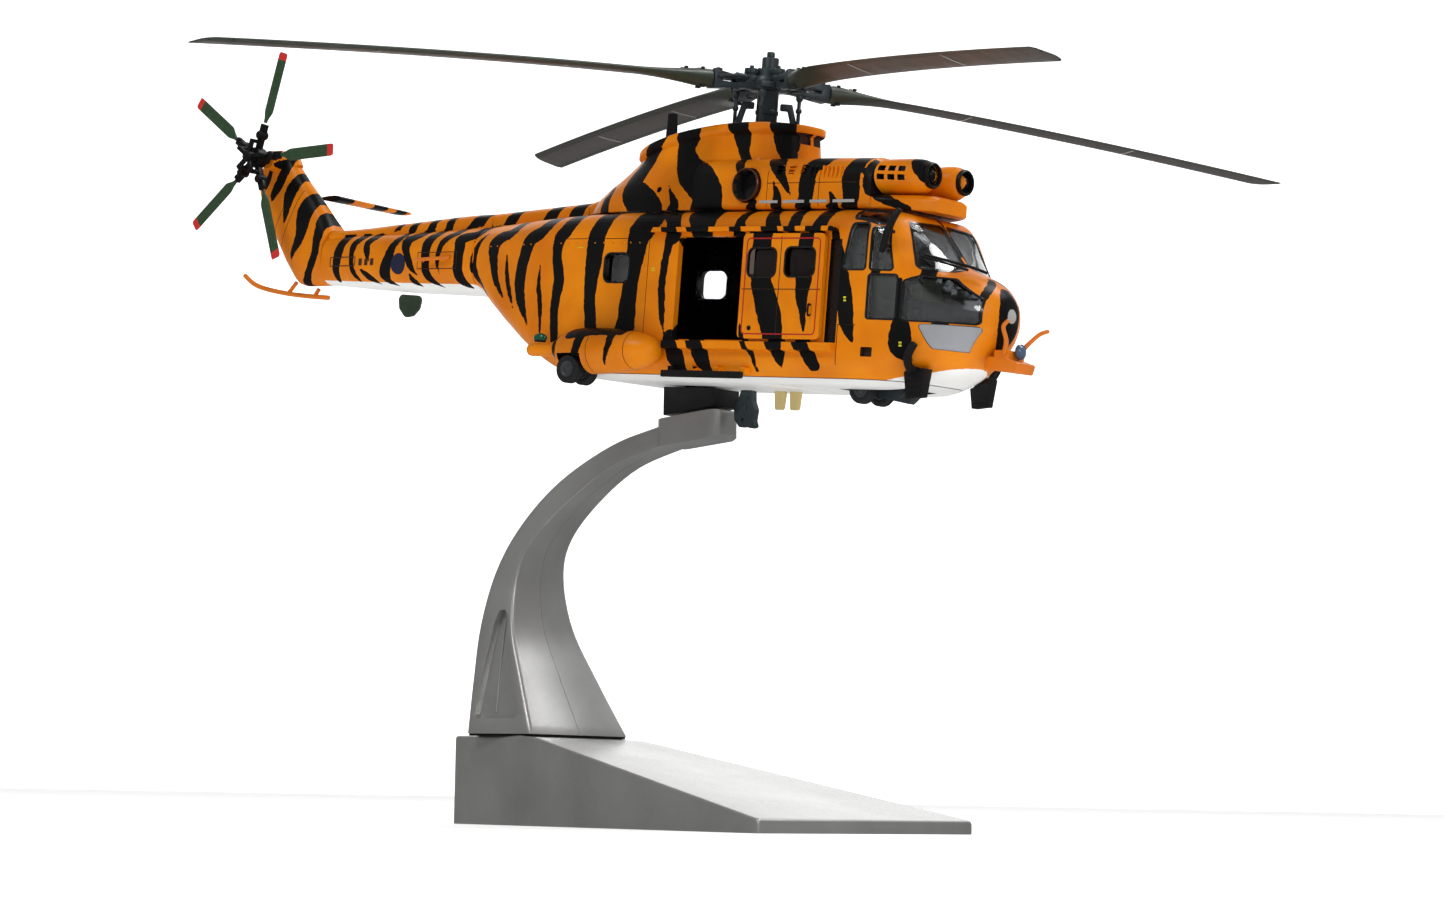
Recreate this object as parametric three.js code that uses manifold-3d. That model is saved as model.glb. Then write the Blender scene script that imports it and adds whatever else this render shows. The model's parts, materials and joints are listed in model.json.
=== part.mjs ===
// Display model of a twin-engine transport helicopter on a curved stand, in millimetres.
// Row frame: origin in the middle of the stand's underside, +X to the nose, +Y to port, +Z up.
// The helicopter is drawn in its own frame, with the main rotor hub at the origin, and placed once.
import * as THREE from "three";
import Module from "manifold-3d";

const wasm = await Module();
wasm.setup();
const { Manifold, Mesh } = wasm;

// ---------------------------------------------------------------- driving dimensions
const GAP = 0.3; // free space between neighbouring pieces
const NOSE_DOWN_DEG = 4.2; // how far the model noses down on its stand
const HUB = { x: 19.58, z: 130.43 }; // main rotor hub over the stand's origin

const BASE = { length: 88.5, rearHalf: 8.8, frontHalf: 30, height: 16, lip: 2.35, flat: 23.6 };
const ARM = { bottomHalf: 13.1, topHalf: 3.4 };
const PAD = { rear: -0.3, front: 11.2, half: 3.6 };

const SKIN = 1.2; // fuselage wall
const CABIN = { half: 14, top: -23.5, bottom: -53.4, floor: -50.2 };
const PAN_TOP = -52.2; // joint between fuselage and belly pan
const DOORWAY = { rear: -5.98, front: 11.5, top: -28.3, bottom: -46.2 };
const DOOR = { rear: 9.54, front: 27.31, top: -28.0, bottom: -46.0, thick: 0.9, y: 14.28 };

const ROTOR = { radius: 104.2, droop: 5.35, firstAzimuth: 64.3, cuff: 11.5, blades: 4 };
const MAST = { radius: 1.9, bottom: -15.6, bore: 2.25 };
const TAIL = { x: -121.5, y: -7.5, z: -11.4, radius: 21.1, first: 14.1, blades: 5, bore: 0.9 };

// ---------------------------------------------------------------- materials
const paint = (color, roughness = 0.45, extra = {}) => () =>
  new THREE.MeshStandardMaterial({ color, roughness, metalness: 0, ...extra });
const ORANGE = paint(0xe8901c);
const WHITE = paint(0xf2f2ee);
const BLACK = paint(0x17181a);
const GREEN = paint(0x2f4a2a);
const HUB_GREY = paint(0x4b5a58);
const SILVER = paint(0x8d8c86, 0.35, { metalness: 0.7 });
const CREAM = paint(0xd8bf78);
const RUBBER = paint(0x26282a, 0.8);
const GLASS = paint(0x30363a, 0.08, { transparent: true, opacity: 0.5 });
const BRONZE = paint(0x8a5a32, 0.4, { metalness: 0.6 });
const NAV_GREEN = paint(0x1d4a30, 0.2);
const NAV_RED = paint(0x8a1c18, 0.2);
const OLIVE = paint(0x3c4a26, 0.8);
const LAMP_BLUE = paint(0x5b6f8c, 0.3);

// ---------------------------------------------------------------- solids
const V = (x, y, z) => new THREE.Vector3(x, y, z);

// A manifold-3d solid from a three.js geometry, with coincident points joined.
function solid(geometry, matrix) {
  const g = geometry.clone();
  if (matrix) g.applyMatrix4(matrix);
  const pos = g.getAttribute("position");
  const count = g.index ? g.index.count : pos.count;
  const seen = new Map();
  const verts = [];
  const id = (i) => {
    const p = [pos.getX(i), pos.getY(i), pos.getZ(i)].map((v) => Math.round(v * 1e4) / 1e4 + 0);
    const key = p.join(",");
    if (!seen.has(key)) {
      seen.set(key, verts.length / 3);
      verts.push(...p);
    }
    return seen.get(key);
  };
  const tris = [];
  for (let i = 0; i < count; i += 3) {
    const t = [0, 1, 2].map((k) => id(g.index ? g.index.getX(i + k) : i + k));
    if (t[0] !== t[1] && t[1] !== t[2] && t[2] !== t[0]) tris.push(...t);
  }
  const make = (order) =>
    new Manifold(
      new Mesh({
        numProp: 3,
        vertProperties: new Float32Array(verts),
        triVerts: new Uint32Array(order),
      }),
    );
  const made = make(tris);
  if (made.volume() >= 0) return made;
  for (let i = 0; i < tris.length; i += 3) [tris[i + 1], tris[i + 2]] = [tris[i + 2], tris[i + 1]];
  return make(tris);
}

const fuse = (...parts) => parts.reduce((a, b) => a.add(b));
const cut = (body, ...tools) => tools.reduce((a, b) => a.subtract(b), body);
const clip = (a, b) => a.intersect(b);

function moved(shape, matrix) {
  return solid(geometryOf(shape), matrix);
}

function geometryOf(shape) {
  const mesh = shape.getMesh();
  const g = new THREE.BufferGeometry();
  const n = mesh.numProp;
  const verts = new Float32Array((mesh.vertProperties.length / n) * 3);
  for (let i = 0; i < verts.length / 3; i++)
    for (let k = 0; k < 3; k++) verts[3 * i + k] = mesh.vertProperties[n * i + k];
  g.setAttribute("position", new THREE.BufferAttribute(verts, 3));
  g.setIndex(Array.from(mesh.triVerts));
  g.computeVertexNormals();
  return g;
}

// Closed body through rings of points, each ring with the same number of points.
function loft(rings) {
  const n = rings[0].length;
  const verts = [];
  const tris = [];
  rings.forEach((ring) => ring.forEach((p) => verts.push(p.x, p.y, p.z)));
  for (let r = 0; r + 1 < rings.length; r++)
    for (let i = 0; i < n; i++) {
      const a = r * n + i;
      const b = r * n + ((i + 1) % n);
      tris.push(a, b, b + n, a, b + n, a + n);
    }
  for (const [r, flip] of [[0, true], [rings.length - 1, false]]) {
    const mid = rings[r].reduce((s, p) => s.add(p), V(0, 0, 0)).divideScalar(n);
    const c = verts.length / 3;
    verts.push(mid.x, mid.y, mid.z);
    for (let i = 0; i < n; i++) {
      const a = r * n + i;
      const b = r * n + ((i + 1) % n);
      tris.push(...(flip ? [c, b, a] : [c, a, b]));
    }
  }
  const g = new THREE.BufferGeometry();
  g.setAttribute("position", new THREE.Float32BufferAttribute(verts, 3));
  g.setIndex(tris);
  return solid(g);
}

const box = (x0, x1, y0, y1, z0, z1) =>
  solid(
    new THREE.BoxGeometry(x1 - x0, y1 - y0, z1 - z0),
    new THREE.Matrix4().makeTranslation((x0 + x1) / 2, (y0 + y1) / 2, (z0 + z1) / 2),
  );

// Round bar from a to b.
function bar(a, b, ra, rb = ra, sides = 12) {
  const dir = b.clone().sub(a);
  const q = new THREE.Quaternion().setFromUnitVectors(V(0, 1, 0), dir.clone().normalize());
  const m = new THREE.Matrix4().compose(a.clone().lerp(b, 0.5), q, V(1, 1, 1));
  return solid(new THREE.CylinderGeometry(rb, ra, dir.length(), sides), m);
}

const ball = (c, rx, ry = rx, rz = rx, w = 12, h = 8) =>
  solid(
    new THREE.SphereGeometry(1, w, h),
    new THREE.Matrix4().compose(c, new THREE.Quaternion(), V(rx, ry, rz)),
  );

// Turned piece: profile of [radius, height] pairs, its axis along dir from the point at.
function turned(profile, at, dir, sides = 20) {
  const g = new THREE.LatheGeometry(profile.map(([r, h]) => new THREE.Vector2(r, h)), sides);
  const q = new THREE.Quaternion().setFromUnitVectors(V(0, 1, 0), dir.clone().normalize());
  return solid(g, new THREE.Matrix4().compose(at, q, V(1, 1, 1)));
}

// Bent round rod along a smooth path.
function rod(points, radius, sides = 8, steps = 14) {
  const circle = new THREE.Shape();
  for (let i = 0; i < sides; i++) {
    const a = (2 * Math.PI * i) / sides;
    const [x, y] = [radius * Math.cos(a), radius * Math.sin(a)];
    i ? circle.lineTo(x, y) : circle.moveTo(x, y);
  }
  circle.closePath();
  const path = new THREE.CatmullRomCurve3(points);
  return solid(
    new THREE.ExtrudeGeometry(circle, { steps, extrudePath: path, bevelEnabled: false }),
  );
}

// Flat shapes: rounded rectangle and polygon.
function roundRect(u0, v0, u1, v1, r) {
  const s = new THREE.Shape();
  s.moveTo(u0 + r, v0);
  s.lineTo(u1 - r, v0);
  s.absarc(u1 - r, v0 + r, r, -Math.PI / 2, 0, false);
  s.lineTo(u1, v1 - r);
  s.absarc(u1 - r, v1 - r, r, 0, Math.PI / 2, false);
  s.lineTo(u0 + r, v1);
  s.absarc(u0 + r, v1 - r, r, Math.PI / 2, Math.PI, false);
  s.lineTo(u0, v0 + r);
  s.absarc(u0 + r, v0 + r, r, Math.PI, 1.5 * Math.PI, false);
  return s;
}
function polygon(points) {
  const s = new THREE.Shape();
  points.forEach(([u, v], i) => (i ? s.lineTo(u, v) : s.moveTo(u, v)));
  s.closePath();
  return s;
}

const extruded = (shape, depth) =>
  new THREE.ExtrudeGeometry(shape, { depth, bevelEnabled: false, curveSegments: 3 });
const alongY = (shape, y0, y1) =>
  solid(extruded(shape, y1 - y0), new THREE.Matrix4().makeRotationX(Math.PI / 2).setPosition(0, y1, 0));
const alongX = (shape, x0, x1) =>
  solid(
    extruded(shape, x1 - x0),
    new THREE.Matrix4().makeBasis(V(0, 1, 0), V(0, 0, 1), V(1, 0, 0)).setPosition(x0, 0, 0),
  );
const alongZ = (shape, z0, z1) =>
  solid(extruded(shape, z1 - z0), new THREE.Matrix4().makeTranslation(0, 0, z0));

const mirrorY = (shape) => moved(shape, new THREE.Matrix4().makeScale(1, -1, 1));
const turnZ = (shape, deg) => moved(shape, new THREE.Matrix4().makeRotationZ((deg * Math.PI) / 180));

// Smooth value between hand-set stations: rows start with x, the rest are the values there.
function stationAt(rows, x) {
  let i = 0;
  while (i < rows.length - 2 && x > rows[i + 1][0]) i++;
  const [a, b] = [rows[i], rows[i + 1]];
  const before = rows[Math.max(i - 1, 0)];
  const after = rows[Math.min(i + 2, rows.length - 1)];
  const t = (x - a[0]) / (b[0] - a[0]);
  const slope = (p, q, k) => (q[0] === p[0] ? 0 : (q[k] - p[k]) / (q[0] - p[0]));
  return a.map((_, k) => {
    if (k === 0) return x;
    const h = b[0] - a[0];
    const lim = (m) => Math.sign(slope(a, b, k)) * Math.min(Math.abs(m), 3 * Math.abs(slope(a, b, k)));
    const m0 = slope(before, a, k) * slope(a, b, k) > 0 ? lim(slope(before, b, k)) : 0;
    const m1 = slope(a, b, k) * slope(b, after, k) > 0 ? lim(slope(a, after, k)) : 0;
    const t2 = t * t;
    const t3 = t2 * t;
    const ends = (2 * t3 - 3 * t2 + 1) * a[k] + (3 * t2 - 2 * t3) * b[k];
    return ends + (t3 - 2 * t2 + t) * h * m0 + (t3 - t2) * h * m1;
  });
}

// Cross-section with flat sides and quarter-ellipse corners.
// row: x, half width, top, bottom, top corner width and height, bottom corner width and height
function crossSection([x, half, top, bottom, tw, th, bw, bh], inset = 0, perCorner = 6) {
  const h = half - inset;
  const [t, b] = [top - inset, bottom + inset];
  const mid = (t + b) / 2;
  const corner = [
    [Math.min(tw, h), Math.min(th, t - mid), 1, 1],
    [Math.min(tw, h), Math.min(th, t - mid), -1, 1],
    [Math.min(bw, h), Math.min(bh, mid - b), -1, -1],
    [Math.min(bw, h), Math.min(bh, mid - b), 1, -1],
  ];
  const ring = [];
  corner.forEach(([w, hh, sy, sz], c) => {
    for (let i = 0; i < perCorner; i++) {
      const a = (Math.PI / 2) * (c + i / (perCorner - 1));
      const [cy, cz] = [sy * (h - w), sz > 0 ? t - hh : b + hh];
      ring.push(V(x, cy + w * Math.cos(a), cz + hh * Math.sin(a)));
    }
  });
  return ring;
}

const lofted = (rows, xs, inset = 0, perCorner = 6) =>
  loft(xs.map((x) => crossSection(stationAt(rows, x), inset, perCorner)));

// ---------------------------------------------------------------- scene groups
const group = new THREE.Group();
const helicopter = new THREE.Group();
helicopter.rotation.y = (NOSE_DOWN_DEG * Math.PI) / 180;
helicopter.position.set(HUB.x, 0, HUB.z);
group.add(helicopter);

function add(name, shape, material, parent = helicopter) {
  const mesh = new THREE.Mesh(geometryOf(shape), material());
  mesh.name = name;
  parent.add(mesh);
}
const SIDES = [
  ["starboard", -1],
  ["port", 1],
];
const onSide = (shape, sign) => (sign > 0 ? shape : mirrorY(shape));

// ---------------------------------------------------------------- stand
{
  // Flared wedge: narrow and tall behind, wide and thin in front, with softened edges.
  const x0 = -BASE.length / 2;
  const slopeStart = x0 + BASE.flat;
  const heightAt = (x) =>
    x <= slopeStart
      ? BASE.height
      : BASE.height - ((BASE.height - BASE.lip) * (x - slopeStart)) / (BASE.length - BASE.flat);
  const halfAt = (x) => BASE.rearHalf + ((BASE.frontHalf - BASE.rearHalf) * (x - x0)) / BASE.length;
  const edge = 0.55;
  const ring = (x, inset) => {
    const [w, h] = [halfAt(x) - inset, heightAt(x) - inset];
    return [
      V(x, w, inset),
      V(x, w, h - edge),
      V(x, w - 0.17, h - 0.17),
      V(x, w - edge, h),
      V(x, -w + edge, h),
      V(x, -w + 0.17, h - 0.17),
      V(x, -w, h - edge),
      V(x, -w, inset),
    ];
  };
  const xs = [x0, x0 + edge, slopeStart - 1.2, slopeStart + 1.2, BASE.length / 2 - edge, BASE.length / 2];
  const rings = xs.map((x, i) => ring(x, i === 0 || i === xs.length - 1 ? 0.35 : 0));
  rings[0].forEach((p) => (p.z = p.z < 1 ? 0 : p.z));
  rings[xs.length - 1].forEach((p) => (p.z = p.z < 1 ? 0 : p.z));
  add("stand_base", loft(rings), SILVER, group);
}

// Side profile of the arm, from its foot to the cradle: rear edge and front edge.
const ARM_REAR = [
  [-37.4, 16.3], [-38.5, 25.2], [-39.2, 36], [-37.4, 46.2],
  [-32.6, 54.6], [-24.4, 62.2], [-12.6, 68.2], [-0.7, 71.3],
];
const ARM_FRONT = [
  [-21.4, 16.3], [-26.6, 26.4], [-31, 35.9], [-31.9, 45.2],
  [-29.2, 51.9], [-21.6, 58.6], [-11.7, 64.4], [0.5, 67.9],
];
{
  const curve = (pts) => new THREE.CatmullRomCurve3(pts.map(([x, z]) => V(x, 0, z)));
  const [rear, front] = [curve(ARM_REAR), curve(ARM_FRONT)];
  const halfAt = (z) => {
    const t = THREE.MathUtils.clamp((z - 16.3) / 52, 0, 1);
    return ARM.topHalf + (ARM.bottomHalf - ARM.topHalf) * Math.pow(1 - t, 1.42);
  };
  const rings = [];
  const steps = 16;
  for (let i = 0; i <= steps; i++) {
    const [r, f] = [rear.getPoint(i / steps), front.getPoint(i / steps)];
    const [hr, hf] = [halfAt(r.z), halfAt(f.z)];
    const e = 0.16;
    const at = (t, y) => V(r.x + (f.x - r.x) * t, y, r.z + (f.z - r.z) * t);
    const h = (t) => hr + (hf - hr) * t;
    rings.push([
      at(0, -hr + 0.6), at(e / 3, -h(0.03)), at(1 - e / 3, -h(0.97)), at(1, -hf + 0.6),
      at(1, hf - 0.6), at(1 - e / 3, h(0.97)), at(e / 3, h(0.03)), at(0, hr - 0.6),
    ]);
  }
  const shaft = loft(rings);
  // Cradle under the pad: a shallow cup rising to the front, joined to the arm's end.
  const cup = alongY(
    polygon([[-0.5, 69.2], [-0.5, 72.4], [11.5, 73.6], [11.5, 69.2], [9.5, 68.4], [0.5, 67.9]]),
    -3.9, 3.9,
  );
  // Round-topped triangular recess in each side of the foot.
  const outline = [
    [-36.2, 19], [-25.6, 19], [-29.6, 28], [-32.2, 36.8],
    [-33.4, 38.6], [-34.8, 38.4], [-35.6, 36.4], [-36.1, 28],
  ];
  const recess = alongY(polygon(outline), 0, 20);
  const depth = 1.5;
  const inner = loft(rings.map((ring) => ring.map((p) => V(p.x, p.y - Math.sign(p.y) * depth, p.z))));
  const pocket = cut(recess, inner);
  const pocketBoth = fuse(pocket, mirrorY(pocket));
  add("stand_arm", cut(fuse(shaft, cup), pocketBoth), SILVER, group);
}

const bellyAt = (x) => {
  // Height in the row frame of the belly pan's underside over the row x.
  const t = (NOSE_DOWN_DEG * Math.PI) / 180;
  return HUB.z - (x - HUB.x) * Math.tan(t) + CABIN.bottom / Math.cos(t);
};
{
  const { rear, front, half } = PAD;
  const top = (x) => bellyAt(x) - GAP;
  const block = alongY(
    polygon([
      [rear, 72.9], [3.2, 73.3], [7.4, 73.7], [front, 74.1],
      [front, top(front)], [rear, top(rear)],
    ]),
    -half, half,
  );
  const peg = box(3, 7.6, -1.6, 1.6, 76, bellyAt(5) + 1.8);
  add("stand_pad", fuse(block, peg), BLACK, group);
}

// ---------------------------------------------------------------- fuselage
const BODY = [
  [-60.3, 8.4, -24.9, -37.4, 5.5, 4.5, 5.5, 4.5],
  [-56, 9.4, -24.8, -40.3, 5.5, 4.6, 5.5, 4.8],
  [-50, 10.8, -24.6, -44.3, 5.2, 4.7, 5.5, 5],
  [-43, 12.4, -24.3, -48.4, 5, 4.7, 5.3, 5],
  [-36, 13.5, -24, -51.5, 4.8, 4.6, 5, 4.8],
  [-28, 14, -23.7, -53, 4.6, 4.5, 4.6, 4.6],
  [-18, CABIN.half, CABIN.top, CABIN.bottom, 4.5, 4.5, 4.5, 4.5],
  [30, CABIN.half, CABIN.top, CABIN.bottom, 4.5, 4.5, 4.5, 4.5],
  [36, 13.6, -23.6, -53.3, 5, 5, 5, 5],
  [39.5, 13, -24.3, -52.9, 6.5, 6, 6, 5.2],
  [43, 12.1, -28.3, -52.1, 10, 8, 7, 5.8],
  [46.5, 10.8, -32.2, -51, 10.8, 7.4, 8, 6.4],
  [49.5, 9.2, -33.4, -49.6, 9.2, 6.6, 8, 6.6],
  [52, 7.4, -34.4, -48, 7.4, 6, 7, 6.4],
  [54, 5.3, -35.8, -46.1, 5.3, 5, 5.3, 5],
  [55.3, 3.2, -37.4, -43.9, 3.2, 3, 3.2, 3],
  [55.9, 1.3, -39.3, -41.5, 1.3, 1, 1.3, 1],
];
const BODY_X = [-60.3, -56, -50, -43, -36, -28, -18, 30, 36, 38, 39.5, 43, 46.5, 49.5, 52, 54, 55.3, 55.9];
const bodyOuter = () => lofted(BODY, BODY_X, 0, 5);
const INNER_X = [-60.3, -50, -43, -36, -28, -18, 30, 36, 39.5, 43, 46.5, 49.5, 52, 54];
const bodyInner = (inset) => lofted(BODY, INNER_X, inset, 4);

// Starboard-side and port-side openings are the same, so each tool runs right through.
const SPAN = 20;
const AFT_WINDOW = roundRect(-22.8, -36.2, -17.2, -31.3, 1.1);
const REAR_UPPER = polygon([[30.6, -33.9], [32.1, -26.3], [35.1, -26.2], [35, -33.9]]);
const SIDE_UPPER = polygon([[36.1, -33.9], [36.1, -26.9], [38.9, -26.9], [40.2, -33.9]]);
const SIDE_LOWER = polygon([[36, -42.1], [36, -34.9], [41.1, -34.9], [41.1, -42.1]]);
const NOSE_LOWER = polygon([
  [42.3, -42.2], [42.3, -35.9], [44.5, -34.9], [48.6, -34.9], [53.6, -38.2], [53.6, -42.2],
]);
const CHIN = polygon([[45, -43.2], [53.9, -43], [51.2, -47], [47.2, -46.7]]);
const WINDSCREEN = polygon([[-10.6, -33.4], [-9, -25.7], [-0.7, -25.3], [-0.7, -32.2], [-5, -33.2]]);
const EYEBROW = polygon([[31.8, 10.2], [37.6, 9.8], [37.6, 12.6], [31.8, 12.9]]);

const glazedOpenings = () => [
  alongY(AFT_WINDOW, -SPAN, SPAN),
  alongY(REAR_UPPER, -SPAN, SPAN),
  alongY(SIDE_UPPER, -SPAN, SPAN),
  alongY(SIDE_LOWER, -SPAN, SPAN),
  ...[-1, 1].flatMap((s) => [
    onSide(alongY(NOSE_LOWER, 3.6, SPAN), s),
    onSide(alongY(CHIN, 2.4, SPAN), s),
    onSide(mirrorY(alongX(WINDSCREEN, 38.4, 60)), s),
    onSide(alongZ(EYEBROW, -26.4, -20), s),
  ]),
];

{
  const { rear, bottom, front, top } = DOORWAY;
  const doorway = alongY(roundRect(rear, bottom, front, top, 0.8), -SPAN, SPAN);
  let shell = cut(bodyOuter(), bodyInner(SKIN));
  shell = cut(shell, box(-46, 50, -SPAN, SPAN, -60, PAN_TOP), doorway, ...glazedOpenings());
  // Spine fairing over the flare, between tail boom and engine cowling.
  const spine = lofted(
    [[-60.3, 3.8, -22.2, -26.2, 2.6, 1.6, 0.5, 0.5], [-36.8, 3.8, -20.4, -26.2, 2.6, 1.6, 0.5, 0.5]],
    [-60.3, -36.8], 0, 4,
  );
  shell = fuse(shell, cut(spine, bodyInner(0.6)));
  for (const [, s] of SIDES) {
    // Door rail above the doorway and ledge below it.
    const rail = box(-12.4, 29, 13.6, 15.3, -27.6, -26.8);
    const ledge = alongX(polygon([[13.4, -48.2], [15.2, -47.8], [15.2, -46.5], [13.4, -46.5]]), -7.4, 30);
    const brackets = [-5.2, -0.6, 5, 10.9].map((x) => box(x - 0.6, x + 0.6, 13.2, 14.7, -52, -50.9));
    shell = fuse(shell, onSide(fuse(rail, ledge, ...brackets), s));
    // Recessed channel ahead of the door's open position.
    shell = cut(shell, onSide(box(27.7, 30.1, 13.45, SPAN, -46.4, -28.9), s));
  }
  // Wheel wells and the nose wheel bay.
  const wheelWell = box(-29, -21.6, 12.6, SPAN, -60, -48.2);
  for (const [, s] of SIDES) shell = cut(shell, onSide(wheelWell, s));
  shell = cut(shell, box(24, 38.2, -4.6, 4.6, -60, -50.6));
  add("fuselage_shell", shell, ORANGE);

  let pan = clip(bodyOuter(), box(-45.8, 49.8, -SPAN, SPAN, -60, PAN_TOP - GAP));
  for (const [, s] of SIDES) pan = cut(pan, onSide(wheelWell, s));
  // Socket for the stand's peg and slot for the nose wheels.
  const toLocal = new THREE.Matrix4()
    .makeRotationY((NOSE_DOWN_DEG * Math.PI) / 180)
    .setPosition(HUB.x, 0, HUB.z)
    .invert();
  pan = cut(pan, moved(box(2.5, 8.1, -2.1, 2.1, 60, 90), toLocal));
  pan = cut(pan, box(24, 38.2, -4.6, 4.6, -60, -50));
  add("belly_pan", pan, WHITE);
}

// Black inner tub: floor, rear wall, front bulkhead and cockpit floor.
{
  const inset = SKIN + GAP;
  const room = bodyInner(inset);
  const slabs = fuse(
    box(-33, 44, -SPAN, SPAN, CABIN.floor - 0.9, CABIN.floor),
    box(-33, -32, -SPAN, SPAN, CABIN.floor - 0.9, -20),
    cut(box(28.2, 29.2, -SPAN, SPAN, CABIN.floor - 0.9, -20), box(20, 32, -3.5, 3.5, -47, -27)),
    box(43, 44, -8.6, 8.6, CABIN.floor - 0.9, -38.5),
    box(40.6, 44, -8.6, 8.6, -40.2, -38.5),
  );
  let tub = clip(slabs, room);
  for (const [, s] of SIDES) tub = cut(tub, onSide(box(-29.4, -21.2, 12.2, SPAN, -60, -47.8), s));
  tub = cut(tub, box(23.6, 38.6, -5, 5, -60, -50.6));
  add("cabin_tub", tub, BLACK);
}

// ---------------------------------------------------------------- glazing
{
  const outer = bodyInner(SKIN + 0.25);
  const inner = bodyInner(SKIN + 0.95);
  const keep = fuse(box(30.3, 60, -SPAN, SPAN, -47.6, -20));
  let glazing = clip(cut(outer, inner), keep);
  glazing = cut(glazing, box(20, 44.4, -SPAN, SPAN, -52, -42.7));
  glazing = cut(glazing, box(30, 31.2, -9.6, 9.6, -60, -20));
  add("cockpit_glazing", glazing, GLASS);
  for (const [side, s] of SIDES) {
    const inside = CABIN.half - SKIN;
    const pane = alongY(roundRect(-23.6, -37, -16.4, -30.5, 1.2), inside - 0.75, inside - 0.25);
    add("aft_window_" + side, onSide(pane, s), GLASS);
  }
}

// ---------------------------------------------------------------- cabin doors
{
  const windowA = roundRect(10.95, -35.4, 16.95, -30.6, 1.1);
  const windowB = roundRect(19.05, -35.3, 25.35, -30.5, 1.1);
  for (const [side, s] of SIDES) {
    const { rear, bottom, front, top, y, thick } = DOOR;
    let door = alongY(roundRect(rear, bottom, front, top, 0.9), y, y + thick);
    door = cut(door, alongY(windowA, 10, SPAN), alongY(windowB, 10, SPAN));
    // Shallow seat behind each window, where the clear pane lies.
    door = cut(door, alongY(roundRect(10.2, -36.1, 26.1, -29.8, 1.2), 10, DOOR.y + 0.45));
    door = fuse(door, box(12, 14, DOOR.y + 0.2, DOOR.y + 0.62, -28.4, -27.75));
    add("door_" + side, onSide(door, s), ORANGE);
    const pane = alongY(roundRect(10.5, -35.8, 25.8, -30.1, 1.1), DOOR.y + 0.02, DOOR.y + 0.3);
    add("door_panes_" + side, onSide(pane, s), GLASS);
  }
}

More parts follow.
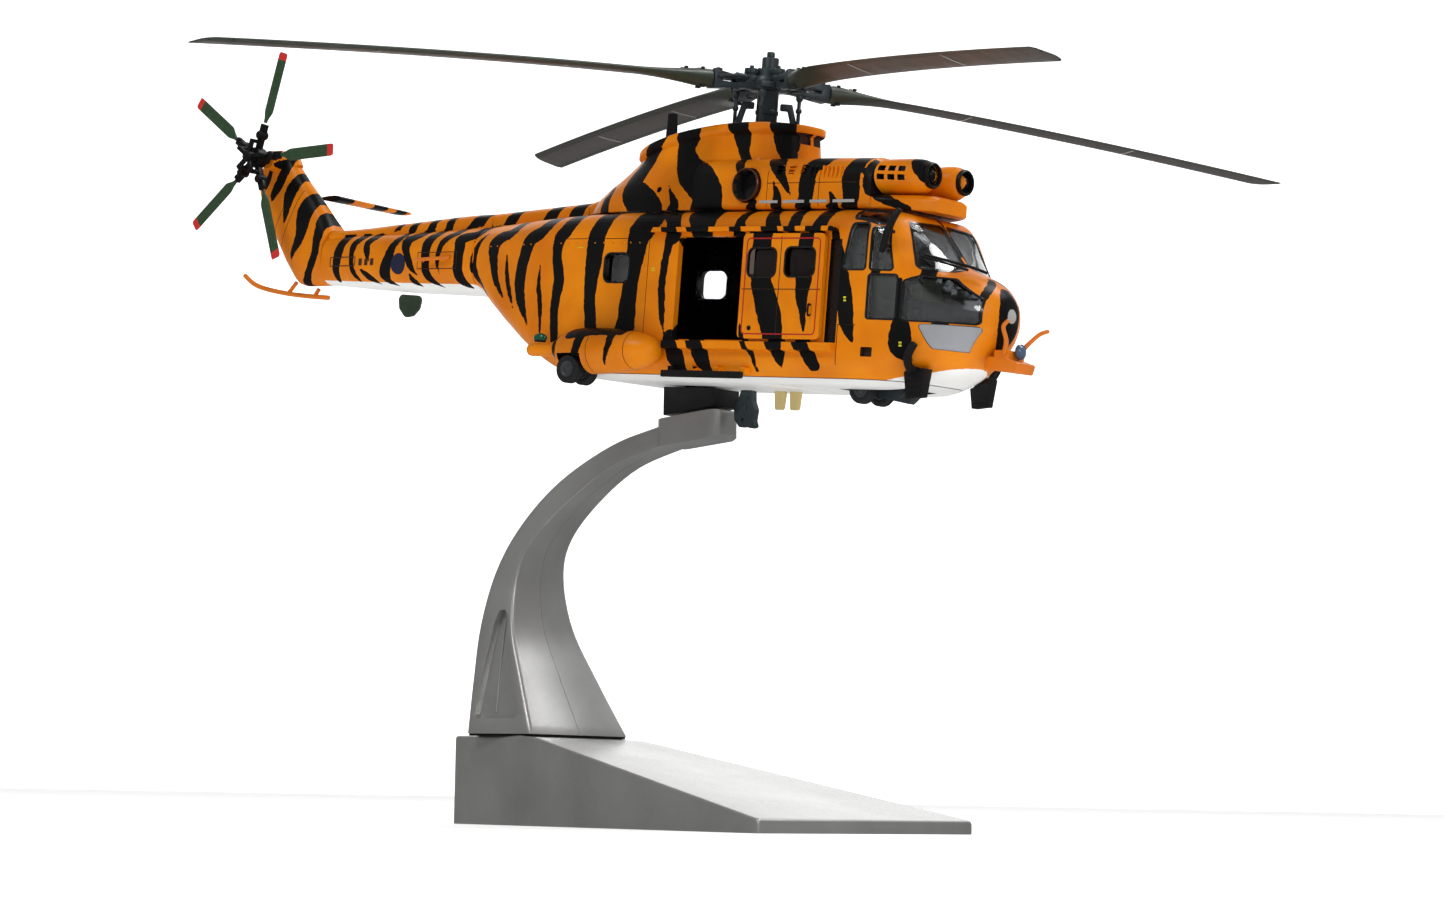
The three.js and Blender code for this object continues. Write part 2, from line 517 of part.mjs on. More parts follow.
// ---------------------------------------------------------------- tail
{
  const rows = [
    [-104.4, 4.5, -26.2, -35.6, 3.4, 3.2, 3.6, 3.4],
    [-96, 5.5, -26, -36.1, 3.8, 3.6, 4, 3.8],
    [-84, 6.6, -25.8, -36.7, 4.4, 4, 4.6, 4.2],
    [-72, 7.5, -25.4, -37.1, 5, 4.3, 5, 4.4],
    [-60.7, 8.4, -24.95, -37.4, 5.5, 4.5, 5.5, 4.5],
  ];
  const xs = [-104.4, -96, -84, -72, -60.7];
  const skin = 1.1;
  const inside = (x) =>
    crossSection(stationAt(rows, Math.min(x, -60.7)), skin).map((p) => V(x, p.y, p.z));
  const hollow = loft([...xs.slice(1), -60].map(inside));
  let boom = cut(lofted(rows, xs), hollow);
  const spine = lofted(
    [
      [-104, 3.3, -25.1, -28, 2.2, 1.4, 0.5, 0.5],
      [-84, 3.6, -23.8, -28, 2.4, 1.5, 0.5, 0.5],
      [-60.7, 3.8, -22.25, -28, 2.6, 1.6, 0.5, 0.5],
    ],
    [-104, -84, -60.7], 0, 4,
  );
  boom = fuse(boom, cut(spine, hollow));
  // Rail aerial on the starboard side.
  const post = (x) => bar(V(x, -6.2, -31.4), V(x, -8.7, -31.4), 0.34, 0.34, 8);
  const rail = bar(V(-75.2, -8.7, -31.6), V(-66.2, -8.7, -31.2), 0.36, 0.36, 8);
  boom = fuse(boom, rail, post(-74.2), post(-67.2));
  add("tail_boom", boom, ORANGE);
}
{
  // Swept tail pylon: leading-edge point, trailing-edge point and half thickness.
  const rows = [
    [-104.8, -24.9, -104.8, -35.5, 4.3],
    [-107.6, -21.7, -112, -35.7, 3.6],
    [-111, -18.2, -116.6, -32.4, 2.9],
    [-114.4, -15, -120.4, -27.6, 2.5],
    [-117.3, -12, -124.2, -22.4, 2.3],
    [-119.6, -9.7, -126.8, -17.8, 2.1],
    [-122.4, -8.9, -127.2, -13.8, 1.5],
  ];
  const rings = rows.map(([lx, lz, tx, tz, half]) => {
    const ring = [];
    for (let i = 0; i < 16; i++) {
      const a = (2 * Math.PI * i) / 16;
      const u = Math.sign(Math.cos(a)) * Math.pow(Math.abs(Math.cos(a)), 0.8);
      const v = Math.sign(Math.sin(a)) * Math.pow(Math.abs(Math.sin(a)), 0.8);
      ring.push(V((lx + tx + u * (lx - tx)) / 2, half * v, (lz + tz + u * (lz - tz)) / 2));
    }
    return ring;
  });
  const gearbox = fuse(
    bar(V(TAIL.x, -1, TAIL.z), V(TAIL.x, -4.6, TAIL.z), 2.1, 1.7, 14),
    bar(V(TAIL.x, -1, TAIL.z), V(TAIL.x, 2.2, TAIL.z), 1.9, 1.5, 14),
  );
  const beacon = bar(V(-117.6, 0, -12.4), V(-118.7, 0, -10.4), 1.1, 0.8, 10);
  const bore = bar(V(TAIL.x, -3.2, TAIL.z), V(TAIL.x, -6, TAIL.z), TAIL.bore, TAIL.bore, 14);
  add("tail_pylon", cut(fuse(loft(rings), gearbox, beacon), bore), ORANGE);

  const foil = (y, le, te, z, t) => {
    const ring = [];
    for (let i = 0; i < 12; i++) {
      const a = (2 * Math.PI * i) / 12;
      const up = (t / 2) * Math.sin(a) * (0.7 + 0.3 * Math.cos(a));
      ring.push(V((le + te + Math.cos(a) * (le - te)) / 2, y, z + up));
    }
    return ring;
  };
  const plane = loft([
    foil(3.1, -108, -114.4, -18.1, 1.5),
    foil(23, -108.7, -114, -18.5, 1.1),
    foil(24, -109.4, -113.6, -18.5, 0.5),
  ]);
  add("stabilizer", plane, ORANGE);

  // Tail skid: bent bar under the pylon with two raked struts that end just below it.
  const line = [
    [-106.2, -37.9], [-112, -37.6], [-118, -37.1], [-124, -36.2], [-127.5, -35.2], [-130.2, -33.6],
  ];
  const skid = rod(line.map(([x, z]) => V(x, 0, z)), 0.5, 6, 10);
  const struts = fuse(
    bar(V(-117.5, 0, -37.1), V(-115.3, 0, -34.9), 0.45, 0.45, 8),
    bar(V(-110.2, 0, -37.7), V(-109, 0, -36.2), 0.45, 0.45, 8),
  );
  const lower = (p) => V(p.x, p.y * 1.2, p.z < -28 ? p.z - 0.3 : p.z);
  const clear = loft(rings.map((ring) => ring.map(lower)));
  add("tail_skid", cut(fuse(skid, struts), clear), ORANGE);
}
{
  const outline = [
    [-87.2, -37], [-80.8, -37.4], [-81.4, -39.9], [-82.9, -41.3], [-84.9, -41.6], [-86.6, -39.9],
  ];
  const fin = alongY(polygon(outline), -0.35, 0.35);
  const clear = box(-90, -78, -1, 1, -37.25, -30);
  add("boom_aerial", cut(fin, clear), GREEN);
}

// ---------------------------------------------------------------- engines
const RIM = { x: -7.5, a: 19, b: 8.6, lip: 1.3 };
const rimTop = (x) => -7.4 - 0.0047 * (x - 6) * (x - 6);
function planRing(cx, a, b, z, n = 20, power = 2.6) {
  const ring = [];
  for (let i = 0; i < n; i++) {
    const t = (2 * Math.PI * i) / n;
    const x = cx + a * Math.sign(Math.cos(t)) * Math.pow(Math.abs(Math.cos(t)), 2 / power);
    const y = b * Math.sign(Math.sin(t)) * Math.pow(Math.abs(Math.sin(t)), 2 / power);
    ring.push(V(x, y, typeof z === "function" ? z(x) : z));
  }
  return ring;
}
{
  const foot = -23.2;
  const crown = loft([
    planRing(-9.6, 27, 10.6, foot),
    planRing(-9.2, 25.4, 10.3, -20.4),
    planRing(-8.4, 21.6, 9.2, -17),
    planRing(-7.7, 18.9, 8.2, -14.2),
    planRing(-7.5, 18.1, 7.8, (x) => rimTop(x) - 1.6),
  ]);
  const rim = loft([
    planRing(RIM.x, RIM.a - 1.2, RIM.b - 1, (x) => rimTop(x) - 2.1),
    planRing(RIM.x, RIM.a, RIM.b, (x) => rimTop(x) - RIM.lip),
    planRing(RIM.x, RIM.a, RIM.b, (x) => rimTop(x) - 0.3),
    planRing(RIM.x, RIM.a - 0.3, RIM.b - 0.3, rimTop),
  ]);
  const well = loft([
    planRing(RIM.x, RIM.a - 1.3, RIM.b - 1.3, (x) => rimTop(x) - 3),
    planRing(RIM.x, RIM.a - 1.1, RIM.b - 1.1, (x) => rimTop(x) + 3),
  ]);
  const deck = lofted(
    [
      [-6, 11.3, -14.1, foot, 4.2, 3.8, 1, 1],
      [10, 11.3, -14.1, foot, 4.2, 3.8, 1, 1],
      [31.8, 11, -14.2, foot, 4.6, 4, 1, 1],
      [32.4, 10.4, -14.8, foot, 4.6, 4, 1, 1],
    ],
    [-6, 10, 31.8, 32.4], 0, 5,
  );
  const fairing = lofted(
    [
      [31, 10.4, -20.65, foot, 2, 1.2, 0.4, 0.4],
      [36, 9.2, -20.75, foot, 2, 1.2, 0.4, 0.4],
      [39.6, 6.9, -20.6, foot, 2, 1.2, 0.4, 0.4],
      [41.2, 5.2, -20.6, foot, 1.6, 1, 0.4, 0.4],
      [42, 4.2, -21, foot, 1.4, 0.4, 0.2, 0.1],
    ],
    [31, 34, 36, 39.6, 41.2, 42], 0, 4,
  );
  const tailFoot = lofted(
    [[-36.4, 4, -20.3, foot, 2.6, 1.6, 0.3, 0.3], [-28, 5.4, -18.6, foot, 2.6, 1.6, 0.3, 0.3]],
    [-36.4, -28], 0, 4,
  );
  let cowl = cut(fuse(crown, rim, tailFoot), well);
  cowl = fuse(cowl, cut(deck, bar(V(0, 0, -30), V(0, 0, 0), 3, 3, 16)), fairing);
  cowl = cut(cowl, bar(V(0, 0, MAST.bottom - 0.5), V(0, 0, 0), MAST.bore, MAST.bore, 20));
  for (const [, s] of SIDES) {
    // Socket for the exhaust, and the vent under the rim's front end.
    cowl = cut(
      cowl,
      bar(V(6.3, s * 8.6, -19.2), V(6.1, s * 16, -19), 3.1, 3.1, 16),
      onSide(box(10.2, 14, 0.4, 4, -10.8, -8.9), s),
    );
    const louvres = [12.4, 15, 17.6].map((x) => box(x, x + 1.4, 9.4, 12, -17.4, -15.6));
    cowl = cut(cowl, onSide(fuse(...louvres), s));
  }
  add("engine_cowling", cowl, ORANGE);

  for (const [side, s] of SIDES) {
    const ringAt = (x, y, z, ry, rz) => {
      const ring = [];
      for (let i = 0; i < 14; i++) {
        const a = (2 * Math.PI * i) / 14;
        ring.push(V(x, y + ry * Math.cos(a), z + rz * Math.sin(a)));
      }
      return ring;
    };
    let body = loft([
      ringAt(32.8, 5.6, -17.5, 4.6, 3.1),
      ringAt(35, 5.2, -17.4, 4.1, 3.1),
      ringAt(37.6, 4.85, -17.3, 3.6, 3.05),
      ringAt(39.4, 4.65, -17.2, 2.9, 2.8),
      ringAt(40.5, 4.6, -17.1, 2.2, 2.2),
    ]);
    body = cut(body, box(30, 45, -6, 0.95, -30, -10));
    const nose = [[0, 2.2], [0.9, 2], [1.5, 1.2], [1.5, 0], [0, 0]];
    const bullet = turned(nose, V(39.9, 4.6, -17.1), V(1, 0, 0), 12);
    body = fuse(body, bullet);
    const slots = [33.4, 35.1, 36.8].map((x) => box(x, x + 1.1, 7.9, 12, -17.5, -16.1));
    body = cut(body, fuse(...slots));
    add("nacelle_" + side, onSide(body, s), ORANGE);
    const edge = [[1.75, 0], [2.25, 0], [2.15, 0.8], [1.8, 0.8], [1.75, 0]];
    const lip = turned(edge, V(40.75, 4.6, -17.1), V(1, 0, 0), 16);
    add("intake_ring_" + side, onSide(lip, s), BLACK);
    const pipe = turned(
      [[0, 0], [2.7, 0], [2.9, 3.1], [2.4, 3.1], [2.3, 0.6], [0, 0.6]],
      V(6.3, s * 8.95, -19.2), V(-0.03, s, 0.03), 16,
    );
    add("exhaust_" + side, pipe, BRONZE);
  }
  const blade = loft([
    planRing(-21.6, 1.6, 0.55, -14.2, 12, 2.2),
    planRing(-21.7, 1.35, 0.45, -8, 12, 2.2),
    planRing(-21.8, 1.1, 0.35, -4.2, 12, 2.2),
  ]);
  add("cowl_aerial", cut(blade, box(-30, -15, -2, 2, -20, rimTop(-21.6) - 2.5)), BLACK);
}

// ---------------------------------------------------------------- sponsons and landing gear
// Wheel with a dished face, turned about the Y line through at.
function wheel(at, radius, y0, y1) {
  const [w, tread] = [y1 - y0, radius - 0.4];
  const profile = [
    [0, 0.2], [radius * 0.48, 0.2], [tread, 0], [radius, 0.4],
    [radius, w - 0.4], [tread, w], [radius * 0.48, w - 0.2], [0, w - 0.2],
  ];
  return turned(profile, V(at.x, y0, at.z), V(0, 1, 0), 16);
}
{
  for (const [side, s] of SIDES) {
    const rows = [
      [-32.2, -48.4, 1.2, 1.1],
      [-29, -48.6, 2.6, 2.9],
      [-24, -48.7, 3.9, 4.1],
      [-17, -48.6, 4.2, 3.9],
      [-12, -48.5, 3.8, 3.3],
      [-9, -48.4, 2.8, 2.4],
      [-7.6, -48.35, 1.6, 1.4],
      [-7.2, -48.3, 0.7, 0.6],
    ];
    // Each ring is an ellipse whose inner side is flattened against the fuselage.
    const rings = rows.map(([x, z, w, h]) => {
      const ring = [];
      for (let i = 0; i < 16; i++) {
        const a = (2 * Math.PI * i) / 16;
        const y = 15.9 + w * Math.cos(a);
        ring.push(V(x, Math.max(y, 14.3), z + h * Math.sin(a)));
      }
      return ring;
    });
    let body = loft(rings);
    const stub = bar(V(-37.3, 16.2, -48.7), V(-29, 16.2, -48.7), 1.15, 1.15, 12);
    body = fuse(body, stub);
    // Well for the twin wheels, with a leg between them that carries their axle.
    const well = box(-28.6, -22, 12.5, 21, -56, -49.4);
    body = cut(body, well, box(-28.6, -22, 18, 21, -56, -49.4));
    const leg = cut(
      fuse(
        box(-26.1, -24.5, 15.8, 17, -52.2, -49.2),
        bar(V(-25.3, 15.8, -52.2), V(-25.3, 17, -52.2), 1.05, 1.05, 10),
      ),
      bar(V(-25.3, 10, -52.2), V(-25.3, 20, -52.2), 0.62, 0.62, 10),
    );
    body = fuse(body, leg);
    add("sponson_" + side, onSide(body, s), ORANGE);

    const lamp = ball(V(-34.9, 16.2, -46.55), 1.5, 0.8, 0.85, 10, 6);
    const lens = cut(lamp, box(-40, -30, 10, 20, -50, -47.3));
    add("nav_light_" + side, onSide(lens, s), side === "port" ? NAV_RED : NAV_GREEN);

    const at = V(-25.3, 0, -52.2);
    const axle = bar(V(-25.3, 14.4, -52.2), V(-25.3, 18.4, -52.2), 0.55, 0.55, 10);
    const pair = fuse(wheel(at, 2.5, 13.4, 15.4), wheel(at, 2.5, 17.4, 19.4), axle);
    add("main_wheels_" + side, onSide(pair, s), RUBBER);
  }
  // Nose gear, folded back under the nose: strut with a bore at its end, and the twin wheels.
  const axis = V(28, 0, -53.2);
  const fork = [
    [27.4, -54.2], [28.6, -54.2], [36.4, -55.4], [37.4, -54.6], [37.4, -51.6],
    [36, -51.3], [34.6, -52.9], [28.6, -52.2], [27.4, -52.2],
  ];
  let strut = fuse(
    alongY(polygon(fork), -0.8, 0.8),
    bar(V(28, -0.8, -53.2), V(28, 0.8, -53.2), 1.15, 1.15, 12),
    bar(V(35.6, -2.6, -53.6), V(35.6, 2.6, -53.6), 0.9, 0.9, 12),
  );
  strut = cut(strut, bar(V(28, -3, -53.2), V(28, 3, -53.2), 0.62, 0.62, 10));
  add("nose_strut", strut, HUB_GREY);
  const axle = bar(V(28, -2, -53.2), V(28, 2, -53.2), 0.55, 0.55, 10);
  const pair = fuse(wheel(axis, 2.6, -3.6, -1.7), wheel(axis, 2.6, 1.7, 3.6), axle);
  add("nose_wheels", pair, RUBBER);
}

// ---------------------------------------------------------------- outside fittings
{
  const points = (list) => list.map(([x, y, z]) => V(x, y, z));
  const loftOf = (rings) => loft(rings.map(points));
  const rodOf = (path, ...rest) => rod(points(path), ...rest);
  for (const [side, s] of SIDES) {
    const step = box(-6.5, 11.5, 14.95, 15.75, -52.9, -51.7);
    add("step_bar_" + side, onSide(step, s), BLACK);

    // Boarding step hung from a curved tube beside the nose.
    const tread = loftOf([
      [[42.1, 8.2, -50.1], [46.5, 8.2, -50.1], [46.5, 10.4, -50.1], [42.1, 10.4, -50.1]],
      [[42.9, 8.4, -55.2], [46, 8.4, -54.8], [46, 10.2, -54.8], [42.9, 10.2, -55.2]],
    ]);
    const tube = rodOf(
      [[44.4, 9.4, -50.6], [44.2, 11.6, -50], [44.6, 12.7, -48.2], [45.4, 12.4, -46.2]],
      0.75, 8, 7,
    );
    const clear = lofted(BODY, BODY_X.filter((x) => x < 55), -GAP);
    add("boarding_step_" + side, onSide(cut(fuse(tread, tube), clear), s), BLACK);
  }
  const duct = rodOf(
    [[41.3, -13.6, -24], [40.6, -14.2, -25.6], [39.6, -14.4, -28.2], [38.8, -14.3, -31]],
    0.62, 8, 8,
  );
  add("cockpit_duct", duct, BLACK);

  // Wiper arm and blade lying over the starboard windscreen.
  const clearSkin = lofted(BODY, BODY_X.filter((x) => x < 55), -GAP);
  const wiper = rodOf(
    [[52.6, -3.2, -33.4], [50, -4.6, -32.5], [47.2, -6.6, -31.8], [43.9, -9.4, -31]],
    0.34, 6, 8,
  );
  add("wiper", cut(wiper, clearSkin), BLACK);

  const blade = (x) =>
    loftOf([
      [[x - 1.35, -0.4, -53.72], [x + 1.35, -0.4, -53.72], [x + 1.35, 0.4, -53.72], [x - 1.35, 0.4, -53.72]],
      [[x - 1.05, -0.3, -57], [x + 1.1, -0.3, -57], [x + 1.1, 0.3, -57], [x - 1.05, 0.3, -57]],
    ]);
  add("belly_aerial_rear", blade(7.9), CREAM);
  add("belly_aerial_front", blade(11.3), CREAM);

  // Cargo hook: shank, round cheek and spur, with a pin hole.
  const outline = [
    [-0.6, -53.72], [1.9, -53.72], [2.1, -55.6], [2.8, -57.1], [2.6, -59], [3.1, -60.2],
    [2, -60.4], [1.3, -60.1], [-0.4, -60.3], [-1.6, -59], [-1.9, -57.1], [-1, -55.4],
  ];
  const cheek = alongY(polygon(outline), -0.7, 0.7);
  add("cargo_hook", cut(cheek, alongY(roundRect(-0.2, -59.4, 0.6, -58.6, 0.38), -2, 2)), HUB_GREY);

  // Nose fitting: bracket plate with two probes, and the round lamp in front of it.
  const plate = fuse(
    box(54.6, 57.4, -2.4, 2.4, -47.9, -46.1),
    alongY(polygon([[52.6, -49.3], [59.2, -49.9], [59.7, -48.2], [57, -47.4], [53.4, -47.2]]), -2.6, 2.6),
  );
  const probeA = rodOf(
    [[56.6, -2.2, -46.6], [57.6, -3.4, -44.6], [57.2, -3.9, -42.4], [58, -3.8, -41.3]],
    0.42, 6, 8,
  );
  const probeB = rodOf(
    [[56.8, 1.4, -46.6], [58.4, 2, -44.6], [60, 2.6, -43], [61.6, 2.8, -42.4]],
    0.42, 6, 8,
  );
  add("nose_probes", cut(fuse(plate, probeA, probeB), clearSkin), ORANGE);
  const lamp = [[0, 0], [1.1, 0], [1.28, 0.25], [1.28, 0.7], [0.8, 1.05], [0, 1.15]];
  add("nose_lamp", turned(lamp, V(57.72, 0.2, -46.2), V(1, 0, 0.05), 18), LAMP_BLUE);
}

// ---------------------------------------------------------------- crew
for (const [side, s] of SIDES) {
  const seat = fuse(
    box(30.4, 31.6, 3.6, 9.4, CABIN.floor + 0.25, -31.5),
    box(30.8, 36.4, 3.6, 9.4, -44, -42.4),
    box(31.5, 35, 5, 8, CABIN.floor + 0.25, -43),
  );
  const figure = fuse(
    ball(V(33.6, 6.5, -37.4), 2.2, 3.1, 5, 8, 6),
    ball(V(34.2, 6.5, -29.6), 1.9, 1.7, 2, 8, 6),
    box(33, 34.8, 5.8, 7.2, -34.5, -30.6),
    ...[3.6, 9.4].map((y) => bar(V(33.8, y, -34.4), V(39, 0.6 * y + 2.6, -38.6), 0.9, 0.6, 6)),
    ...[5, 8].map((y) => box(33.6, 39.6, y - 1.05, y + 1.05, -42.5, -40.4)),
    ...[5, 8].map((y) => box(38.2, 39.9, y - 0.85, y + 0.85, -48.4, -42)),
  );
  add("crew_" + side, onSide(fuse(seat, figure), s), OLIVE);
}

// ---------------------------------------------------------------- main rotor
{
  let hub = fuse(
    bar(V(0, 0, MAST.bottom), V(0, 0, 0.2), MAST.radius, MAST.radius, 14),
    bar(V(0, 0, -1), V(0, 0, 1.5), 3.4, 3.1, 12),
    bar(V(0, 0, 1.3), V(0, 0, 2.9), 2.5, 2.2, 12),
    bar(V(0, 0, 2.7), V(0, 0, 5.1), 1.5, 1.4, 10),
    bar(V(0, 0, 4.9), V(0, 0, 6.2), 0.8, 0.72, 6),
  );
  const arm = fuse(
    loft([
      [V(1.5, 1.2, -0.9), V(1.5, -1.2, -0.9), V(1.5, -1.2, 1.1), V(1.5, 1.2, 1.1)],
      [V(5, 1.15, -0.95), V(5, -1.15, -0.95), V(5, -1.15, 1), V(5, 1.15, 1)],
      [V(8, 1.5, -1.3), V(8, -1.5, -1.3), V(8, -1.5, 1.2), V(8, 1.5, 1.2)],
      [V(11.2, 1.75, -1.65), V(11.2, -1.75, -1.65), V(11.2, -1.75, 1.6), V(11.2, 1.75, 1.6)],
    ]),
    bar(V(3.5, 0, 0.6), V(3.5, 0, 2.7), 1.35, 1.25, 8),
    bar(V(3.5, 0, 2.5), V(3.5, 0, 3.3), 0.4, 0.35, 6),
    box(10, 10.5, -1.1, 1.1, 1.2, 2),
    // Pitch horn over the pitch link.
    box(3.9, 5.6, -3.95, -0.9, -0.9, 0.1),
  );
  const azimuth = (i) => ROTOR.firstAzimuth + (360 / ROTOR.blades) * i;
  for (let i = 0; i < ROTOR.blades; i++) hub = fuse(hub, turnZ(arm, azimuth(i)));
  add("rotor_hub", hub, HUB_GREY);

  // Blade along +X with its leading edge to +Y: radius, leading edge, trailing edge, thickness.
  const stations = [
    [ROTOR.cuff, 1.9, -1.9, 3.2],
    [14, 2.1, -2.4, 3.1],
    [18, 2.4, -3.4, 2.5],
    [22, 2.6, -4.3, 1.9],
    [26.5, 2.7, -4.7, 1.5],
    [50, 2.7, -4.7, 1.35],
    [78, 2.7, -4.7, 1.25],
    [101, 2.7, -4.7, 1.15],
    [102.4, 2, -4.7, 1],
    [103.5, 0.2, -4.7, 0.8],
    [ROTOR.radius, -2.8, -4.7, 0.6],
  ];
  const rings = stations.map(([r, le, te, t]) => {
    const droop = -ROTOR.droop * Math.pow((r - ROTOR.cuff) / (ROTOR.radius - ROTOR.cuff), 1.5);
    const round = THREE.MathUtils.clamp((r - 14) / 10, 0, 1);
    const ring = [];
    for (let i = 0; i < 10; i++) {
      const a = (2 * Math.PI * i) / 10;
      const taper = Math.max(1 - round * 0.42 * (1 - Math.cos(a)), 0.12);
      const up = (t / 2) * Math.sin(a) * taper;
      ring.push(V(r, (le + te + Math.cos(a) * (le - te)) / 2, droop + up));
    }
    return ring;
  });
  // Each blade is twisted in its cuff: most on the rear port blade, the other way on its opposite.
  for (let i = 0; i < ROTOR.blades; i++) {
    const pitch = 1 + 10 * Math.cos(((azimuth(i) - 154.3) * Math.PI) / 180);
    const twisted = moved(loft(rings), new THREE.Matrix4().makeRotationX((pitch * Math.PI) / 180));
    add("rotor_blade_" + (i + 1), turnZ(twisted, azimuth(i)), GREEN);
  }

  // Rotating swashplate with its four pitch links and two scissor links.
  const LINK = { r: 5.65, offset: -34.8 };
  let plate = cut(
    bar(V(0, 0, -9.8), V(0, 0, -8.8), 6.4, 6.4, 20),
    bar(V(0, 0, -12), V(0, 0, -5), 2.2, 2.2, 14),
  );
  for (let i = 0; i < ROTOR.blades; i++) {
    const a = ((azimuth(i) + LINK.offset) * Math.PI) / 180;
    const [x, y] = [LINK.r * Math.cos(a), LINK.r * Math.sin(a)];
    plate = fuse(plate, bar(V(x, y, -9.4), V(x, y, -1.3), 0.62, 0.62, 8));
  }
  const link = [[2.25, -4.2], [2.25, -3], [4.4, -3], [6.1, -9], [4.9, -9], [3.6, -4.2]];
  const scissor = alongY(polygon(link), -0.55, 0.55);
  plate = fuse(plate, turnZ(scissor, 39.7), turnZ(scissor, 219.7));
  add("swashplate", plate, HUB_GREY);
}

// ---------------------------------------------------------------- tail rotor
{
  // Drawn with its axis along Z and its first blade along +X, then set on the pylon.
  const place = new THREE.Matrix4()
    .makeTranslation(TAIL.x, TAIL.y, TAIL.z)
    .multiply(new THREE.Matrix4().makeRotationX(Math.PI / 2));
  const spin = (shape, deg) => moved(turnZ(shape, deg), place);
  // After placing, the local +X is +X, the local +Y is +Z and the local +Z points to starboard.
  const first = 90 - TAIL.first;
  const shaft = fuse(
    bar(V(0, 0, -4.2), V(0, 0, 0), TAIL.bore - 0.06, TAIL.bore - 0.06, 12),
    bar(V(0, 0, -1.2), V(0, 0, 1.1), 2, 1.8, 10),
    bar(V(0, 0, 1), V(0, 0, 3), 1.1, 0.9, 8),
  );
  const spoke = fuse(
    box(1, 5.4, -0.5, 0.5, -0.6, 0.6),
    bar(V(4.5, 0, -1), V(4.5, 0, 1.1), 0.85, 0.85, 6),
    box(5, 6.7, -0.75, 0.75, -0.45, 0.45),
    box(0.6, 3.5, -0.4, 0.4, 1.9, 2.6),
    box(2.8, 3.5, -0.4, 0.4, 0.3, 2.4),
  );
  let hub = spin(shaft, 0);
  for (let i = 0; i < TAIL.blades; i++) hub = fuse(hub, spin(spoke, first + 72 * i));
  add("tail_hub", hub, BLACK);

  const station = (r, le, te, t) => {
    const ring = [];
    for (let i = 0; i < 8; i++) {
      const a = (2 * Math.PI * i) / 8;
      const up = (t / 2) * Math.sin(a) * (0.7 + 0.3 * Math.cos(a));
      ring.push(V(r, (le + te + Math.cos(a) * (le - te)) / 2, up));
    }
    return ring;
  };
  const blade = loft([
    station(7, 0.4, -0.4, 0.8),
    station(7.8, 0.5, -0.6, 0.75),
    station(9.6, 1, -1.4, 0.6),
    station(20.6, 1, -1.4, 0.45),
    station(TAIL.radius, 0.8, -1.2, 0.3),
  ]);
  for (let i = 0; i < TAIL.blades; i++)
    add("tail_blade_" + (i + 1), spin(blade, first + 72 * i), GREEN);
}

export default group;
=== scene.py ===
"""Looks of the helicopter display model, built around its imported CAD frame.

The helicopter's pieces are drawn in millimetres in its own frame (hub at the origin, X to the nose,
Y to port, Z up) and placed once by TO_ROW. The stand is drawn in the row frame in millimetres.
"""

import json
import math

import bmesh
import bpy
import numpy as np
from mathutils import Matrix, Vector

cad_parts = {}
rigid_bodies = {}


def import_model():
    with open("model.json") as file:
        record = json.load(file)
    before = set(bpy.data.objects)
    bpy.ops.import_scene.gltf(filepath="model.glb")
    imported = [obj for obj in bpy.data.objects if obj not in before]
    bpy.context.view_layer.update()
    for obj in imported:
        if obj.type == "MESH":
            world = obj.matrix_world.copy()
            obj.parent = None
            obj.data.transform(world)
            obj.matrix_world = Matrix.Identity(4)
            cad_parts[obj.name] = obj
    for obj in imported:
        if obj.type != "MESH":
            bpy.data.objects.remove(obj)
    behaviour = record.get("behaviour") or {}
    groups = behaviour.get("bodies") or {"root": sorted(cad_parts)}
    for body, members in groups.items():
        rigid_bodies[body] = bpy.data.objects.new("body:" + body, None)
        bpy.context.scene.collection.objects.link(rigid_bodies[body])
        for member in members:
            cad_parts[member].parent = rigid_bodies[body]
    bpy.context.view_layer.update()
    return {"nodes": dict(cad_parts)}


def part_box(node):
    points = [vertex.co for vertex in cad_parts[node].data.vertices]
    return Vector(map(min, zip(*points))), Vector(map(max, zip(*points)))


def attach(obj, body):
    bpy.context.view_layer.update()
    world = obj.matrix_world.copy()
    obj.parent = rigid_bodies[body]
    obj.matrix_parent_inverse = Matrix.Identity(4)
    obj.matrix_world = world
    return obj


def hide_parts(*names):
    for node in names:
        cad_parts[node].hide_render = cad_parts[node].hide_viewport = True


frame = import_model()
scene = bpy.context.scene

NOSE_DOWN = math.radians(4.2)
HUB = (0.01958, 0.0, 0.13043)
TO_ROW = Matrix.Translation(HUB) @ Matrix.Rotation(NOSE_DOWN, 4, "Y") @ Matrix.Scale(0.001, 4)
MM = Matrix.Scale(0.001, 4)
ROW_TO_H = TO_ROW.inverted() @ MM
SIDES = (("starboard", -1), ("port", 1))
UP, FORWARD, PORT = (0, 0, 1), (1, 0, 0), (0, 1, 0)
STAND = {"rearHalf": 8.8, "flat": 23.6, "lip": 2.35, "bottomHalf": 13.1, "topHalf": 3.4, "gap": 0.3}

# ------------------------------------------------------------------ camera


YAW_PITCH_ROLL = (39.66, 5.10, 1.06)
RIGHT_UP_BACK = (-0.00814, -0.06434, 0.67085)
SENSOR, LENS = 36, 94.98


